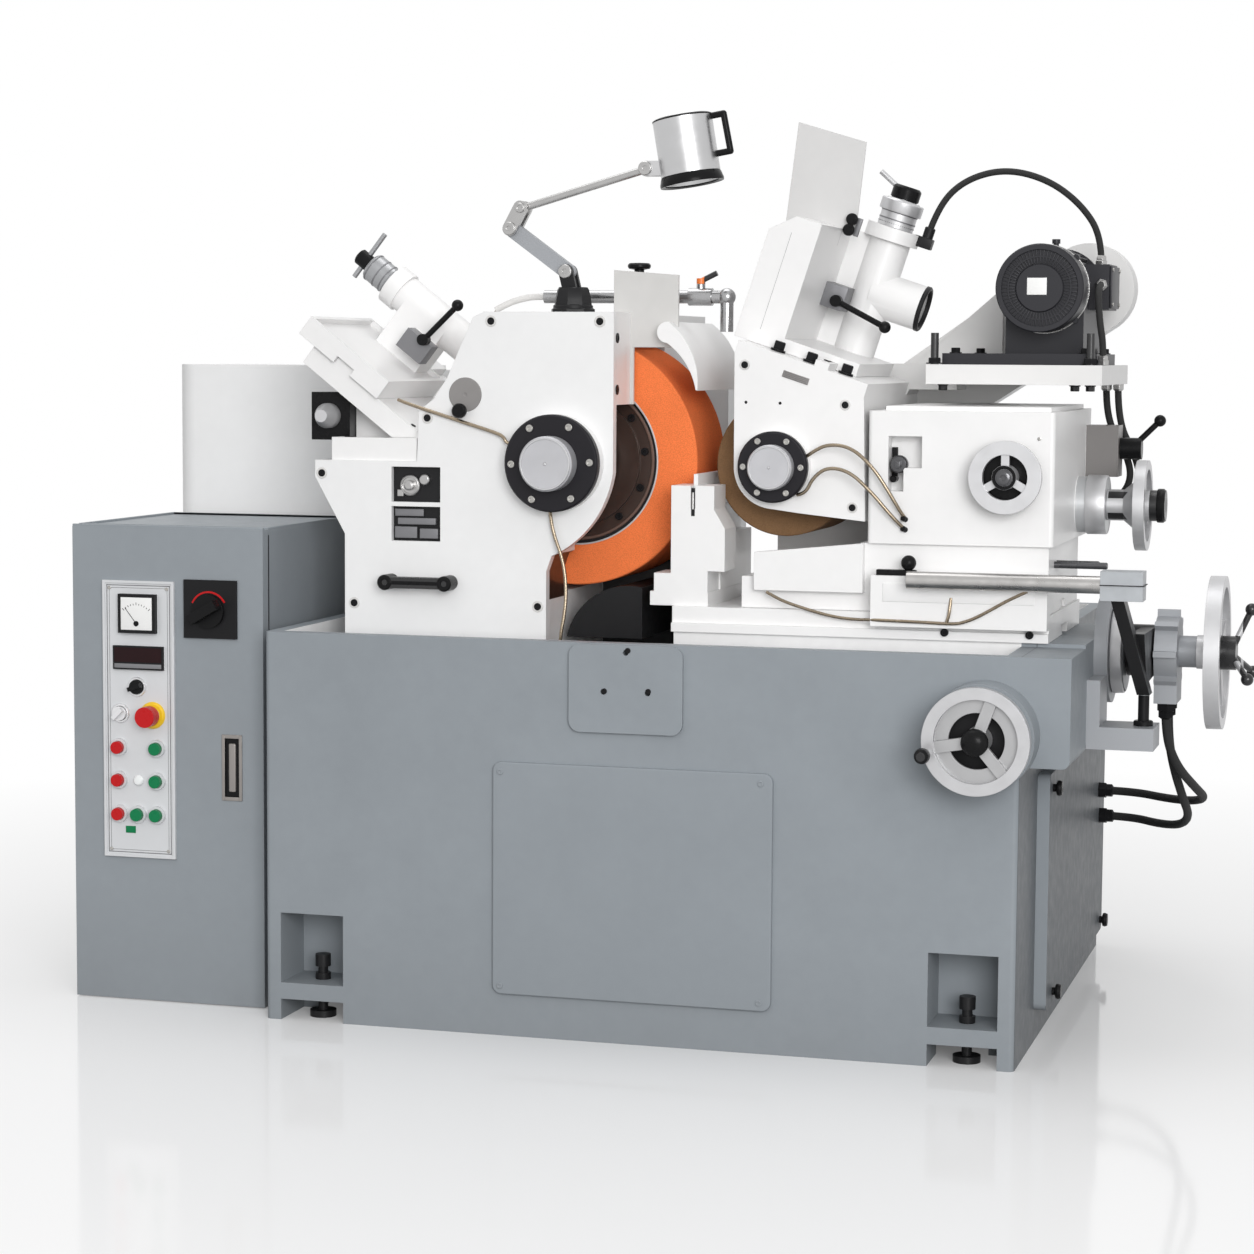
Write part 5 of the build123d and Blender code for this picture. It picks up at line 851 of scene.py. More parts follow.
class Dress:
    """Finishes of the machine, by name."""

    BED = Finish(
        "bed_grey", "grey_paint", GREY_TONE, Texture.CAST, rough=0.46, tint=0.04, grain=0.06,
        grain_scale=210.0, wear=0.18, low_darkening=0.2, gloss=0.12,
        zones=(
            Zone((-653, -548, 641), (653, 548, 760), WHITE_TONE, rough=0.36),
            Zone((-92, -548, 600), (30, 120, 706), BLACK_TONE),
            # Painted shade: the bed's right side face is darkened as if turned away from the light.
            Zone((679.2, -570, -5), (681, 600, 760), (0.135, 0.146, 0.158)),
            # Painted shadow: a black disc on the boss behind the front handwheel stands for the shade seen
            # through the wheel's openings.
            Zone((562, -641, 513), (682, -639, 633), BLACK_TONE, 0.0, 0.4, 60.0),
        ),
    )
    GREY = Finish(
        "cabinet_grey", "grey_paint", GREY_TONE, rough=0.44, tint=0.035, grain=0.04, wear=0.15, low_darkening=0.2,
        gloss=0.25,
        # Painted shade: the cabinet's right side, facing the bed, is a little darker than its grey.
        zones=(Zone((-713, -502, -5), (-711, -60, 878), (0.255, 0.278, 0.300)),),
    )
    COVERS = Finish(
        "cover_grey", "grey_paint", GREY_TONE, rough=0.50, tint=0.03, grain=0.02, wear=0.15, low_darkening=0.1,
        gloss=0.08,
        # Painted shade: the right side cover is darkened as if turned away from the light.
        zones=(Zone((701.2, -349, 50), (703, 470, 480), (0.125, 0.135, 0.146)),),
    )
    WHITE = Finish(
        "white_enamel", "white_paint", WHITE_TONE, Texture.CAST, rough=0.36, tint=0.02, grain=0.07,
        grain_scale=190.0, wear=0.10, worn=WORN_TONE, coat=0.1,
    )
    HEAD = replace(
        WHITE, name="head_enamel",
        zones=(
            Zone((-676, -362, 1042), (-598, -268, 1133), BLACK_TONE),
            Zone((-202.5, -60, 630), (40, -30, 900), BLACK_TONE),
            # Painted shade: a dark brown patch on the wall beside the wheel, at the cover's edge, stands for
            # the shadow deep in the wheel's chamber.
            Zone((-204, -391, 762), (-185, -290, 850), (0.05, 0.025, 0.018)),
        ),
    )
    TABLE = replace(
        WHITE, name="table_enamel", colour=(0.70, 0.695, 0.688),
        zones=tuple(Zone((x - 8, -238, 1190.5), (x + 8, -222, 1260), BLACK_TONE) for x in (465, 742)),
    )
    DRESSER = replace(
        WHITE, name="dresser_enamel",
        zones=(Zone((160, -124, 1405), (320, -119.5, 1640), (0.60, 0.595, 0.59)),),
    )
    GEARBOX = replace(
        WHITE, name="gearbox_enamel",
        zones=(
            Zone((703.4, 30, 975), (770, 120, 1090), (0.17, 0.16, 0.155)),
            Zone((704, -110, 880), (760, 0, 992), (0.52, 0.53, 0.54), 0.4, 0.36),
        ),
    )
    SHEET = Finish(
        "white_sheet", "white_paint", (0.80, 0.80, 0.80), rough=0.36, tint=0.02, grain=0.03, wear=0.08,
        worn=WORN_TONE, coat=0.1,
        zones=(Zone((-512, -450, 770), (-372, -410.5, 808), BLACK_TONE, rough=0.3),),
    )
    GUARD = Finish(
        "guard_white", "white_paint", (0.58, 0.572, 0.558), tint=0.03, wear=0.12, worn=(0.5, 0.5, 0.5),
        coat=0.05,
        zones=(
            Zone((-30, -335, 1130), (60, -300.5, 1275), WHITE_TONE),
            Zone((-30, -293.5, 1130), (60, -5, 1275), WHITE_TONE),
            Zone((10.2, -301, 1130), (60, -293, 1275), WHITE_TONE),
        ),
    )
    SEAT = Finish("seat_white", "white_paint", (0.66, 0.65, 0.635), tint=0.03)
    UNIT = Finish(
        "unit_grey", "unit_grey", (0.34, 0.355, 0.375), Texture.CAST, rough=0.37, tint=0.04, grain=0.08,
        grain_scale=230.0, wear=0.2, gloss=0.35,
        zones=(
            Zone((788.5, -260, 610), (812.5, -110, 762), SILVER_TONE, 1.0, 0.3),
            Zone((862, -240, 590), (908, -130, 626), BLACK_TONE),
            Zone((843, -330, 560), (872, -300, 640), BLACK_TONE),
            Zone((905.5, -220, 650), (950, -150, 722), SILVER_TONE, 1.0, 0.3),
        ),
    )
    CLAMP = Finish(
        "clamp_grey", "unit_grey", (0.20, 0.20, 0.21), Texture.BRUSHED, metallic=0.5, rough=0.42,
        grain=0.02, grain_scale=260.0, wear=0.15, worn=SILVER_TONE,
    )
    PLUG = Finish(
        "plug_grey", "unit_grey", (0.25, 0.24, 0.235), rough=0.42, grain=0.03, wear=0.15, gloss=0.25,
    )
    BLACK = Finish(
        "satin_black", "black_paint", BLACK_TONE, rough=0.40, gloss=0.18, tint=0.1, grain=0.03, wear=0.25,
        worn=(0.12, 0.12, 0.12),
    )
    LEVER = replace(
        BLACK, name="lever_black", rough=0.36, wear=0.3, worn=(0.16, 0.16, 0.16),
        zones=(
            Zone((460, -467, 803), (796.5, -433, 837), (0.44, 0.43, 0.42), 1.0, 0.30),
            Zone((796, -477, 794), (870, -423, 846), (0.42, 0.44, 0.46), 0.0, 0.36),
        ),
    )
    FLANGE = Finish(
        "blackened_flange", "flange_black", (0.014, 0.013, 0.016), Texture.TURNED, metallic=0.1, rough=0.46,
        gloss=0.2, grain=0.01, grain_scale=500.0, wear=0.3, worn=(0.12, 0.12, 0.13), axis=1,
        centre=GRINDING_AXIS,
        zones=(
            Zone((-232, -490, 961), (-134, -451.5, 1059), CAP_TONE, 0.45, 0.42, 49.5),
            Zone((-275, -434, 920), (-90, -405, 1100), WHITE_TONE, rough=0.36),
        ),
    )
    REGULATING_FLANGE = replace(
        FLANGE, name="blackened_small_flange", centre=(209, 0, 1008),
        zones=(
            Zone((168, -427, 967), (250, -400.5, 1049), CAP_TONE, 0.45, 0.42, 40.5),
            Zone((140, -386, 940), (280, -360, 1080), WHITE_TONE, rough=0.36),
        ),
    )
    WHEEL = Finish(
        "orange_abrasive", "abrasive", (0.930, 0.225, 0.070), Texture.GRIT, rough=0.95, grain=0.35,
        grain_scale=620.0, edge=0.8, wear=0.25, worn=(0.93, 0.34, 0.14), gloss=0.1,
    )
    TAN = Finish(
        "tan_rubber_bond", "tan_rubber", (0.210, 0.118, 0.058), Texture.GRIT, rough=0.75, tint=0.12,
        grain=0.18, grain_scale=760.0, edge=0.8, gloss=0.15,
    )
    STEEL = Finish(
        "ground_steel", "bright_steel", (0.44, 0.435, 0.43), Texture.BRUSHED, metallic=1.0, rough=0.30,
        grain=0.01, grain_scale=300.0,
    )
    NICKEL = replace(STEEL, name="satin_nickel", colour=(0.30, 0.28, 0.265), metallic=0.8, rough=0.34)
    ZINC = replace(
        STEEL, name="zinc_pipe", slot="zinc", colour=(0.40, 0.40, 0.405), rough=0.26, tint=0.08,
        grain=0.005, grain_scale=210.0,
    )
    BRASS = replace(
        STEEL, name="nickel_bronze", colour=(0.30, 0.245, 0.18), rough=0.26, tint=0.10, grain_scale=320.0,
    )
    SCREW = replace(
        STEEL, name="bright_screw", colour=(0.42, 0.41, 0.39), rough=0.28, grain_scale=320.0, edge=0.4,
    )
    ALUMINIUM = Finish(
        "turned_aluminium", "aluminium", (0.56, 0.56, 0.57), Texture.TURNED, metallic=0.55, rough=0.38,
        tint=0.04, grain=0.01, grain_scale=420.0,
    )
    KNOB = replace(
        ALUMINIUM, name="dark_chrome", slot="bright_steel", colour=(0.10, 0.10, 0.105), metallic=0.7,
        rough=0.26,
    )
    DARK = replace(
        ALUMINIUM, name="oiled_steel", slot="dark_steel", colour=(0.055, 0.035, 0.028), metallic=0.5,
        rough=0.34, tint=0.05, grain=0.02, axis=1, centre=GRINDING_AXIS,
    )
    # Painted highlight: dark steel lightened so that the hub's ring steps show as if they caught the light.
    RING_SHEEN = replace(DARK, name="bronzed_ring", colour=(0.150, 0.095, 0.075), rough=0.42, grain=0.01)
    DIALS = replace(
        ALUMINIUM, name="satin_dial", colour=(0.36, 0.365, 0.375), metallic=0.9, rough=0.34, tint=0.05,
    )
    CHROME = replace(
        ALUMINIUM, name="fluted_chrome", colour=(0.54, 0.54, 0.545), metallic=1.0, rough=0.34, grain=0.002,
        grain_scale=300.0, edge=0.4,
    )
    BEZEL = replace(
        ALUMINIUM, name="bezel_satin", slot="bright_steel", colour=(0.74, 0.74, 0.75), metallic=0.6,
        rough=0.32, tint=0.03, grain=0.008, grain_scale=600.0, edge=0.4,
    )
    STAR = replace(
        ALUMINIUM, name="star_wheel", centre=(0, -185, 686),
        zones=(
            Zone((971.5, -220, 650), (1010, -150, 722), BLACK_TONE, 0.0, 0.3, 31.5, 0),
            Zone((1014, -330, 540), (1050, -40, 830), BLACK_TONE, 0.0, 0.25),
        ),
    )
    FRONT = replace(
        ALUMINIUM, name="front_wheel", colour=(0.50, 0.50, 0.51), axis=1, centre=(622, 0, 573),
        zones=(
            Zone((522, -740, 530), (562, -683.5, 572), BLACK_TONE, 0.0, 0.25),
            # Painted shade: the web behind the rim is darker as if its recessed dish lay in shade.
            Zone((542, -686, 493), (702, -655, 653), (0.39, 0.39, 0.395), 0.55, 0.42, 69.5),
        ),
    )
    SPEED = replace(
        ALUMINIUM, name="speed_wheel", colour=(0.54, 0.54, 0.55), centre=(0, -55, 937),
        zones=(
            Zone((760, -80, 912), (812, -30, 962), BLACK_TONE, 0.0, 0.35),
            Zone((834, -150, 850), (870, 40, 1030), BLACK_TONE, 0.0, 0.3),
        ),
    )
    PANEL = Finish(
        "anodised_panel", "panel_plate", (0.64, 0.65, 0.665), Texture.BRUSHED, metallic=0.1, rough=0.42,
        tint=0.02, grain=0.008, grain_scale=420.0, gloss=0.12,
        zones=(
            Zone((-993.5, -523, 687.5), (-918.5, -511, 760.5), BLACK_TONE),
            Zone((-1006.5, -518, 619.5), (-905.5, -511, 664.5), BLACK_TONE),
            Zone((-866.5, -525, 681.5), (-761.5, -505, 789.5), BLACK_TONE),
        ),
    )
    DIAL = Finish(
        "dial_white", "panel_plate", (0.82, 0.82, 0.81), Texture.MOULDED, rough=0.4, tint=0.015,
        grain=0.005,
    )
    LENS = Finish(
        "lamp_lens", "panel_plate", (0.82, 0.84, 0.84), Texture.MOULDED, rough=0.12, tint=0.02, grain=0.02,
        grain_scale=90.0, coat=0.6,
    )
    PLASTIC = Finish(
        "black_moulding", "black_plastic", (0.009, 0.009, 0.0095), Texture.MOULDED, rough=0.28, gloss=0.10,
        tint=0.08, grain=0.02, grain_scale=600.0,
    )
    SCREEN = replace(
        PLASTIC, name="display_glass", colour=(0.016, 0.004, 0.005), rough=0.2, gloss=0.15, tint=0.15,
        grain=0.004, grain_scale=200.0, edge=0.0,
    )
    HOSE = replace(
        PLASTIC, name="hose_rubber", slot="hose_rubber", colour=(0.007, 0.007, 0.0075), rough=0.36,
        gloss=0.08, tint=0.12, grain=0.03, grain_scale=500.0, edge=0.0,
    )
    BLACK_SCREW = replace(
        PLASTIC, name="black_screw", slot="black_paint", colour=(0.010, 0.010, 0.011), rough=0.36,
        gloss=0.12, grain=0.01, grain_scale=320.0, edge=0.4,
    )
    RED = Finish(
        "red_moulding", "red_plastic", (0.50, 0.010, 0.012), Texture.MOULDED, rough=0.28, tint=0.04,
        grain=0.01, gloss=0.2,
    )
    GREEN = replace(RED, name="green_moulding", slot="green_plastic", colour=(0.003, 0.185, 0.065))
    YELLOW = replace(
        RED, name="yellow_moulding", slot="orange_plastic", colour=(0.85, 0.55, 0.02), rough=0.32,
        gloss=0.5,
    )
    ORANGE = replace(
        YELLOW, name="orange_dip", colour=(0.80, 0.19, 0.03), rough=0.34, grain=0.02,
        zones=(Zone((43, -260, 1325), (80, -220, 1365), BLACK_TONE, 0.0, 0.3),),
    )
    MOTOR = Finish(
        "motor_black", "motor_black", (0.004, 0.004, 0.0044), Texture.CAST, rough=0.34, tint=0.10,
        grain_scale=240.0, wear=0.12, worn=(0.03, 0.03, 0.033), gloss=0.03,
    )


@dataclass(frozen=True)
class Lamp:
    """Soft square lamp of the studio, in metres and watts."""

    name: str
    place: Point
    aim: Point
    size: float
    power: float

    def hang(self) -> None:
        """Adds the lamp to the scene."""
        data = bpy.data.lights.new(self.name, "AREA")
        data.shape = "SQUARE"
        data.size = self.size
        data.energy = self.power
        made = link(self.name, data)
        made.location = self.place
        made.rotation_mode = "QUATERNION"
        made.rotation_quaternion = (Vector(self.aim) - Vector(self.place)).to_track_quat("-Z", "Y")


@dataclass
class Studio:
    """Floor in metres, camera in millimetres, and light.

    The floor has one tone as it lights the machine and one as it is seen, and turns white over its fade.
    """

    floor_span: float = 40.0
    floor_tones: tuple[Colour, Colour] = ((0.24, 0.24, 0.24), (0.93, 0.93, 0.935))
    floor_fade: Spot = (0.4, 3.2)
    lens: float = 84.8
    sensor: float = 36.0
    stand: Point = (1390.0, -5469.0, 1203.0)
    ahead: Point = (-0.2728, 0.9577, -0.0917)
    roll: float = 0.374
    light_from: Point = (0.20, -0.93, 0.30)
    fill: float = 1.16
    lamps: tuple[Lamp, ...] = (
        Lamp("key", (3.6, -7.8, 2.5), (0.0, 0.0, 0.8), 3.6, 400.0),
        Lamp("top", (-0.5, 0.5, 4.6), (0.0, 0.1, 0.9), 2.8, 54.0),
    )

    def camera(self) -> None:
        """Sets the camera where the photograph was taken."""
        look = Vector(self.ahead).normalized()
        level = look.cross(Vector(UP)).normalized()
        top = level.cross(look)
        tilt = math.radians(self.roll)
        right = level * math.cos(tilt) + top * math.sin(tilt)
        up = top * math.cos(tilt) - level * math.sin(tilt)
        data = bpy.data.cameras.new("camera")
        data.sensor_width = self.sensor
        data.lens = self.lens
        eye = link("camera", data)
        turn = Matrix((right, up, -look)).transposed().to_4x4()
        eye.matrix_world = Matrix.Translation(mm(*self.stand)) @ turn
        bpy.context.scene.camera = eye

    def floor(self) -> None:
        """Lays a pale glossy floor that fades into the white background."""
        form = Form()
        corners = ((-1, -1), (1, -1), (1, 1), (-1, 1))
        form.mesh.faces.new([form.mesh.verts.new((*(Vector(c) * self.floor_span), 0.0)) for c in corners])
        plate = link("floor", form.mesh_data("floor"))
        shader = Shader("studio_floor")
        far = shader.spread(shader.vector("LENGTH", shader.place), 0.0, 1.0, *self.floor_fade)
        seen = shader.node("ShaderNodeLightPath").outputs
        shiny = shader.maths("MAXIMUM", seen["Is Glossy Ray"], seen["Is Transmission Ray"])
        looked_at = shader.maths("MAXIMUM", seen["Is Camera Ray"], shiny)
        shader.dress(
            Base_Color=shader.mix(looked_at, *self.floor_tones), Specular_IOR_Level=0.28,
            Roughness=shader.spread(shader.noise(3.0), 0.06, 0.10),
        )
        share = shader.maths("MULTIPLY", far, looked_at)
        glow = shader.node("ShaderNodeEmission", (1.0, 1.0, 1.0), 1.0).outputs[0]
        blend = shader.node("ShaderNodeMixShader", share, shader.surface.outputs[0], glow)
        shader.feed(shader.tree.nodes["Material Output"].inputs["Surface"], blend.outputs[0])
        plate.data.materials.append(shader.material)

    def world(self) -> None:
        """Fills the room with soft light from the front right and keeps what the camera sees white."""
        world = bpy.data.worlds.new("studio")
        bpy.context.scene.world = world
        world.use_nodes = True
        wires = Wiring(world.node_tree)
        way = wires.node("ShaderNodeTexCoord").outputs["Generated"]
        facing = wires.vector("DOT_PRODUCT", way, tuple(Vector(self.light_from).normalized()))
        share = wires.maths("MULTIPLY_ADD", facing, 0.5, 0.5)
        soft = wires.maths("MULTIPLY", wires.maths("POWER", share, 2.0), self.fill)
        seen = wires.node("ShaderNodeLightPath").outputs
        straight = wires.maths("MAXIMUM", seen["Is Camera Ray"], seen["Is Transmission Ray"])
        looked_at = wires.maths("MAXIMUM", straight, seen["Is Glossy Ray"])
        back = world.node_tree.nodes["Background"].inputs
        wires.feed(back["Strength"], wires.blend(looked_at, soft, 1.0))
        wires.feed(back["Color"], (1.0, 1.0, 1.0))

    def build(self) -> None:
        """Sets up the whole studio."""
        bpy.context.scene.view_settings.view_transform = "Standard"
        self.camera()
        self.floor()
        self.world()
        for lamp in self.lamps:
            lamp.hang()


@dataclass(frozen=True)
class Route:
    """Way of one hose or cable that stands for a node, in millimetres.

    The start body is the body at its first end, if a joint lies between its ends.
    """

    name: str
    node: str
    body: str
    radius: float
    points: Points
    start_body: str = ""


@dataclass
class Hoses:
    """Hoses and cables that run free between two fittings."""

    routes: tuple[Route, ...] = (
        Route("hydraulic_hose_front", "hydraulic_hoses", "bed", 8.0, (
            (885, -210, 596), (885, -210, 540), (902, -175, 480), (930, -70, 425), (936, 60, 390),
            (905, 180, 365), (845, 285, 352), (770, 372, 350), (702, 372, 350),
        )),
        Route("hydraulic_hose_back", "hydraulic_hoses", "bed", 8.0, (
            (885, -160, 596), (885, -160, 538), (892, -128, 474), (902, -30, 402), (905, 90, 350),
            (880, 198, 315), (830, 300, 299), (765, 388, 297), (702, 388, 297),
        )),
        Route("supply_hose_outer", "supply_hoses", "regulating_head", 6.5, (
            (750, 132, 1155), (750, 132, 1085), (786, 130, 1020), (802, 118, 955), (768, 102, 905),
            (703, 102, 905),
        )),
        Route("supply_hose_inner", "supply_hoses", "regulating_head", 6.5, (
            (728, 132, 1155), (728, 132, 1090), (764, 130, 1035), (782, 124, 978), (754, 108, 934),
            (703, 108, 934),
        )),
        Route("dresser_hose_line", "dresser_hose", "regulating_head", 6.0, (
            (410, -20, 1420), (428.5, -20, 1477), (474, -12, 1527), (548, 0, 1549), (626, 12, 1530),
            (688, 22, 1484), (726, 30, 1425), (726, 30, 1372),
        ), "regulating_dresser"),
        Route("motor_cable_line", "motor_cable", "regulating_head", 6.0, (
            (739, -60, 1335), (739, -104, 1335), (742, -138, 1305), (748, -150, 1262), (754, -148, 1228),
            (754, -148, 1190),
        )),
    )

    def course(self, line: bpy.types.Object) -> list[Vector]:
        """Follows a spline's own line.

        Args:
            line: the curve.

        Returns:
            Points along it in metres.
        """
        curve = line.data.copy()
        curve.bevel_depth = 0.0
        bare = link("measure", curve)
        places = [vert.co.copy() for vert in plain_mesh(bare).vertices]
        bpy.data.objects.remove(bare)
        return places

    def lay(self, route: Route) -> None:
        """A hose whose ends are on two bodies becomes a plain mesh with its placing baked in. The finish of a
        hose comes before its body, so that its bounds stay those of the drawn line.

        Args:
            route: the hose's way.
        """
        line = spline(route.name, route.points, route.radius)
        course = self.course(line)
        if route.start_body:
            bpy.data.objects.remove(line)
            line = link(route.name, tube_mesh(route.name, route.points, route.radius))
        paint(line.data, Dress.HOSE)
        if route.start_body:
            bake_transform(line)
        else:
            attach(line, route.body)
        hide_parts(route.node)

    def build(self) -> None:
        """Lays every hose."""
        for route in self.routes:
            self.lay(route)


@dataclass
class Castings:
    """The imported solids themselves, each in its own finish."""

    dress: tuple[tuple[Finish, str], ...] = (
        (Dress.BED, "bed_casting"),
        (Dress.COVERS, "access_covers"),
        (Dress.GREY, "cabinet_body cabinet_door"),
        (Dress.PANEL, "control_panel"),
        (Dress.WHITE, "grinding_dresser_carriage lower_slide work_rest upper_slide regulating_head"),
        (Dress.HEAD, "wheel_head"),
        (Dress.SHEET, "wheel_head_cover drive_cover"),
        (Dress.GUARD, "wheel_guard"),
        (Dress.GEARBOX, "gearbox"),
        (Dress.TABLE, "motor_table"),
        (Dress.DRESSER, "regulating_dresser_carriage"),
        (Dress.FLANGE, "grinding_bearing_cover"),
        (Dress.REGULATING_FLANGE, "regulating_bearing_cover"),
        (Dress.WHEEL, "grinding_wheel"),
        (Dress.TAN, "regulating_wheel"),
        (Dress.DARK, "grinding_spindle regulating_spindle"),
        (Dress.STEEL, "grinding_dresser_quill regulating_dresser_quill lamp_upper_arm"),
        (Dress.DIALS, "grinding_dresser_crank"),
        (Dress.ALUMINIUM, "traverse_knob tilt_handwheel regulating_dresser_crank"),
        (Dress.SPEED, "speed_handwheel"),
        (Dress.STAR, "infeed_handwheel"),
        (Dress.FRONT, "front_handwheel"),
        (Dress.LEVER, "infeed_lever"),
        (Dress.UNIT, "infeed_unit lamp_lower_arm"),
        (Dress.MOTOR, "regulating_motor"),
        (Dress.ZINC, "coolant_pipe"),
        (Dress.ORANGE, "coolant_valve_lever"),
        (Dress.BLACK, "levelling_bolts lamp_base"),
        (Dress.CHROME, "lamp_head"),
        (Dress.BEZEL, "selector_knob"),
        (Dress.PLASTIC, "grinding_dresser_lever regulating_dresser_lever gear_lever"),
        (Dress.PLASTIC, "main_switch_knob speed_knob"),
        (Dress.RED, "emergency_stop red_button_upper red_button_middle red_button_lower"),
        (Dress.GREEN, "green_button_upper green_button_middle"),
        (Dress.GREEN, "green_button_lower_left green_button_lower_right"),
    )

    def build(self) -> None:
        """Gives every node its finish and smooth rounds."""
        for finish, names in self.dress:
            for name in names.split():
                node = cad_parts[name]
                paint(node.data, finish)
                for face in node.data.polygons:
                    face.use_smooth = True
                node.modifiers.new("weld", "WELD").merge_threshold = WELD_REACH
                node.modifiers.new("edges", "EDGE_SPLIT").split_angle = SOLID_EDGE
                LOG.info("%s in %s", name, finish.name)


@dataclass
class HeadTrim:
    """Screws, caps and fittings on the wheel head. Sizes are in millimetres."""

    body: str = "bed"
    wheel: str = "grinding_wheel"
    front: float = -410.0
    spindle: Spot = (-183.0, 1010.0)
    flange_front: float = -451.0
    cap_front: float = -485.0
    hub_front: float = -278.0
    wheel_front: float = -288.0
    cover_screws: Spots = (
        (-309, 1262), (-105, 1262), (-430, 1087), (-635, 984), (-572, 747), (-219, 750),
    )
    side_screws: Points = ((-79, -388, 1233), (-79, -388, 1141))
    hub_steps: Points = ((60, 66, 3.0), (92, 97, 4.0), (112, 116, 3.0), (140, 146, 5.0))
    grip: Spot = (-438, 789)
    grip_ends: Spot = (-499, -385)
    drain: Spot = (-70.0, 665.0)
    drain_radius: float = 121.0
    tube_radius: float = 3.2
    tubes: dict[str, Points] = field(default_factory=lambda: {
        "oil_tube_tray": (
            (-490, -398, 1119), (-469, -410, 1113), (-424, -415, 1100), (-347, -416, 1077),
            (-292, -418, 1061), (-280, -420, 1054), (-276, -420, 1044), (-262, -417, 1040),
        ),
        "oil_tube_flange": (
            (-195, -416, 930), (-192, -420, 912), (-184, -424, 880), (-165, -428, 835), (-158, -432, 785),
            (-160, -436, 740), (-167, -440, 700), (-170, -440, 646),
        ),
        "oil_tube_top": (
            (-392, -260, 1212), (-376, -258, 1248), (-348, -252, 1288), (-310, -246, 1303),
            (-285, -242, 1309), (-258, -240, 1309),
        ),
    })
    sleeve: Points = (
        (-352, -253, 1284), (-330, -249, 1297), (-300, -244, 1306), (-280, -241, 1309), (-258, -240, 1309),
    )
    sleeve_radius: float = 6.0

    def on_axis(self, depth: float) -> Point:
        """Point on the spindle's axis at that depth."""
        return (self.spindle[0], depth, self.spindle[1])

    def screws(self) -> None:
        """Sets the bright flange screws and the dark cover screws."""
        ring = ring_of(self.on_axis(self.flange_front), 73.0, 6, start=2.0)
        Repeat("flange_screws", cap_screw(6.6, 4.0), ring).build(self.body, Dress.SCREW)
        places = [(x, self.front, z) for x, z in self.cover_screws]
        Repeat("cover_screw_seats", seat_ring(10.5, 6.5), places).build(self.body, Dress.SEAT)
        Repeat("cover_screws", cap_screw(6.5, 1.6), places).build(self.body, Dress.BLACK_SCREW)
        side = Repeat("side_screws", cap_screw(9.0, 2.0), self.side_screws, (RIGHT,))
        side.build(self.body, Dress.BLACK_SCREW)

    def cap(self) -> None:
        """Adds the turned rim and the centre mark of the bearing cap."""
        middle = self.on_axis(self.cap_front)
        form = Form().rim(43, 46.5, 1.4, 0.6, middle, FRONT, 64)
        form.lathe([(0, 0.0), (3.2, 0.0), (2.2, 0.9), (0, 0.9)], middle, sides=20)
        form.add("bearing_cap_rim", self.body, Dress.ALUMINIUM)

    def hub(self) -> None:
        """Adds ring steps and screws on the wheel's clamping hub."""
        middle = self.on_axis(self.hub_front)
        rings = Form()
        for inner, outer, height in self.hub_steps:
            foot = height - 1
            outside = [(inner, 0), (outer, 0), (outer, foot), (outer - 1, height)]
            rings.lathe([*outside, (inner + 1, height), (inner, foot)], middle, sides=72, hollow=True)
        # The ring steps take the lightened steel as painted highlight.
        rings.add("hub_rings", self.wheel, Dress.RING_SHEEN)
        Form().ring(146.6, 152.2, 5, middle, sides=96).add("bore_gap", self.wheel, Dress.BLACK)
        edge = Form().ring(151.5, 154.4, 0.7, self.on_axis(self.wheel_front), sides=96)
        edge.add("bore_edge", self.wheel, Dress.ALUMINIUM, "bright_steel")
        ring = ring_of(middle, 128.0, 12, start=8.0)
        Repeat("hub_screws", cap_screw(7.0, 7.0), ring).build(self.wheel, Dress.BLACK_SCREW)

    def windows(self) -> None:
        """Fills the two windows of the cover with their fittings."""
        back = self.front + 12.0
        plate = Form()
        for low, high in ((934, 998), (863, 926)):
            plate.box((-499.5, back, low - 0.5), (-404.5, back + 6, high + 0.5), 0.0)
        plate.add("window_backs", self.body, Dress.BLACK)
        gauge = Form()
        bush = [(19, 0), (19, 5), (16.5, 7), (15, 7), (15, 4), (9, 4), (9, 12), (6, 14), (0, 14)]
        gauge.lathe(bush, (-466, back, 964), sides=36)
        gauge.lathe([(10, 0), (10, 8), (8, 10), (0, 10)], (-437, back, 975), sides=24)
        gauge.box((-490, back - 6, 944), (-478, back, 956), 1.0)
        gauge.add("window_gauge", self.body, Dress.STEEL)
        steps = Form().box((-495, back - 4, 908), (-440, back, 921), 1.0)
        for left, right, low, high, proud in (
            (-488, -415, 893, 905, 9), (-495, -452, 868, 889, 6), (-446, -411, 868, 886, 8),
        ):
            steps.box((left, back - proud, low), (right, back, high), 1.2)
        steps.add("window_blocks", self.body, Dress.CLAMP, "bright_steel")

    def handle(self) -> None:
        """Adds the black sleeve and the end bosses of the grip, and the black face of the traverse box."""
        depth, height = self.grip
        sleeve = Form().lathe([(10.6, 0), (10.6, 96), (0, 96)], (-490, depth, height), RIGHT, 32)
        boss = [(14, 0), (14, 38), (12, 40.5), (6, 40.5), (5, 38), (0, 38)]
        for x in self.grip_ends:
            sleeve.lathe(boss, (x, self.front + 0.5, height), sides=32)
        sleeve.box((-674.6, -361.0, 1043.4), (-599.4, -358.0, 1131.6), 1.0)
        sleeve.add("grip_sleeve", self.body, Dress.PLASTIC)

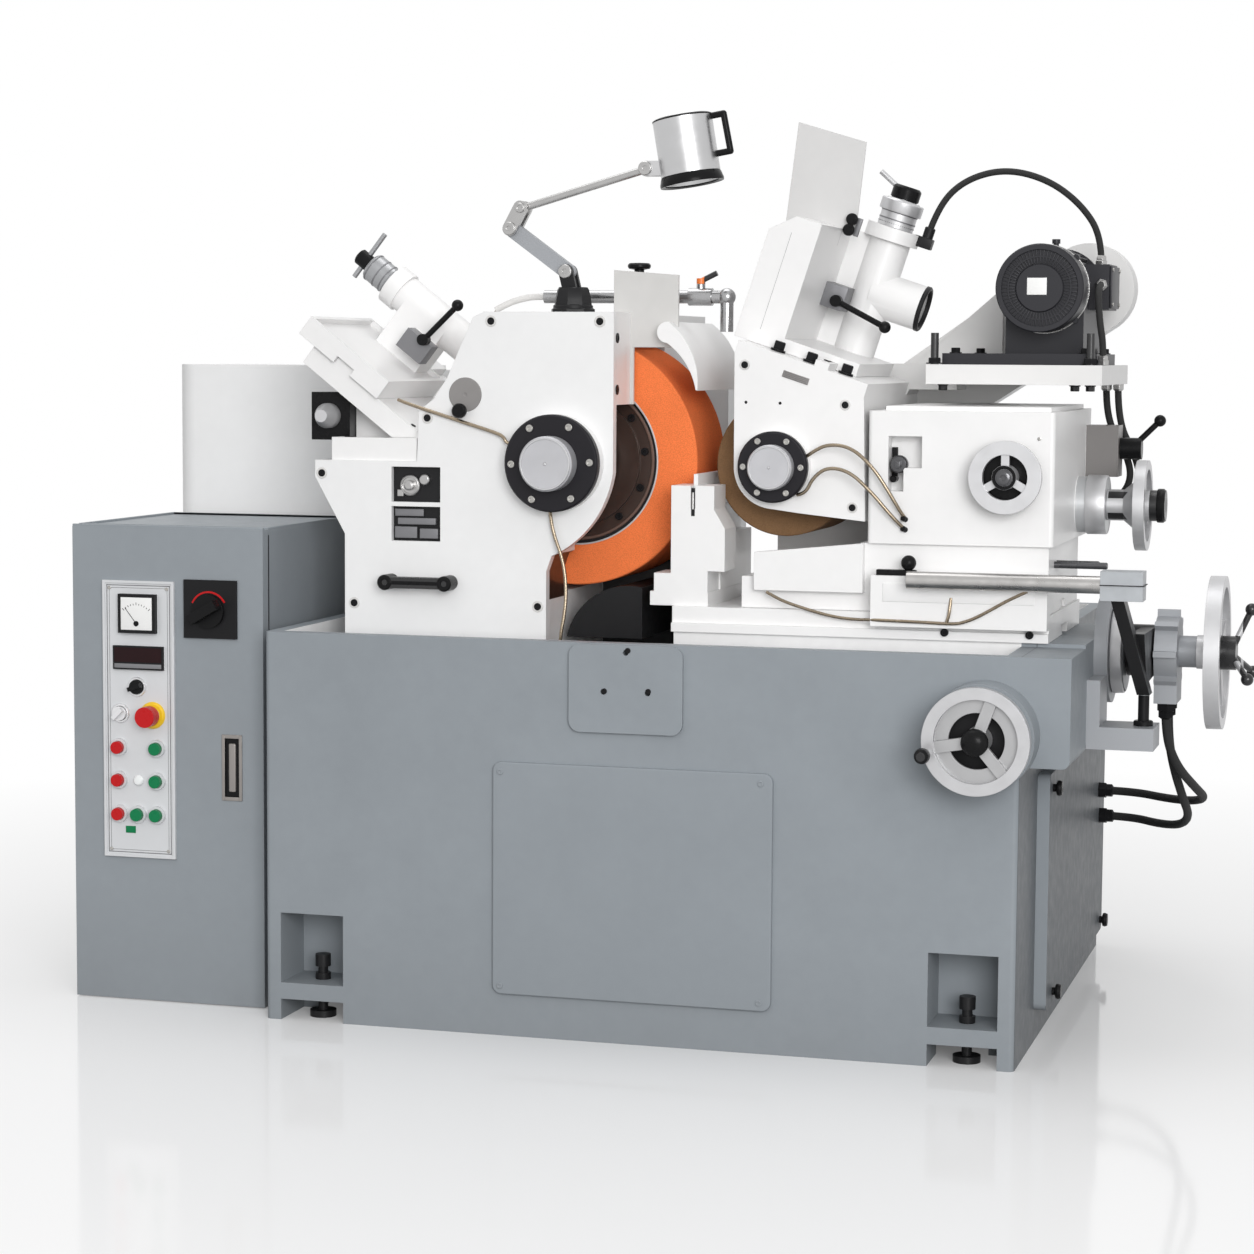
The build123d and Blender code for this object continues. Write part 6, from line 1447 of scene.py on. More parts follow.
    def knobs(self) -> None:
        """Adds the round plate on the head's front and three small knobs."""
        disc = [(31, -1), (31, 2.0), (30, 3), (3.5, 3), (2.5, 2.2), (0, 2.2)]
        Form().lathe(disc, (-357, -409, 1130), sides=56).add("oil_plate", self.body, Dress.PLUG)
        front = [(5, 0), (5, 9), (12, 11), (13.5, 15), (13.5, 22), (11, 26), (0, 27)]
        ledge = [(6, 0), (6, 6), (14, 9), (15, 14), (13, 22), (8, 25), (0, 26)]
        guard = [(9, 0), (9, 5), (19, 7), (21, 10), (21, 14), (18, 17), (0, 18)]
        knobs = Form().lathe(front, (-362, -411, 1101), sides=28)
        knobs.lathe(ledge, (-480, -372, 1050), UP, 28).lathe(guard, (-72, -270, 1352), UP, 36)
        knobs.add("head_knobs", self.body, Dress.PLASTIC)

    def pipes(self) -> None:
        """Adds the thin oil tubes of the head."""
        for name, points in self.tubes.items():
            add_piece(name, tube_mesh(name, points, self.tube_radius), self.body, Dress.BRASS)
        sleeve = tube_mesh("pale_sleeve", self.sleeve, self.sleeve_radius)
        add_piece("pale_sleeve", sleeve, self.body, Dress.SEAT)

    def pan(self) -> None:
        """Adds the rounded black cover over the drain, below the grinding wheel."""
        x, z = self.drain
        arc = [math.radians(78.4 + 5.6 * step) for step in range(17)]
        outline = [(x + self.drain_radius * math.cos(a), z + self.drain_radius * math.sin(a)) for a in arc]
        cover = Form().prism([(outline[0][0], 690.0), *outline], (0, -100, 0), RIGHT, UP, 230.0)
        cover.add("drain_cover", self.body, Dress.BLACK)

    def build(self) -> None:
        """Builds all the trim of the head."""
        self.pan()
        self.screws()
        self.cap()
        self.hub()
        self.windows()
        self.handle()
        self.knobs()
        self.pipes()


@dataclass
class RegulatingTrim:
    """Screws, caps, clamps and tubes on the regulating head and its gearbox. Sizes are in millimetres."""

    body: str = "regulating_head"
    dresser: str = "regulating_dresser"
    slide: str = "upper_slide"
    front: float = -367.0
    spindle: Spot = (209.0, 1008.0)
    cap_front: float = -425.0
    lean: float = 18.0
    axis_depth: float = -20.0
    front_screws: Spots = ((150, 1187), (332, 1118), (347, 938))
    plugs: Spots = ((153, 1121), (215, 1120))
    tube_radius: float = 3.2
    tube_bend: tuple[Point, Point] = ((300, -400, 1010), (440, -390, 920))
    tube_ends: Spot = (920, 902)
    tubes: dict[str, Points] = field(default_factory=lambda: {
        "oil_tube_upper": (
            (266, -385, 1026), (280, -392, 1036), (308, -398, 1050), (350, -402, 1046), (390, -404, 1012),
            (420, -400, 966), (440, -392, 930), (446, -381, 920),
        ),
        "oil_tube_lower": (
            (252, -385, 960), (268, -392, 962), (282, -398, 990), (308, -402, 1010), (348, -404, 1004),
            (388, -404, 968), (420, -398, 930), (440, -390, 908), (446, -381, 902),
        ),
    })

    def axes(self) -> tuple[Point, Point]:
        """Directions along the dresser's axis and to its right."""
        lean = math.radians(self.lean)
        return (math.sin(lean), 0, math.cos(lean)), (math.cos(lean), 0, -math.sin(lean))

    def along(self, rise: float, left: float, y: float) -> Point:
        """Finds a point beside the dresser's axis.

        Args:
            rise: distance from the spindle along the axis.
            left: distance to the left of it.
            y: depth.

        Returns:
            The point.
        """
        up, right = self.axes()
        x, z = self.spindle
        return (x + rise * up[0] - left * right[0], y, z + rise * up[2] - left * right[2])

    def leaning(self) -> Matrix:
        """Matrix that takes upright shapes about the spindle to the dresser's lean."""
        pivot = Matrix.Translation(mm(self.spindle[0], 0, self.spindle[1]))
        return pivot @ Matrix.Rotation(math.radians(self.lean), 4, "Y") @ pivot.inverted()

    def slab(self, form: Form, low: Point, high: Point, round_by: float) -> Form:
        """Adds a leaning box.

        Args:
            form: what the box is added to.
            low: lowest corner, from the spindle in X and Z.
            high: highest corner, likewise.
            round_by: size of the bevel.

        Returns:
            The form.
        """
        x, z = self.spindle
        corners = [(x + corner[0], corner[1], z + corner[2]) for corner in (low, high)]
        return form.box(*corners, round_by, self.leaning())

    def screws(self) -> None:
        """Sets the flange screws and the dark screws of the front."""
        x, z = self.spindle
        ring = ring_of((x, self.front - 33.0, z), 52.0, 6)
        Repeat("regulating_flange_screws", cap_screw(5.6, 3.6), ring).build(self.body, Dress.SCREW)
        places = [(x, self.front, z) for x, z in self.front_screws]
        Repeat("regulating_screw_seats", seat_ring(9.5, 6.0), places).build(self.body, Dress.SEAT)
        Repeat("regulating_front_screws", cap_screw(6.0, 1.6), places).build(self.body, Dress.BLACK_SCREW)

    def cap(self) -> None:
        """Adds the turned rim and the centre mark of the bearing cap."""
        middle = (self.spindle[0], self.cap_front, self.spindle[1])
        form = Form().rim(34.8, 38, 1.3, 0.5, middle, FRONT, 56)
        form.lathe([(0, 0.0), (2.6, 0.0), (1.8, 0.8), (0, 0.8)], middle, sides=18)
        form.add("regulating_cap_rim", self.body, Dress.ALUMINIUM)

    def clamps(self) -> None:
        """Adds grey faces on the clamp block and knobs at the splash plate and saddle."""
        face = self.slab(Form(), (-72.6, -109.6, 281.4), (-29.4, -49.0, 326.6), 1.5)
        face.add("dresser_clamp_face", self.dresser, Dress.CLAMP)
        knobs = Form()
        for rise in (428, 448):
            profile = [(5, 0), (5, 4), (10, 5), (11, 8), (11, 14), (8, 16), (0, 16)]
            knobs.lathe(profile, self.along(rise, 58, -123), sides=24)
        self.slab(knobs, (-72.6, -24, 386), (-71.0, -15, 412), 0.5)
        knobs.add("splash_knobs", self.dresser, Dress.PLASTIC)
        seam = self.slab(Form(), (-120.25, -300.3, 216), (-119.75, -299.6, 396), 0.0)
        self.slab(seam, (-50, -126, 420), (-41, -117, 454), 1.0).add("box_seam", self.dresser, Dress.CLAMP)
        bolts = [self.along(190.5, left, y) for left, y in ((72, -322), (8, -330), (-58, -325))]
        saddle = Repeat("saddle_bolts", hex_head(11.0, 18.0), bolts, self.axes()[:1])
        saddle.build(self.body, Dress.BLACK_SCREW)

    def dials(self) -> None:
        """Adds the ring and the black knob of the dresser's crank and the ring of the side boss."""
        up, right = self.axes()
        crank = "regulating_crank"
        ring = [(33.5, 0), (39, 0), (40, 2), (40, 20), (38.5, 22), (33.5, 22)]
        base = self.along(484, 0, self.axis_depth)
        Form().lathe(ring, base, up, 56, True).add("crank_ring", crank, Dress.ALUMINIUM)
        knob = [(24, 0), (27, 1), (27, 20), (25, 23), (0, 23)]
        top = self.along(509.5, 0, self.axis_depth)
        Form().lathe(knob, top, up).add("crank_knob", crank, Dress.PLASTIC)
        boss = [(35, 0), (43, 0), (43, 6), (41, 8), (37, 8), (35, 6)]
        end = self.along(330, -95, self.axis_depth)
        Form().lathe(boss, end, right, 56, True).add("boss_ring", self.dresser, Dress.BLACK)

    def hose_seat(self) -> None:
        """Adds the lug and the sleeve that hold the dresser hose beside the collar."""
        lug = self.slab(Form(), (42, -32, 436), (77, -8, 456), 2.0)
        sleeve = [(8.2, -4), (10, -3), (10, 20), (8.2, 22)]
        lug.lathe(sleeve, self.along(454, -64, self.axis_depth), self.axes()[0], 24, True)
        lug.add("hose_seat", self.dresser, Dress.BLACK)

    def plates(self) -> None:
        """Adds the small ribbed plate and the plugged holes of the head's front."""
        plate = self.slab(Form(), (-41, self.front - 1.4, 154), (8, self.front + 0.2, 166), 0.4)
        for rise in (155.6, 158.4, 161.2, 164.0):
            self.slab(plate, (-39, self.front - 2.4, rise), (6, self.front - 1.0, rise + 1.3), 0.3)
        plate.add("ribbed_plate", self.body, Dress.PLUG, "aluminium")
        plugs = Form()
        for x, z in self.plugs:
            plugs.lathe([(0, 0), (2.8, 0), (2.4, 0.5), (0, 0.5)], (x, self.front, z), sides=16)
        plugs.add("head_plugs", self.body, Dress.BLACK)

    def oil_tubes(self) -> None:
        """Adds the two bent oil tubes that run from the head to the gearbox, with their placing baked in."""
        for name, points in self.tubes.items():
            tube = link(name, tube_mesh(name, points, self.tube_radius))
            paint(tube.data, Dress.BRASS)
            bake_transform(tube)
            LOG.info("%s: %d faces", name, len(tube.data.polygons))
        ends = Form()
        for z in self.tube_ends:
            ends.lathe([(5, 0), (5, 10), (3.5, 12), (0, 12)], (445, -380, z), (-0.35, -0.9, 0.3), 16)
        ends.add("oil_tube_ends", self.slide, Dress.PLASTIC)

    def window(self) -> None:
        """Adds the change knob in the gearbox window and the gearbox screw."""
        knob = [(9, 0), (9, 14), (14, 16), (16, 20), (16, 27), (13, 31), (0, 32)]
        form = Form().lathe(knob, (431, -350, 1016), sides=28)
        form.box((426, -392, 1010), (436, -378, 1022), 1.5).add("change_knob", self.slide, Dress.KNOB)
        stop = Form().lathe([(6, 0), (6, 22), (4, 24), (0, 24)], (420, -349, 990), sides=20)
        stop.box((414, -352, 985), (424, -346, 1045), 1.0).add("change_stop", self.slide, Dress.PLASTIC)
        Repeat("gearbox_screws", cap_screw(3.2, 1.5), [(676, -381, 1064)]).build(self.slide, Dress.SCREW)

    def build(self) -> None:
        """Builds all the trim of the regulating side."""
        self.screws()
        self.cap()
        self.clamps()
        self.dials()
        self.hose_seat()
        self.plates()
        self.oil_tubes()
        self.window()


@dataclass
class PanelTrim:
    """Fittings of the control panel and the cabinet door. Sizes are in millimetres."""

    body: str = "door"
    face: float = -510.0
    door: float = -506.0
    meter_front: float = -522.4
    pivot: Spot = (-956, 706)
    display_depths: Spot = (-517.6, -516.5)
    buttons: Spots = (
        (-997, 475), (-997, 414), (-997, 351), (-921, 475), (-921, 414), (-959, 351), (-921, 351),
    )
    knobs: Spots = ((-960, 588), (-994, 538))
    switch: Spot = (-816, 732)
    panel: tuple[float, float, float, float] = (-1021.0, -894.0, 278.0, 776.0)
    cabinet_top: Spot = (881, 886)

    def meter(self) -> None:
        """Adds the white dial of the load meter with its marks and pointer."""
        front = self.meter_front
        Form().box((-987, front, 694), (-925, -521, 754), 0.4).add("meter_dial", self.body, Dress.DIAL)
        pivot = (self.pivot[0], front, self.pivot[1])
        centre = Matrix.Translation(mm(*pivot))
        marks = Form()
        for step in range(11):
            swing = math.radians(9 * step - 45)
            length = 5.0 if step % 5 == 0 else 3.0
            marks.box((-0.5, -0.3, 34), (0.5, 0.2, 34 + length), 0.0, centre @ Matrix.Rotation(swing, 4, "Y"))
        needle = centre @ Matrix.Rotation(math.radians(-38), 4, "Y")
        marks.box((-0.5, -0.5, 4), (0.5, 0.2, 36), 0.0, needle)
        marks.lathe([(5, 0), (5, 1.2), (4, 1.6), (0, 1.6)], pivot, sides=20)
        marks.add("meter_marks", self.body, Dress.PLASTIC)

    def display(self) -> None:
        """Adds the dark speed display and its pale strip."""
        front, back = self.display_depths
        Form().box((-1003, front, 634), (-909, back, 661), 0.3).add("speed_display", self.body, Dress.SCREEN)
        strip = Form().box((-1003, front, 623), (-909, back, 631), 0.3)
        strip.add("display_strip", self.body, Dress.CLAMP, "panel_plate")

    def rings(self) -> None:
        """Adds the bezels of the buttons, knobs, switch and lamps."""
        bezel = [(11.6, 0), (16.5, 0), (16.5, 2.5), (15, 4.2), (12.6, 4.2), (11.6, 3)]
        shape = Form().lathe(bezel, ORIGIN, UP, 36, True).mesh_data("bezel")
        places = [(x, self.face, z) for x, z in self.buttons]
        Repeat("button_bezels", shape, places).build(self.body, Dress.BEZEL)
        collar = [(13.6, 0), (18, 0), (18, 3), (16.5, 5), (14.4, 5), (13.6, 4)]
        collars = Form()
        for x, z in self.knobs:
            collars.lathe(collar, (x, self.face, z), sides=36, hollow=True)
        collars.add("knob_bezels", self.body, Dress.BEZEL)
        stop = [(11, 0), (25, 0), (25, 2.5), (22, 6), (11, 6)]
        yellow = Form().lathe(stop, (-930, self.face, 536), sides=44, hollow=True)
        yellow.add("stop_ring", self.body, Dress.YELLOW)
        arc = [math.radians(28 + 8 * step) for step in range(17)]
        bow = [(37.0, angle) for angle in arc] + [(33.5, angle) for angle in arc[::-1]]
        outline = [(reach * math.cos(angle), reach * math.sin(angle)) for reach, angle in bow]
        red = Form().prism(outline, (self.switch[0], -511.8, self.switch[1]), RIGHT, UP, 1.4)
        red.add("switch_ring", self.body, Dress.RED)
        lamp = Form().lathe([(10, 0), (10, 3), (7.5, 6), (0, 7.5)], (-959, self.face, 414), sides=28)
        lamp.add("ready_lamp", self.body, Dress.LENS)
        tag = Form().box((-986, self.face - 1.2, 315), (-966, self.face + 0.4, 328), 0.5)
        tag.add("green_tag", self.body, Dress.GREEN)

    def plate(self) -> None:
        """Adds the panel's two border lines and its corner screws."""
        border = Form()
        for inset, width in ((0.0, 1.6), (5.0, 0.8)):
            left, right, low, high = [edge + inset * way for edge, way in zip(self.panel, (1, -1, 1, -1))]
            for a, b in (
                ((left, low), (right, low + width)), ((left, high - width), (right, high)),
                ((left, low), (left + width, high)), ((right - width, low), (right, high)),
            ):
                border.box((a[0], self.face - 0.25, a[1]), (b[0], self.face + 0.2, b[1]), 0.0)
        border.add("panel_border", self.body, Dress.CLAMP, "panel_plate")
        places = [(x, self.face, z) for x in (-1015, -900) for z in (284, 770)]
        Repeat("panel_screws", cap_screw(3.4, 1.6), places).build(self.body, Dress.SCREW)

    def pull(self) -> None:
        """Adds the nickel frame and the dark recess of the door's flush pull."""
        rim = Form()
        for left, right, low, high in (
            (-794, -788, 384, 506), (-760, -754, 384, 506), (-788, -760, 384, 391), (-788, -760, 499, 506),
        ):
            rim.box((left, self.door - 2.4, low), (right, self.door + 1.0, high), 0.7)
        rim.box((-781, self.door - 0.8, 400), (-767, self.door + 3.0, 490), 3.0)
        rim.add("pull_frame", self.body, Dress.NICKEL)
        recess = Form().box((-788.5, self.door + 1.6, 390), (-759.5, self.door + 4.0, 500), 0.0)
        recess.add("pull_recess", self.body, Dress.PLASTIC)

    def cabinet(self) -> None:
        """Adds the seam beside the door and the lip round the cabinet's top, which the door continues."""
        Form().box((-713.0, -480.0, 12), (-711.5, -477.0, 872), 0.0).add("door_seam", "bed", Dress.BLACK)
        low, high = self.cabinet_top
        lip = Form()
        for left, right, front, back in (
            (-1091, -712, -480, -474), (-1091, -712, -71, -65), (-1091, -1085, -474, -71),
            (-718, -712, -474, -71),
        ):
            lip.box((left, front, low), (right, back, high), 0.8)
        lip.add("cabinet_lip", "bed", Dress.GREY)
        Form().box((-1091, -505.5, low), (-712, -498, high), 0.8).add("door_lip", self.body, Dress.GREY)

    def build(self) -> None:
        """Builds all the fittings of the door and the cabinet."""
        self.meter()
        self.display()
        self.rings()
        self.plate()
        self.pull()
        self.cabinet()


@dataclass
class LampTrim:
    """Shell, rim, loop and lens of the lamp, and the caps of its joints. Sizes are in millimetres."""

    rim: Spot = (44.0, 1510.0)
    top: Spot = (24.0, 1626.0)
    depth: float = -340.0
    radius: float = 52.0
    flutes: int = 26
    loop_radius: float = 5.8
    cap_front: float = -358.0
    pivot: Spot = (-186, 1352)
    elbow: Spot = (-292, 1429)
    foot: Point = (-176, -340, 1279.5)

    def axis(self) -> Vector:
        """Way from the mouth to the top."""
        return Vector((self.top[0] - self.rim[0], 0.0, self.top[1] - self.rim[1]))

    def along(self, rise: float, side: float = 0.0) -> Point:
        """Finds a point beside the lamp's axis.

        Args:
            rise: distance above the mouth.
            side: distance to the right.

        Returns:
            The point.
        """
        x, z = self.rim
        way = self.axis().normalized()
        return (x + way.x * rise + way.z * side, self.depth, z + way.z * rise - way.x * side)

    def shell(self) -> None:
        """Adds the fluted shell."""
        axis = self.axis().normalized()
        reach = self.radius + 1.3
        angles = [2 * math.pi * step / self.flutes for step in range(self.flutes)]
        outline = [(reach * math.cos(angle), reach * math.sin(angle)) for angle in angles]
        side = Vector((axis.z, 0.0, -axis.x))
        form = Form().prism(outline, self.along(14), side, axis.cross(side), self.axis().length - 19)
        form.add("lamp_shell", "lamp_head", Dress.CHROME)

    def head(self) -> None:
        """Adds the black rim, top and loop, and the lens."""
        axis, base, end = self.axis(), self.along(0), self.axis().length
        mouth = [(48.5, -2), (57.0, -4), (57.5, 0), (54.2, 12), (52.2, 14), (48.5, 4)]
        lid = [(0, -1), (50, -1), (53.8, -3), (53.8, -5), (49, -5), (49, -3), (0, -3)]
        black = Form().lathe(mouth, base, axis, 64, True)
        black.lathe([(radius, end + drop) for radius, drop in lid], base, axis, 64)
        low, high = end * 0.35, end * 0.92
        for start, stop in (((low, 50), (low, 78)), ((high, 48), (high, 76)), ((low, 78), (high, 76))):
            first, last = self.along(*start), self.along(*stop)
            bar = Vector(last) - Vector(first)
            black.lathe([(self.loop_radius, 0), (self.loop_radius, bar.length)], first, bar, 20)
        black.ball(self.along(low, 78), self.loop_radius).ball(self.along(high, 76), self.loop_radius)
        black.add("lamp_rim", "lamp_head", Dress.PLASTIC)
        lens = Form().lathe([(0, 6), (47.8, 6), (47.8, 9), (0, 9)], base, axis, 56)
        lens.add("lamp_lens", "lamp_head", Dress.LENS)

    def joints(self) -> None:
        """Adds the washers of the arm's joints and the strap along the lower arm."""
        for name, body, (x, z), radius in (
            ("lamp_pivot_cap", "lamp_lower", self.pivot, 12.5),
            ("lamp_elbow_cap", "lamp_upper", self.elbow, 12.0),
            ("lamp_bend_cap", "lamp_upper", (-272, 1466), 9.0),
            ("lamp_knuckle_cap", "lamp_head", (-38, 1534), 12.5),
        ):
            washer = [(radius, 0), (radius, 2), (radius - 1.5, 3.4), (4.6, 3.4), (4.6, 1.4), (0, 1.4)]
            disc = Form().lathe(washer, (x, self.cap_front, z), sides=32)
            disc.lathe([(6, -10), (6, 0)], (x, self.cap_front, z), sides=20)
            disc.add(name, body, Dress.STEEL)
        reach = Vector((self.elbow[0] - self.pivot[0], 0, self.elbow[1] - self.pivot[1]))
        swing = Vector(UP).rotation_difference(reach).to_matrix().to_4x4()
        turn = Matrix.Translation(mm(self.pivot[0], self.depth, self.pivot[1])) @ swing
        strap = Form().box((-9, -1.5, 14), (9, 11.5, reach.length - 14), 1.5, turn)
        strap.add("lamp_strap", "lamp_lower", Dress.PLASTIC)

    def base(self) -> None:
        """Adds the faceted foot under the lamp's post."""
        profile = [(41, 0), (41, 5), (36, 8), (34, 22), (30, 40), (27, 44)]
        Form().lathe(profile, self.foot, UP, 8).add("lamp_foot", "lamp_base", Dress.BLACK)

    def build(self) -> None:
        """Builds all the trim of the lamp."""
        self.shell()
        self.head()
        self.joints()
        self.base()


@dataclass
class MotorTrim:
    """Grille, fins, bolts and glands of the regulating motor. Sizes are in millimetres."""

    body: str = "regulating_head"
    middle: Spot = (646.0, 1326.0)
    front: float = -200.0
    fins_start: float = -124.0
    table_top: float = 1191.0
    posts: Spot = (465, 742)
    glands: tuple[tuple[Point, Point], ...] = (((739, -60, 1335), FRONT), ((726, 30, 1372), UP))

    def around(self, y: float, radius: float, count: int) -> list[tuple[Point, Point]]:
        """Finds places round the motor's axis.

        Args:
            y: depth.
            radius: distance from the axis.
            count: number of places.

        Returns:
            The places with their outward directions.
        """
        x, z = self.middle
        places = ring_of((x, y, z), radius, count)
        return [(place, ((place[0] - x) / radius, 0.0, (place[2] - z) / radius)) for place in places]

    def cover(self) -> None:
        """Adds the grille of the fan cover, its band and its blank plate."""
        x, z = self.middle
        face = (x, self.front, z)
        rib = Form().box((-1.1, -3.2, 0), (1.1, 0.5, 24), 0.5).mesh_data("grille_rib")
        Repeat("fan_grille", rib, *zip(*self.around(self.front, 44.0, 60))).build(self.body, Dress.MOTOR)
        rings = Form().lathe([(43.0, -3.0), (43.0, 2.2), (41.0, 4.2), (0.0, 4.2)], face, sides=56)
        outer = [(67.5, -3.0), (78.6, -3.0), (78.6, 2.5), (76.6, 4.5), (68.5, 4.5), (67.5, 3.5)]
        rings.lathe(outer, face, sides=64, hollow=True)
        rings.ring(54.5, 57.0, 3.8, face, sides=56).add("fan_rings", self.body, Dress.MOTOR)
        Form().ring(78.2, 80.0, 6.0, face, BACK, 64, 66.0).add("fan_band", self.body, Dress.STEEL)
        plate = Form().box((x - 22, self.front - 5.0, z - 12), (x + 13, self.front - 4.0, z + 18), 0.3)
        plate.add("fan_plate", self.body, Dress.DIAL)

    def casing(self) -> None:
        """Adds the cooling fins, the end shield with its lugs and the lifting stud."""
        x, z = self.middle
        fin = Form().box((-1.4, 0, -3), (1.4, 196, 7), 0.6).mesh_data("cooling_fin")
        kept = []
        for place, way in self.around(self.fins_start, 70.0, 36):
            at_box = way[0] > 0.62 and abs(way[2]) < 0.72
            if way[2] > -0.62 and not at_box:
                kept.append((place, way))
        Repeat("cooling_fins", fin, *zip(*kept)).build(self.body, Dress.MOTOR)
        rim = [(60, 0), (79, 0), (79, 12), (75, 18), (60, 18)]
        shield = Form().lathe(rim, (x, 76, z), BACK, 48, True)
        for lug in ring_of((x, -128, z), 78.0, 4, start=45.0):
            shield.lathe([(6, -12), (6, 10), (4, 11), (0, 11)], lug, BACK, 18)
        stud = [(5, 0), (5, 16), (7.5, 16), (7.5, 24), (0, 24)]
        shield.lathe(stud, (x + 6, -40, z + 68), UP, 20).add("motor_shield", self.body, Dress.MOTOR)

    def terminals(self) -> None:
        """Adds the box lid, its screws and the cable glands."""
        Form().box((752, -57, 1293), (757, 57, 1369)).add("motor_box_lid", self.body, Dress.MOTOR)
        places = [(757, y, z) for y in (-50, 50) for z in (1300, 1362)]
        Repeat("motor_box_screws", cap_screw(3.6, 2.0), places, (RIGHT,)).build(self.body, Dress.SCREW)
        nut, bore = [(11, 0), (11, 9), (9.5, 10), (9.5, 16)], (6.1, 0)
        nuts = Form()
        for place, way in self.glands:
            nuts.lathe([*nut, (7.5, 19), (6.1, 19), bore], place, way, 6, True)
        nuts.lathe([*nut, (6.1, 18), bore], (754, -148, 1190), UP, 6, True)
        nuts.add("cable_glands", self.body, Dress.STEEL)

    def bolts(self) -> None:
        """Adds nuts on the table's posts, bolts in the motor's feet and bolts under the table."""
        feet = [(x, y, 1210) for x in (496, 728) for y in (-190, 90)]
        for name, shape, places, way in (
            ("table_nuts", hex_head(12.0, 11.0), [(x, -230, self.table_top) for x in self.posts], UP),
            ("foot_bolts", hex_head(9.0, 10.0), feet, UP),
            ("table_bolts", hex_head(8.0, 11.0), [(x, -225, 1155) for x in (480, 715, 742)], DOWN),
        ):
            Repeat(name, shape, places, (way,)).build(self.body, Dress.BLACK_SCREW)

    def build(self) -> None:
        """Builds all the trim of the motor."""
        self.cover()
        self.casing()
        self.terminals()
        self.bolts()


@dataclass
class WheelTrim:
    """Caps, dishes and knobs of the handwheels, and the slide's stop. Sizes are in millimetres."""

    front_hub: Point = (622, -687, 573)
    front_grip: Point = (540, -683.2, 551)
    tilt_dish: Point = (624, -397.5, 998)
    tilt_hub: Point = (624, -435.5, 998)
    speed_axis: Point = (0, -55, 937)
    rest_front: float = -380.8
    stop: Point = (456, -405, 846)
    rods: Spots = ((-300, 96), (-268, 78))

    def front(self) -> None:
        """Adds the black dome and the grip of the front handwheel."""
        dome = [(23, -2), (23, 3), (21, 8), (15, 13), (8, 15.5), (0, 16)]
        grip = [(7, 0), (8, 6), (10, 14), (12.5, 24), (13.5, 32), (12, 40), (7, 45), (0, 46)]
        form = Form().lathe(dome, self.front_hub).lathe(grip, self.front_grip, sides=28)
        form.add("front_dome", "front_wheel", Dress.PLASTIC)

    def tilt(self) -> None:
        """Adds the dark dish and the centre screw of the tilt wheel."""
        wheel = "tilt_wheel"
        Form().ring(14, 50, 1.2, self.tilt_dish, sides=48).add("tilt_dish", wheel, Dress.PLASTIC)
        screw = [(15, 0), (15, 1.5), (12, 3), (12, 6), (9, 7.5), (5, 7.5), (5, 4), (0, 4)]
        Form().lathe(screw, self.tilt_hub, sides=32).add("tilt_screw", wheel, Dress.KNOB)
        ring = Form().lathe([(15, 0), (21, 0), (20, 2.0), (16, 2.0)], self.tilt_hub, sides=36, hollow=True)
        ring.add("tilt_ring", wheel, Dress.PLASTIC)

    def speed(self) -> None:
        """Adds the dish, the end disc and the drum ring of the speed handwheel."""
        dish = [
            (18.6, 786), (27, 786), (29, 788), (44, 806), (50, 809), (66, 811), (66, 815), (48, 815),
            (18.6, 801),
        ]
        Form().lathe(dish, self.speed_axis, RIGHT, 56, True).add("speed_dish", "speed_wheel", Dress.SPEED)
        disc = [(18, 847), (30, 847), (31, 849), (31, 858), (28, 861.5), (0, 862.5)]
        Form().lathe(disc, self.speed_axis, RIGHT, 48).add("speed_disc", "speed_wheel", Dress.PLASTIC)
        drum = [(50.5, 721), (53.4, 721), (54, 722), (54, 755), (52.5, 757.6), (50.5, 757.6)]
        Form().lathe(drum, self.speed_axis, RIGHT, 64, True).add("drum_ring", "upper_slide", Dress.ALUMINIUM)

    def rest(self) -> None:
        """Adds the dark slot and the pin on the work rest's front."""
        slot = Form().box((58, self.rest_front, 918), (64.5, -378, 968), 0.3)
        slot.add("rest_slot", "lower_slide", Dress.BLACK)
        pin = Form().lathe([(2.4, 0), (2.4, 30), (0, 31)], (61.2, self.rest_front + 0.2, 930), UP, 14)
        pin.add("rest_pin", "lower_slide", Dress.STEEL)

    def stop_bar(self) -> None:
        """Adds the black ball and bar of the slide's stop, and the guide rods."""
        x, y, z = self.stop
        knob = Form().ball(self.stop, 13.5).lathe([(5, 0), (5, 16)], (x, y, z - 22), UP, 18)
        knob.box((x - 56, y - 8, z - 24), (x + 14, y + 8, z - 12), 2.0)
        knob.add("stop_knob", "upper_slide", Dress.PLASTIC)
        rods = Form()
        for depth, length in self.rods:
            rods.lathe([(6, 0), (6, length), (4.5, length + 2)], (690, depth, 842), RIGHT, 20)
        rods.add("guide_rods", "upper_slide", Dress.KNOB)

    def build(self) -> None:
        """Builds the trim of the handwheels, the work rest and the stop."""
        self.front()
        self.tilt()
        self.speed()
        self.rest()
        self.stop_bar()


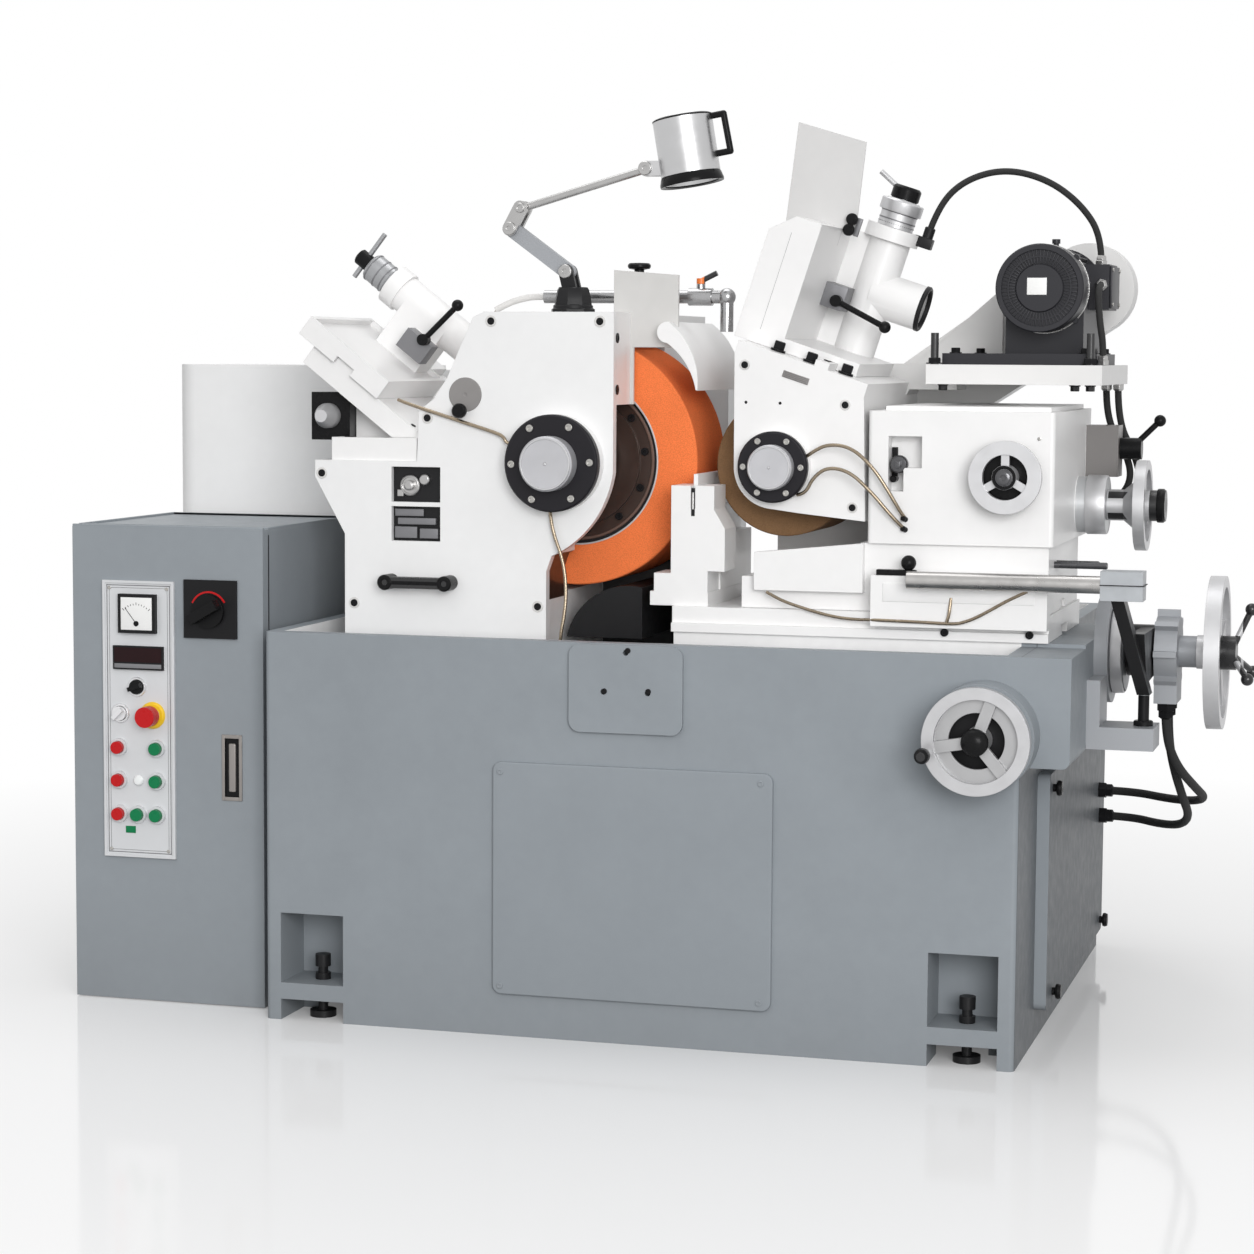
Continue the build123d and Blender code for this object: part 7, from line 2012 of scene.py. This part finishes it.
@dataclass
class BedTrim:
    """Screws of the covers, hose fittings and the slide's oil tube. Sizes are in millimetres."""

    body: str = "bed"
    slide: str = "lower_slide"
    front: float = -583.0
    side: float = 702.0
    plate_holes: Spots = ((0, 694), (-42, 622), (37, 624))
    side_knobs: Spots = ((-306, 449), (-270, 78), (425, 80))
    hose_ends: Spots = ((372, 350), (388, 297))
    stud: Point = (857, -315, 561)
    sleeve_axis: Point = (0, -185, 686)
    supply: Spot = (750, 728)
    tube_radius: float = 2.8
    tubes: dict[str, Points] = field(default_factory=lambda: {
        "slide_tube": (
            (200, -391, 787), (223, -400, 776), (255, -401, 765), (318, -401, 748), (362, -404, 744),
            (392, -418, 746), (418, -423.6, 746), (485, -423.6, 745), (542, -423.6, 743), (561, -423.6, 748),
            (584, -423.6, 758), (626, -423.6, 783), (645, -423.6, 793), (666, -421, 803),
        ),
        "slide_branch": ((527, -423.4, 744), (531, -424.4, 756), (533, -424, 772), (534, -420, 788)),
    })

    def screws(self) -> None:
        """Sets the screws and knobs of the covers and the plate's screws."""
        corners = [(x, self.front, z) for x in (-232, 238) for z in (91, 473)]
        Repeat("cover_corner_screws", cap_screw(5.5, 1.8), corners).build(self.body, Dress.GREY)
        holes = [(x, self.front, z) for x, z in self.plate_holes]
        Repeat("plate_screws", cap_screw(5.0, 1.4), holes).build(self.body, Dress.BLACK_SCREW)
        profile = [(7, 0), (7, 5), (13, 7), (14, 11), (12, 16), (0, 17)]
        knobs = Form()
        for y, z in self.side_knobs:
            knobs.lathe(profile, (self.side, y, z), RIGHT, 28)
        knobs.add("side_cover_knob", self.body, Dress.PLASTIC)

    def fittings(self) -> None:
        """Adds the fittings of the hoses, the turned sleeve and the lever's stud and seam."""
        nut = [(16, 0), (16, 14), (13.5, 15), (13.5, 26), (8.2, 29), (8.2, 0)]
        fits = Form()
        for y, z in self.hose_ends:
            fits.lathe(nut, (self.side, y, z), RIGHT, 6, True)
        for y in (-210, -160):
            fits.lathe(nut, (885, y, 596), DOWN, 6, True)
        fits.lathe([(9.7, 0), (9.7, 58), (8, 60), (0, 60)], self.stud, UP, 24)
        fits.lathe([(17, 0), (17, 13), (15, 15), (0, 15)], self.stud, UP, 32)
        fits.add("hose_fittings", self.body, Dress.BLACK_SCREW)
        sleeve = [(75, 790), (78, 790), (78.4, 792), (77.4, 809), (75, 811)]
        turned = Form().lathe(sleeve, self.sleeve_axis, RIGHT, 72, True)
        turned.add("turned_sleeve", self.body, Dress.ALUMINIUM)
        seam = Form().box((795.5, -477.5, 821), (870.5, -422.5, 822.4), 0.0)
        seam.add("bar_end_seam", "infeed_lever", Dress.BLACK)
        end = [(11, 0), (11, 10), (9, 12), (6.7, 14), (6.7, 0)]
        ends = Form()
        for x in self.supply:
            ends.lathe(end, (x, 132, 1155), DOWN, 6, True)
        ends.add("supply_fittings", "regulating_head", Dress.STEEL)

    def oil_tubes(self) -> None:
        """Adds the thin oil tubes along the lower slide's front, its screws and the stop block's plate."""
        plate = Form().box((414, -421.4, 779), (678, -419.6, 811), 0.4)
        plate.add("stop_plate", self.slide, Dress.WHITE)
        places = [(x, -398, 726) for x in (520, 668)]
        Repeat("slide_screws", cap_screw(7.0, 5.0), places).build(self.slide, Dress.BLACK_SCREW)
        for name, points in self.tubes.items():
            add_piece(name, tube_mesh(name, points, self.tube_radius), self.slide, Dress.BRASS)

    def build(self) -> None:
        """Builds all the trim of the bed."""
        self.screws()
        self.fittings()
        self.oil_tubes()


@dataclass(frozen=True)
class Dial:
    """Graduated dial with a black hub. Both go from start to end along the axis, in millimetres."""

    name: str
    body: str
    origin: Point
    axis: Point
    radius: float
    span: Spot
    hub_radius: float
    hub: Spot
    marks: int = 50

    def build(self) -> None:
        """Adds the graduations, three bands and the hub."""
        low, high = self.span
        ways = spokes(self.axis, self.marks)
        base = Vector(self.origin) + Vector(self.axis).normalized() * (low + 6)
        mark = Form().lathe([(0.7, -1.0), (0.7, 0.5), (0, 0.5)], ORIGIN, UP, 8).mesh_data("mark")
        graduations = Repeat(self.name + "_marks", mark, [base + way * self.radius for way in ways], ways)
        graduations.build(self.body, Dress.PLASTIC)
        bands = Form()
        for reach in (low + 12, (low + high) / 2, high - 8):
            bands.ring(self.radius - 1, self.radius + 0.8, 2.5, self.origin, self.axis, 56, reach)
        bands.add(self.name + "_bands", self.body, Dress.CLAMP, "dark_steel")
        start, end = self.hub
        brim, crown, top = self.hub_radius + 0.8, self.hub_radius - 2, end + 2.5
        profile = [(self.hub_radius, start), (brim, start), (brim, end), (crown, top), (0, top)]
        Form().lathe(profile, self.origin, self.axis).add(self.name + "_hub", self.body, Dress.PLASTIC)


@dataclass
class DresserTrim:
    """Dials, hubs and clamp of the two dressers. Sizes are in millimetres."""

    grinding: Point = (-183.0, -130.0, 1010.0)
    grinding_lean: float = 52.0
    regulating: Point = (209.0, -20.0, 1008.0)
    regulating_lean: float = 18.0
    clamp_at: Spot = (371.4, 70.6)
    clamp_size: Spot = (59.2, 41.2)
    clamp_depths: Spot = (-207.0, -170.0)

    def axis(self, lean: float) -> Vector:
        """Upright direction leant to the right by that many degrees."""
        return Vector((math.sin(math.radians(lean)), 0.0, math.cos(math.radians(lean))))

    def clamp(self) -> None:
        """Adds the grey face and block of the grinding dresser's clamp."""
        along = self.axis(-self.grinding_lean)
        over = Vector((along.z, 0.0, -along.x))
        reach, drop = self.clamp_at
        corner = Vector(self.grinding) + along * reach - over * drop
        length, height = self.clamp_size
        outline = [(0, 0), (length, 0), (length, height), (0, height)]
        front, back = self.clamp_depths
        face = Form().prism(outline, (corner.x, front, corner.z), along, over, -1.0)
        face.prism(outline, (corner.x, back, corner.z), along, over, -37.5, 0.8)
        face.add("grinding_clamp_face", "grinding_dresser", Dress.CLAMP)

    def build(self) -> None:
        """Builds the trim of both dressers."""
        left, right = self.axis(-self.grinding_lean), self.axis(self.regulating_lean)
        for dial in (
            Dial("grinding_dial", "grinding_crank", self.grinding, left, 28.0, (530, 585), 15.0, (586, 614)),
            Dial(
                "regulating_dial", "regulating_crank", self.regulating, right,
                34.0, (456, 508), 24.0, (509, 532),
            ),
        ):
            dial.build()
        self.clamp()


def main() -> None:
    """Builds the studio and the machine, one sub-assembly after the other."""
    logging.basicConfig(level=logging.INFO, format="%(message)s")
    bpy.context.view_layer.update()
    for part in (
        Studio(), Hoses(), Castings(), HeadTrim(), RegulatingTrim(), PanelTrim(), LampTrim(), MotorTrim(),
        WheelTrim(), BedTrim(), DresserTrim(),
    ):
        part.build()
        LOG.info("%s done", type(part).__name__)


if __name__ == "__main__":
    main()
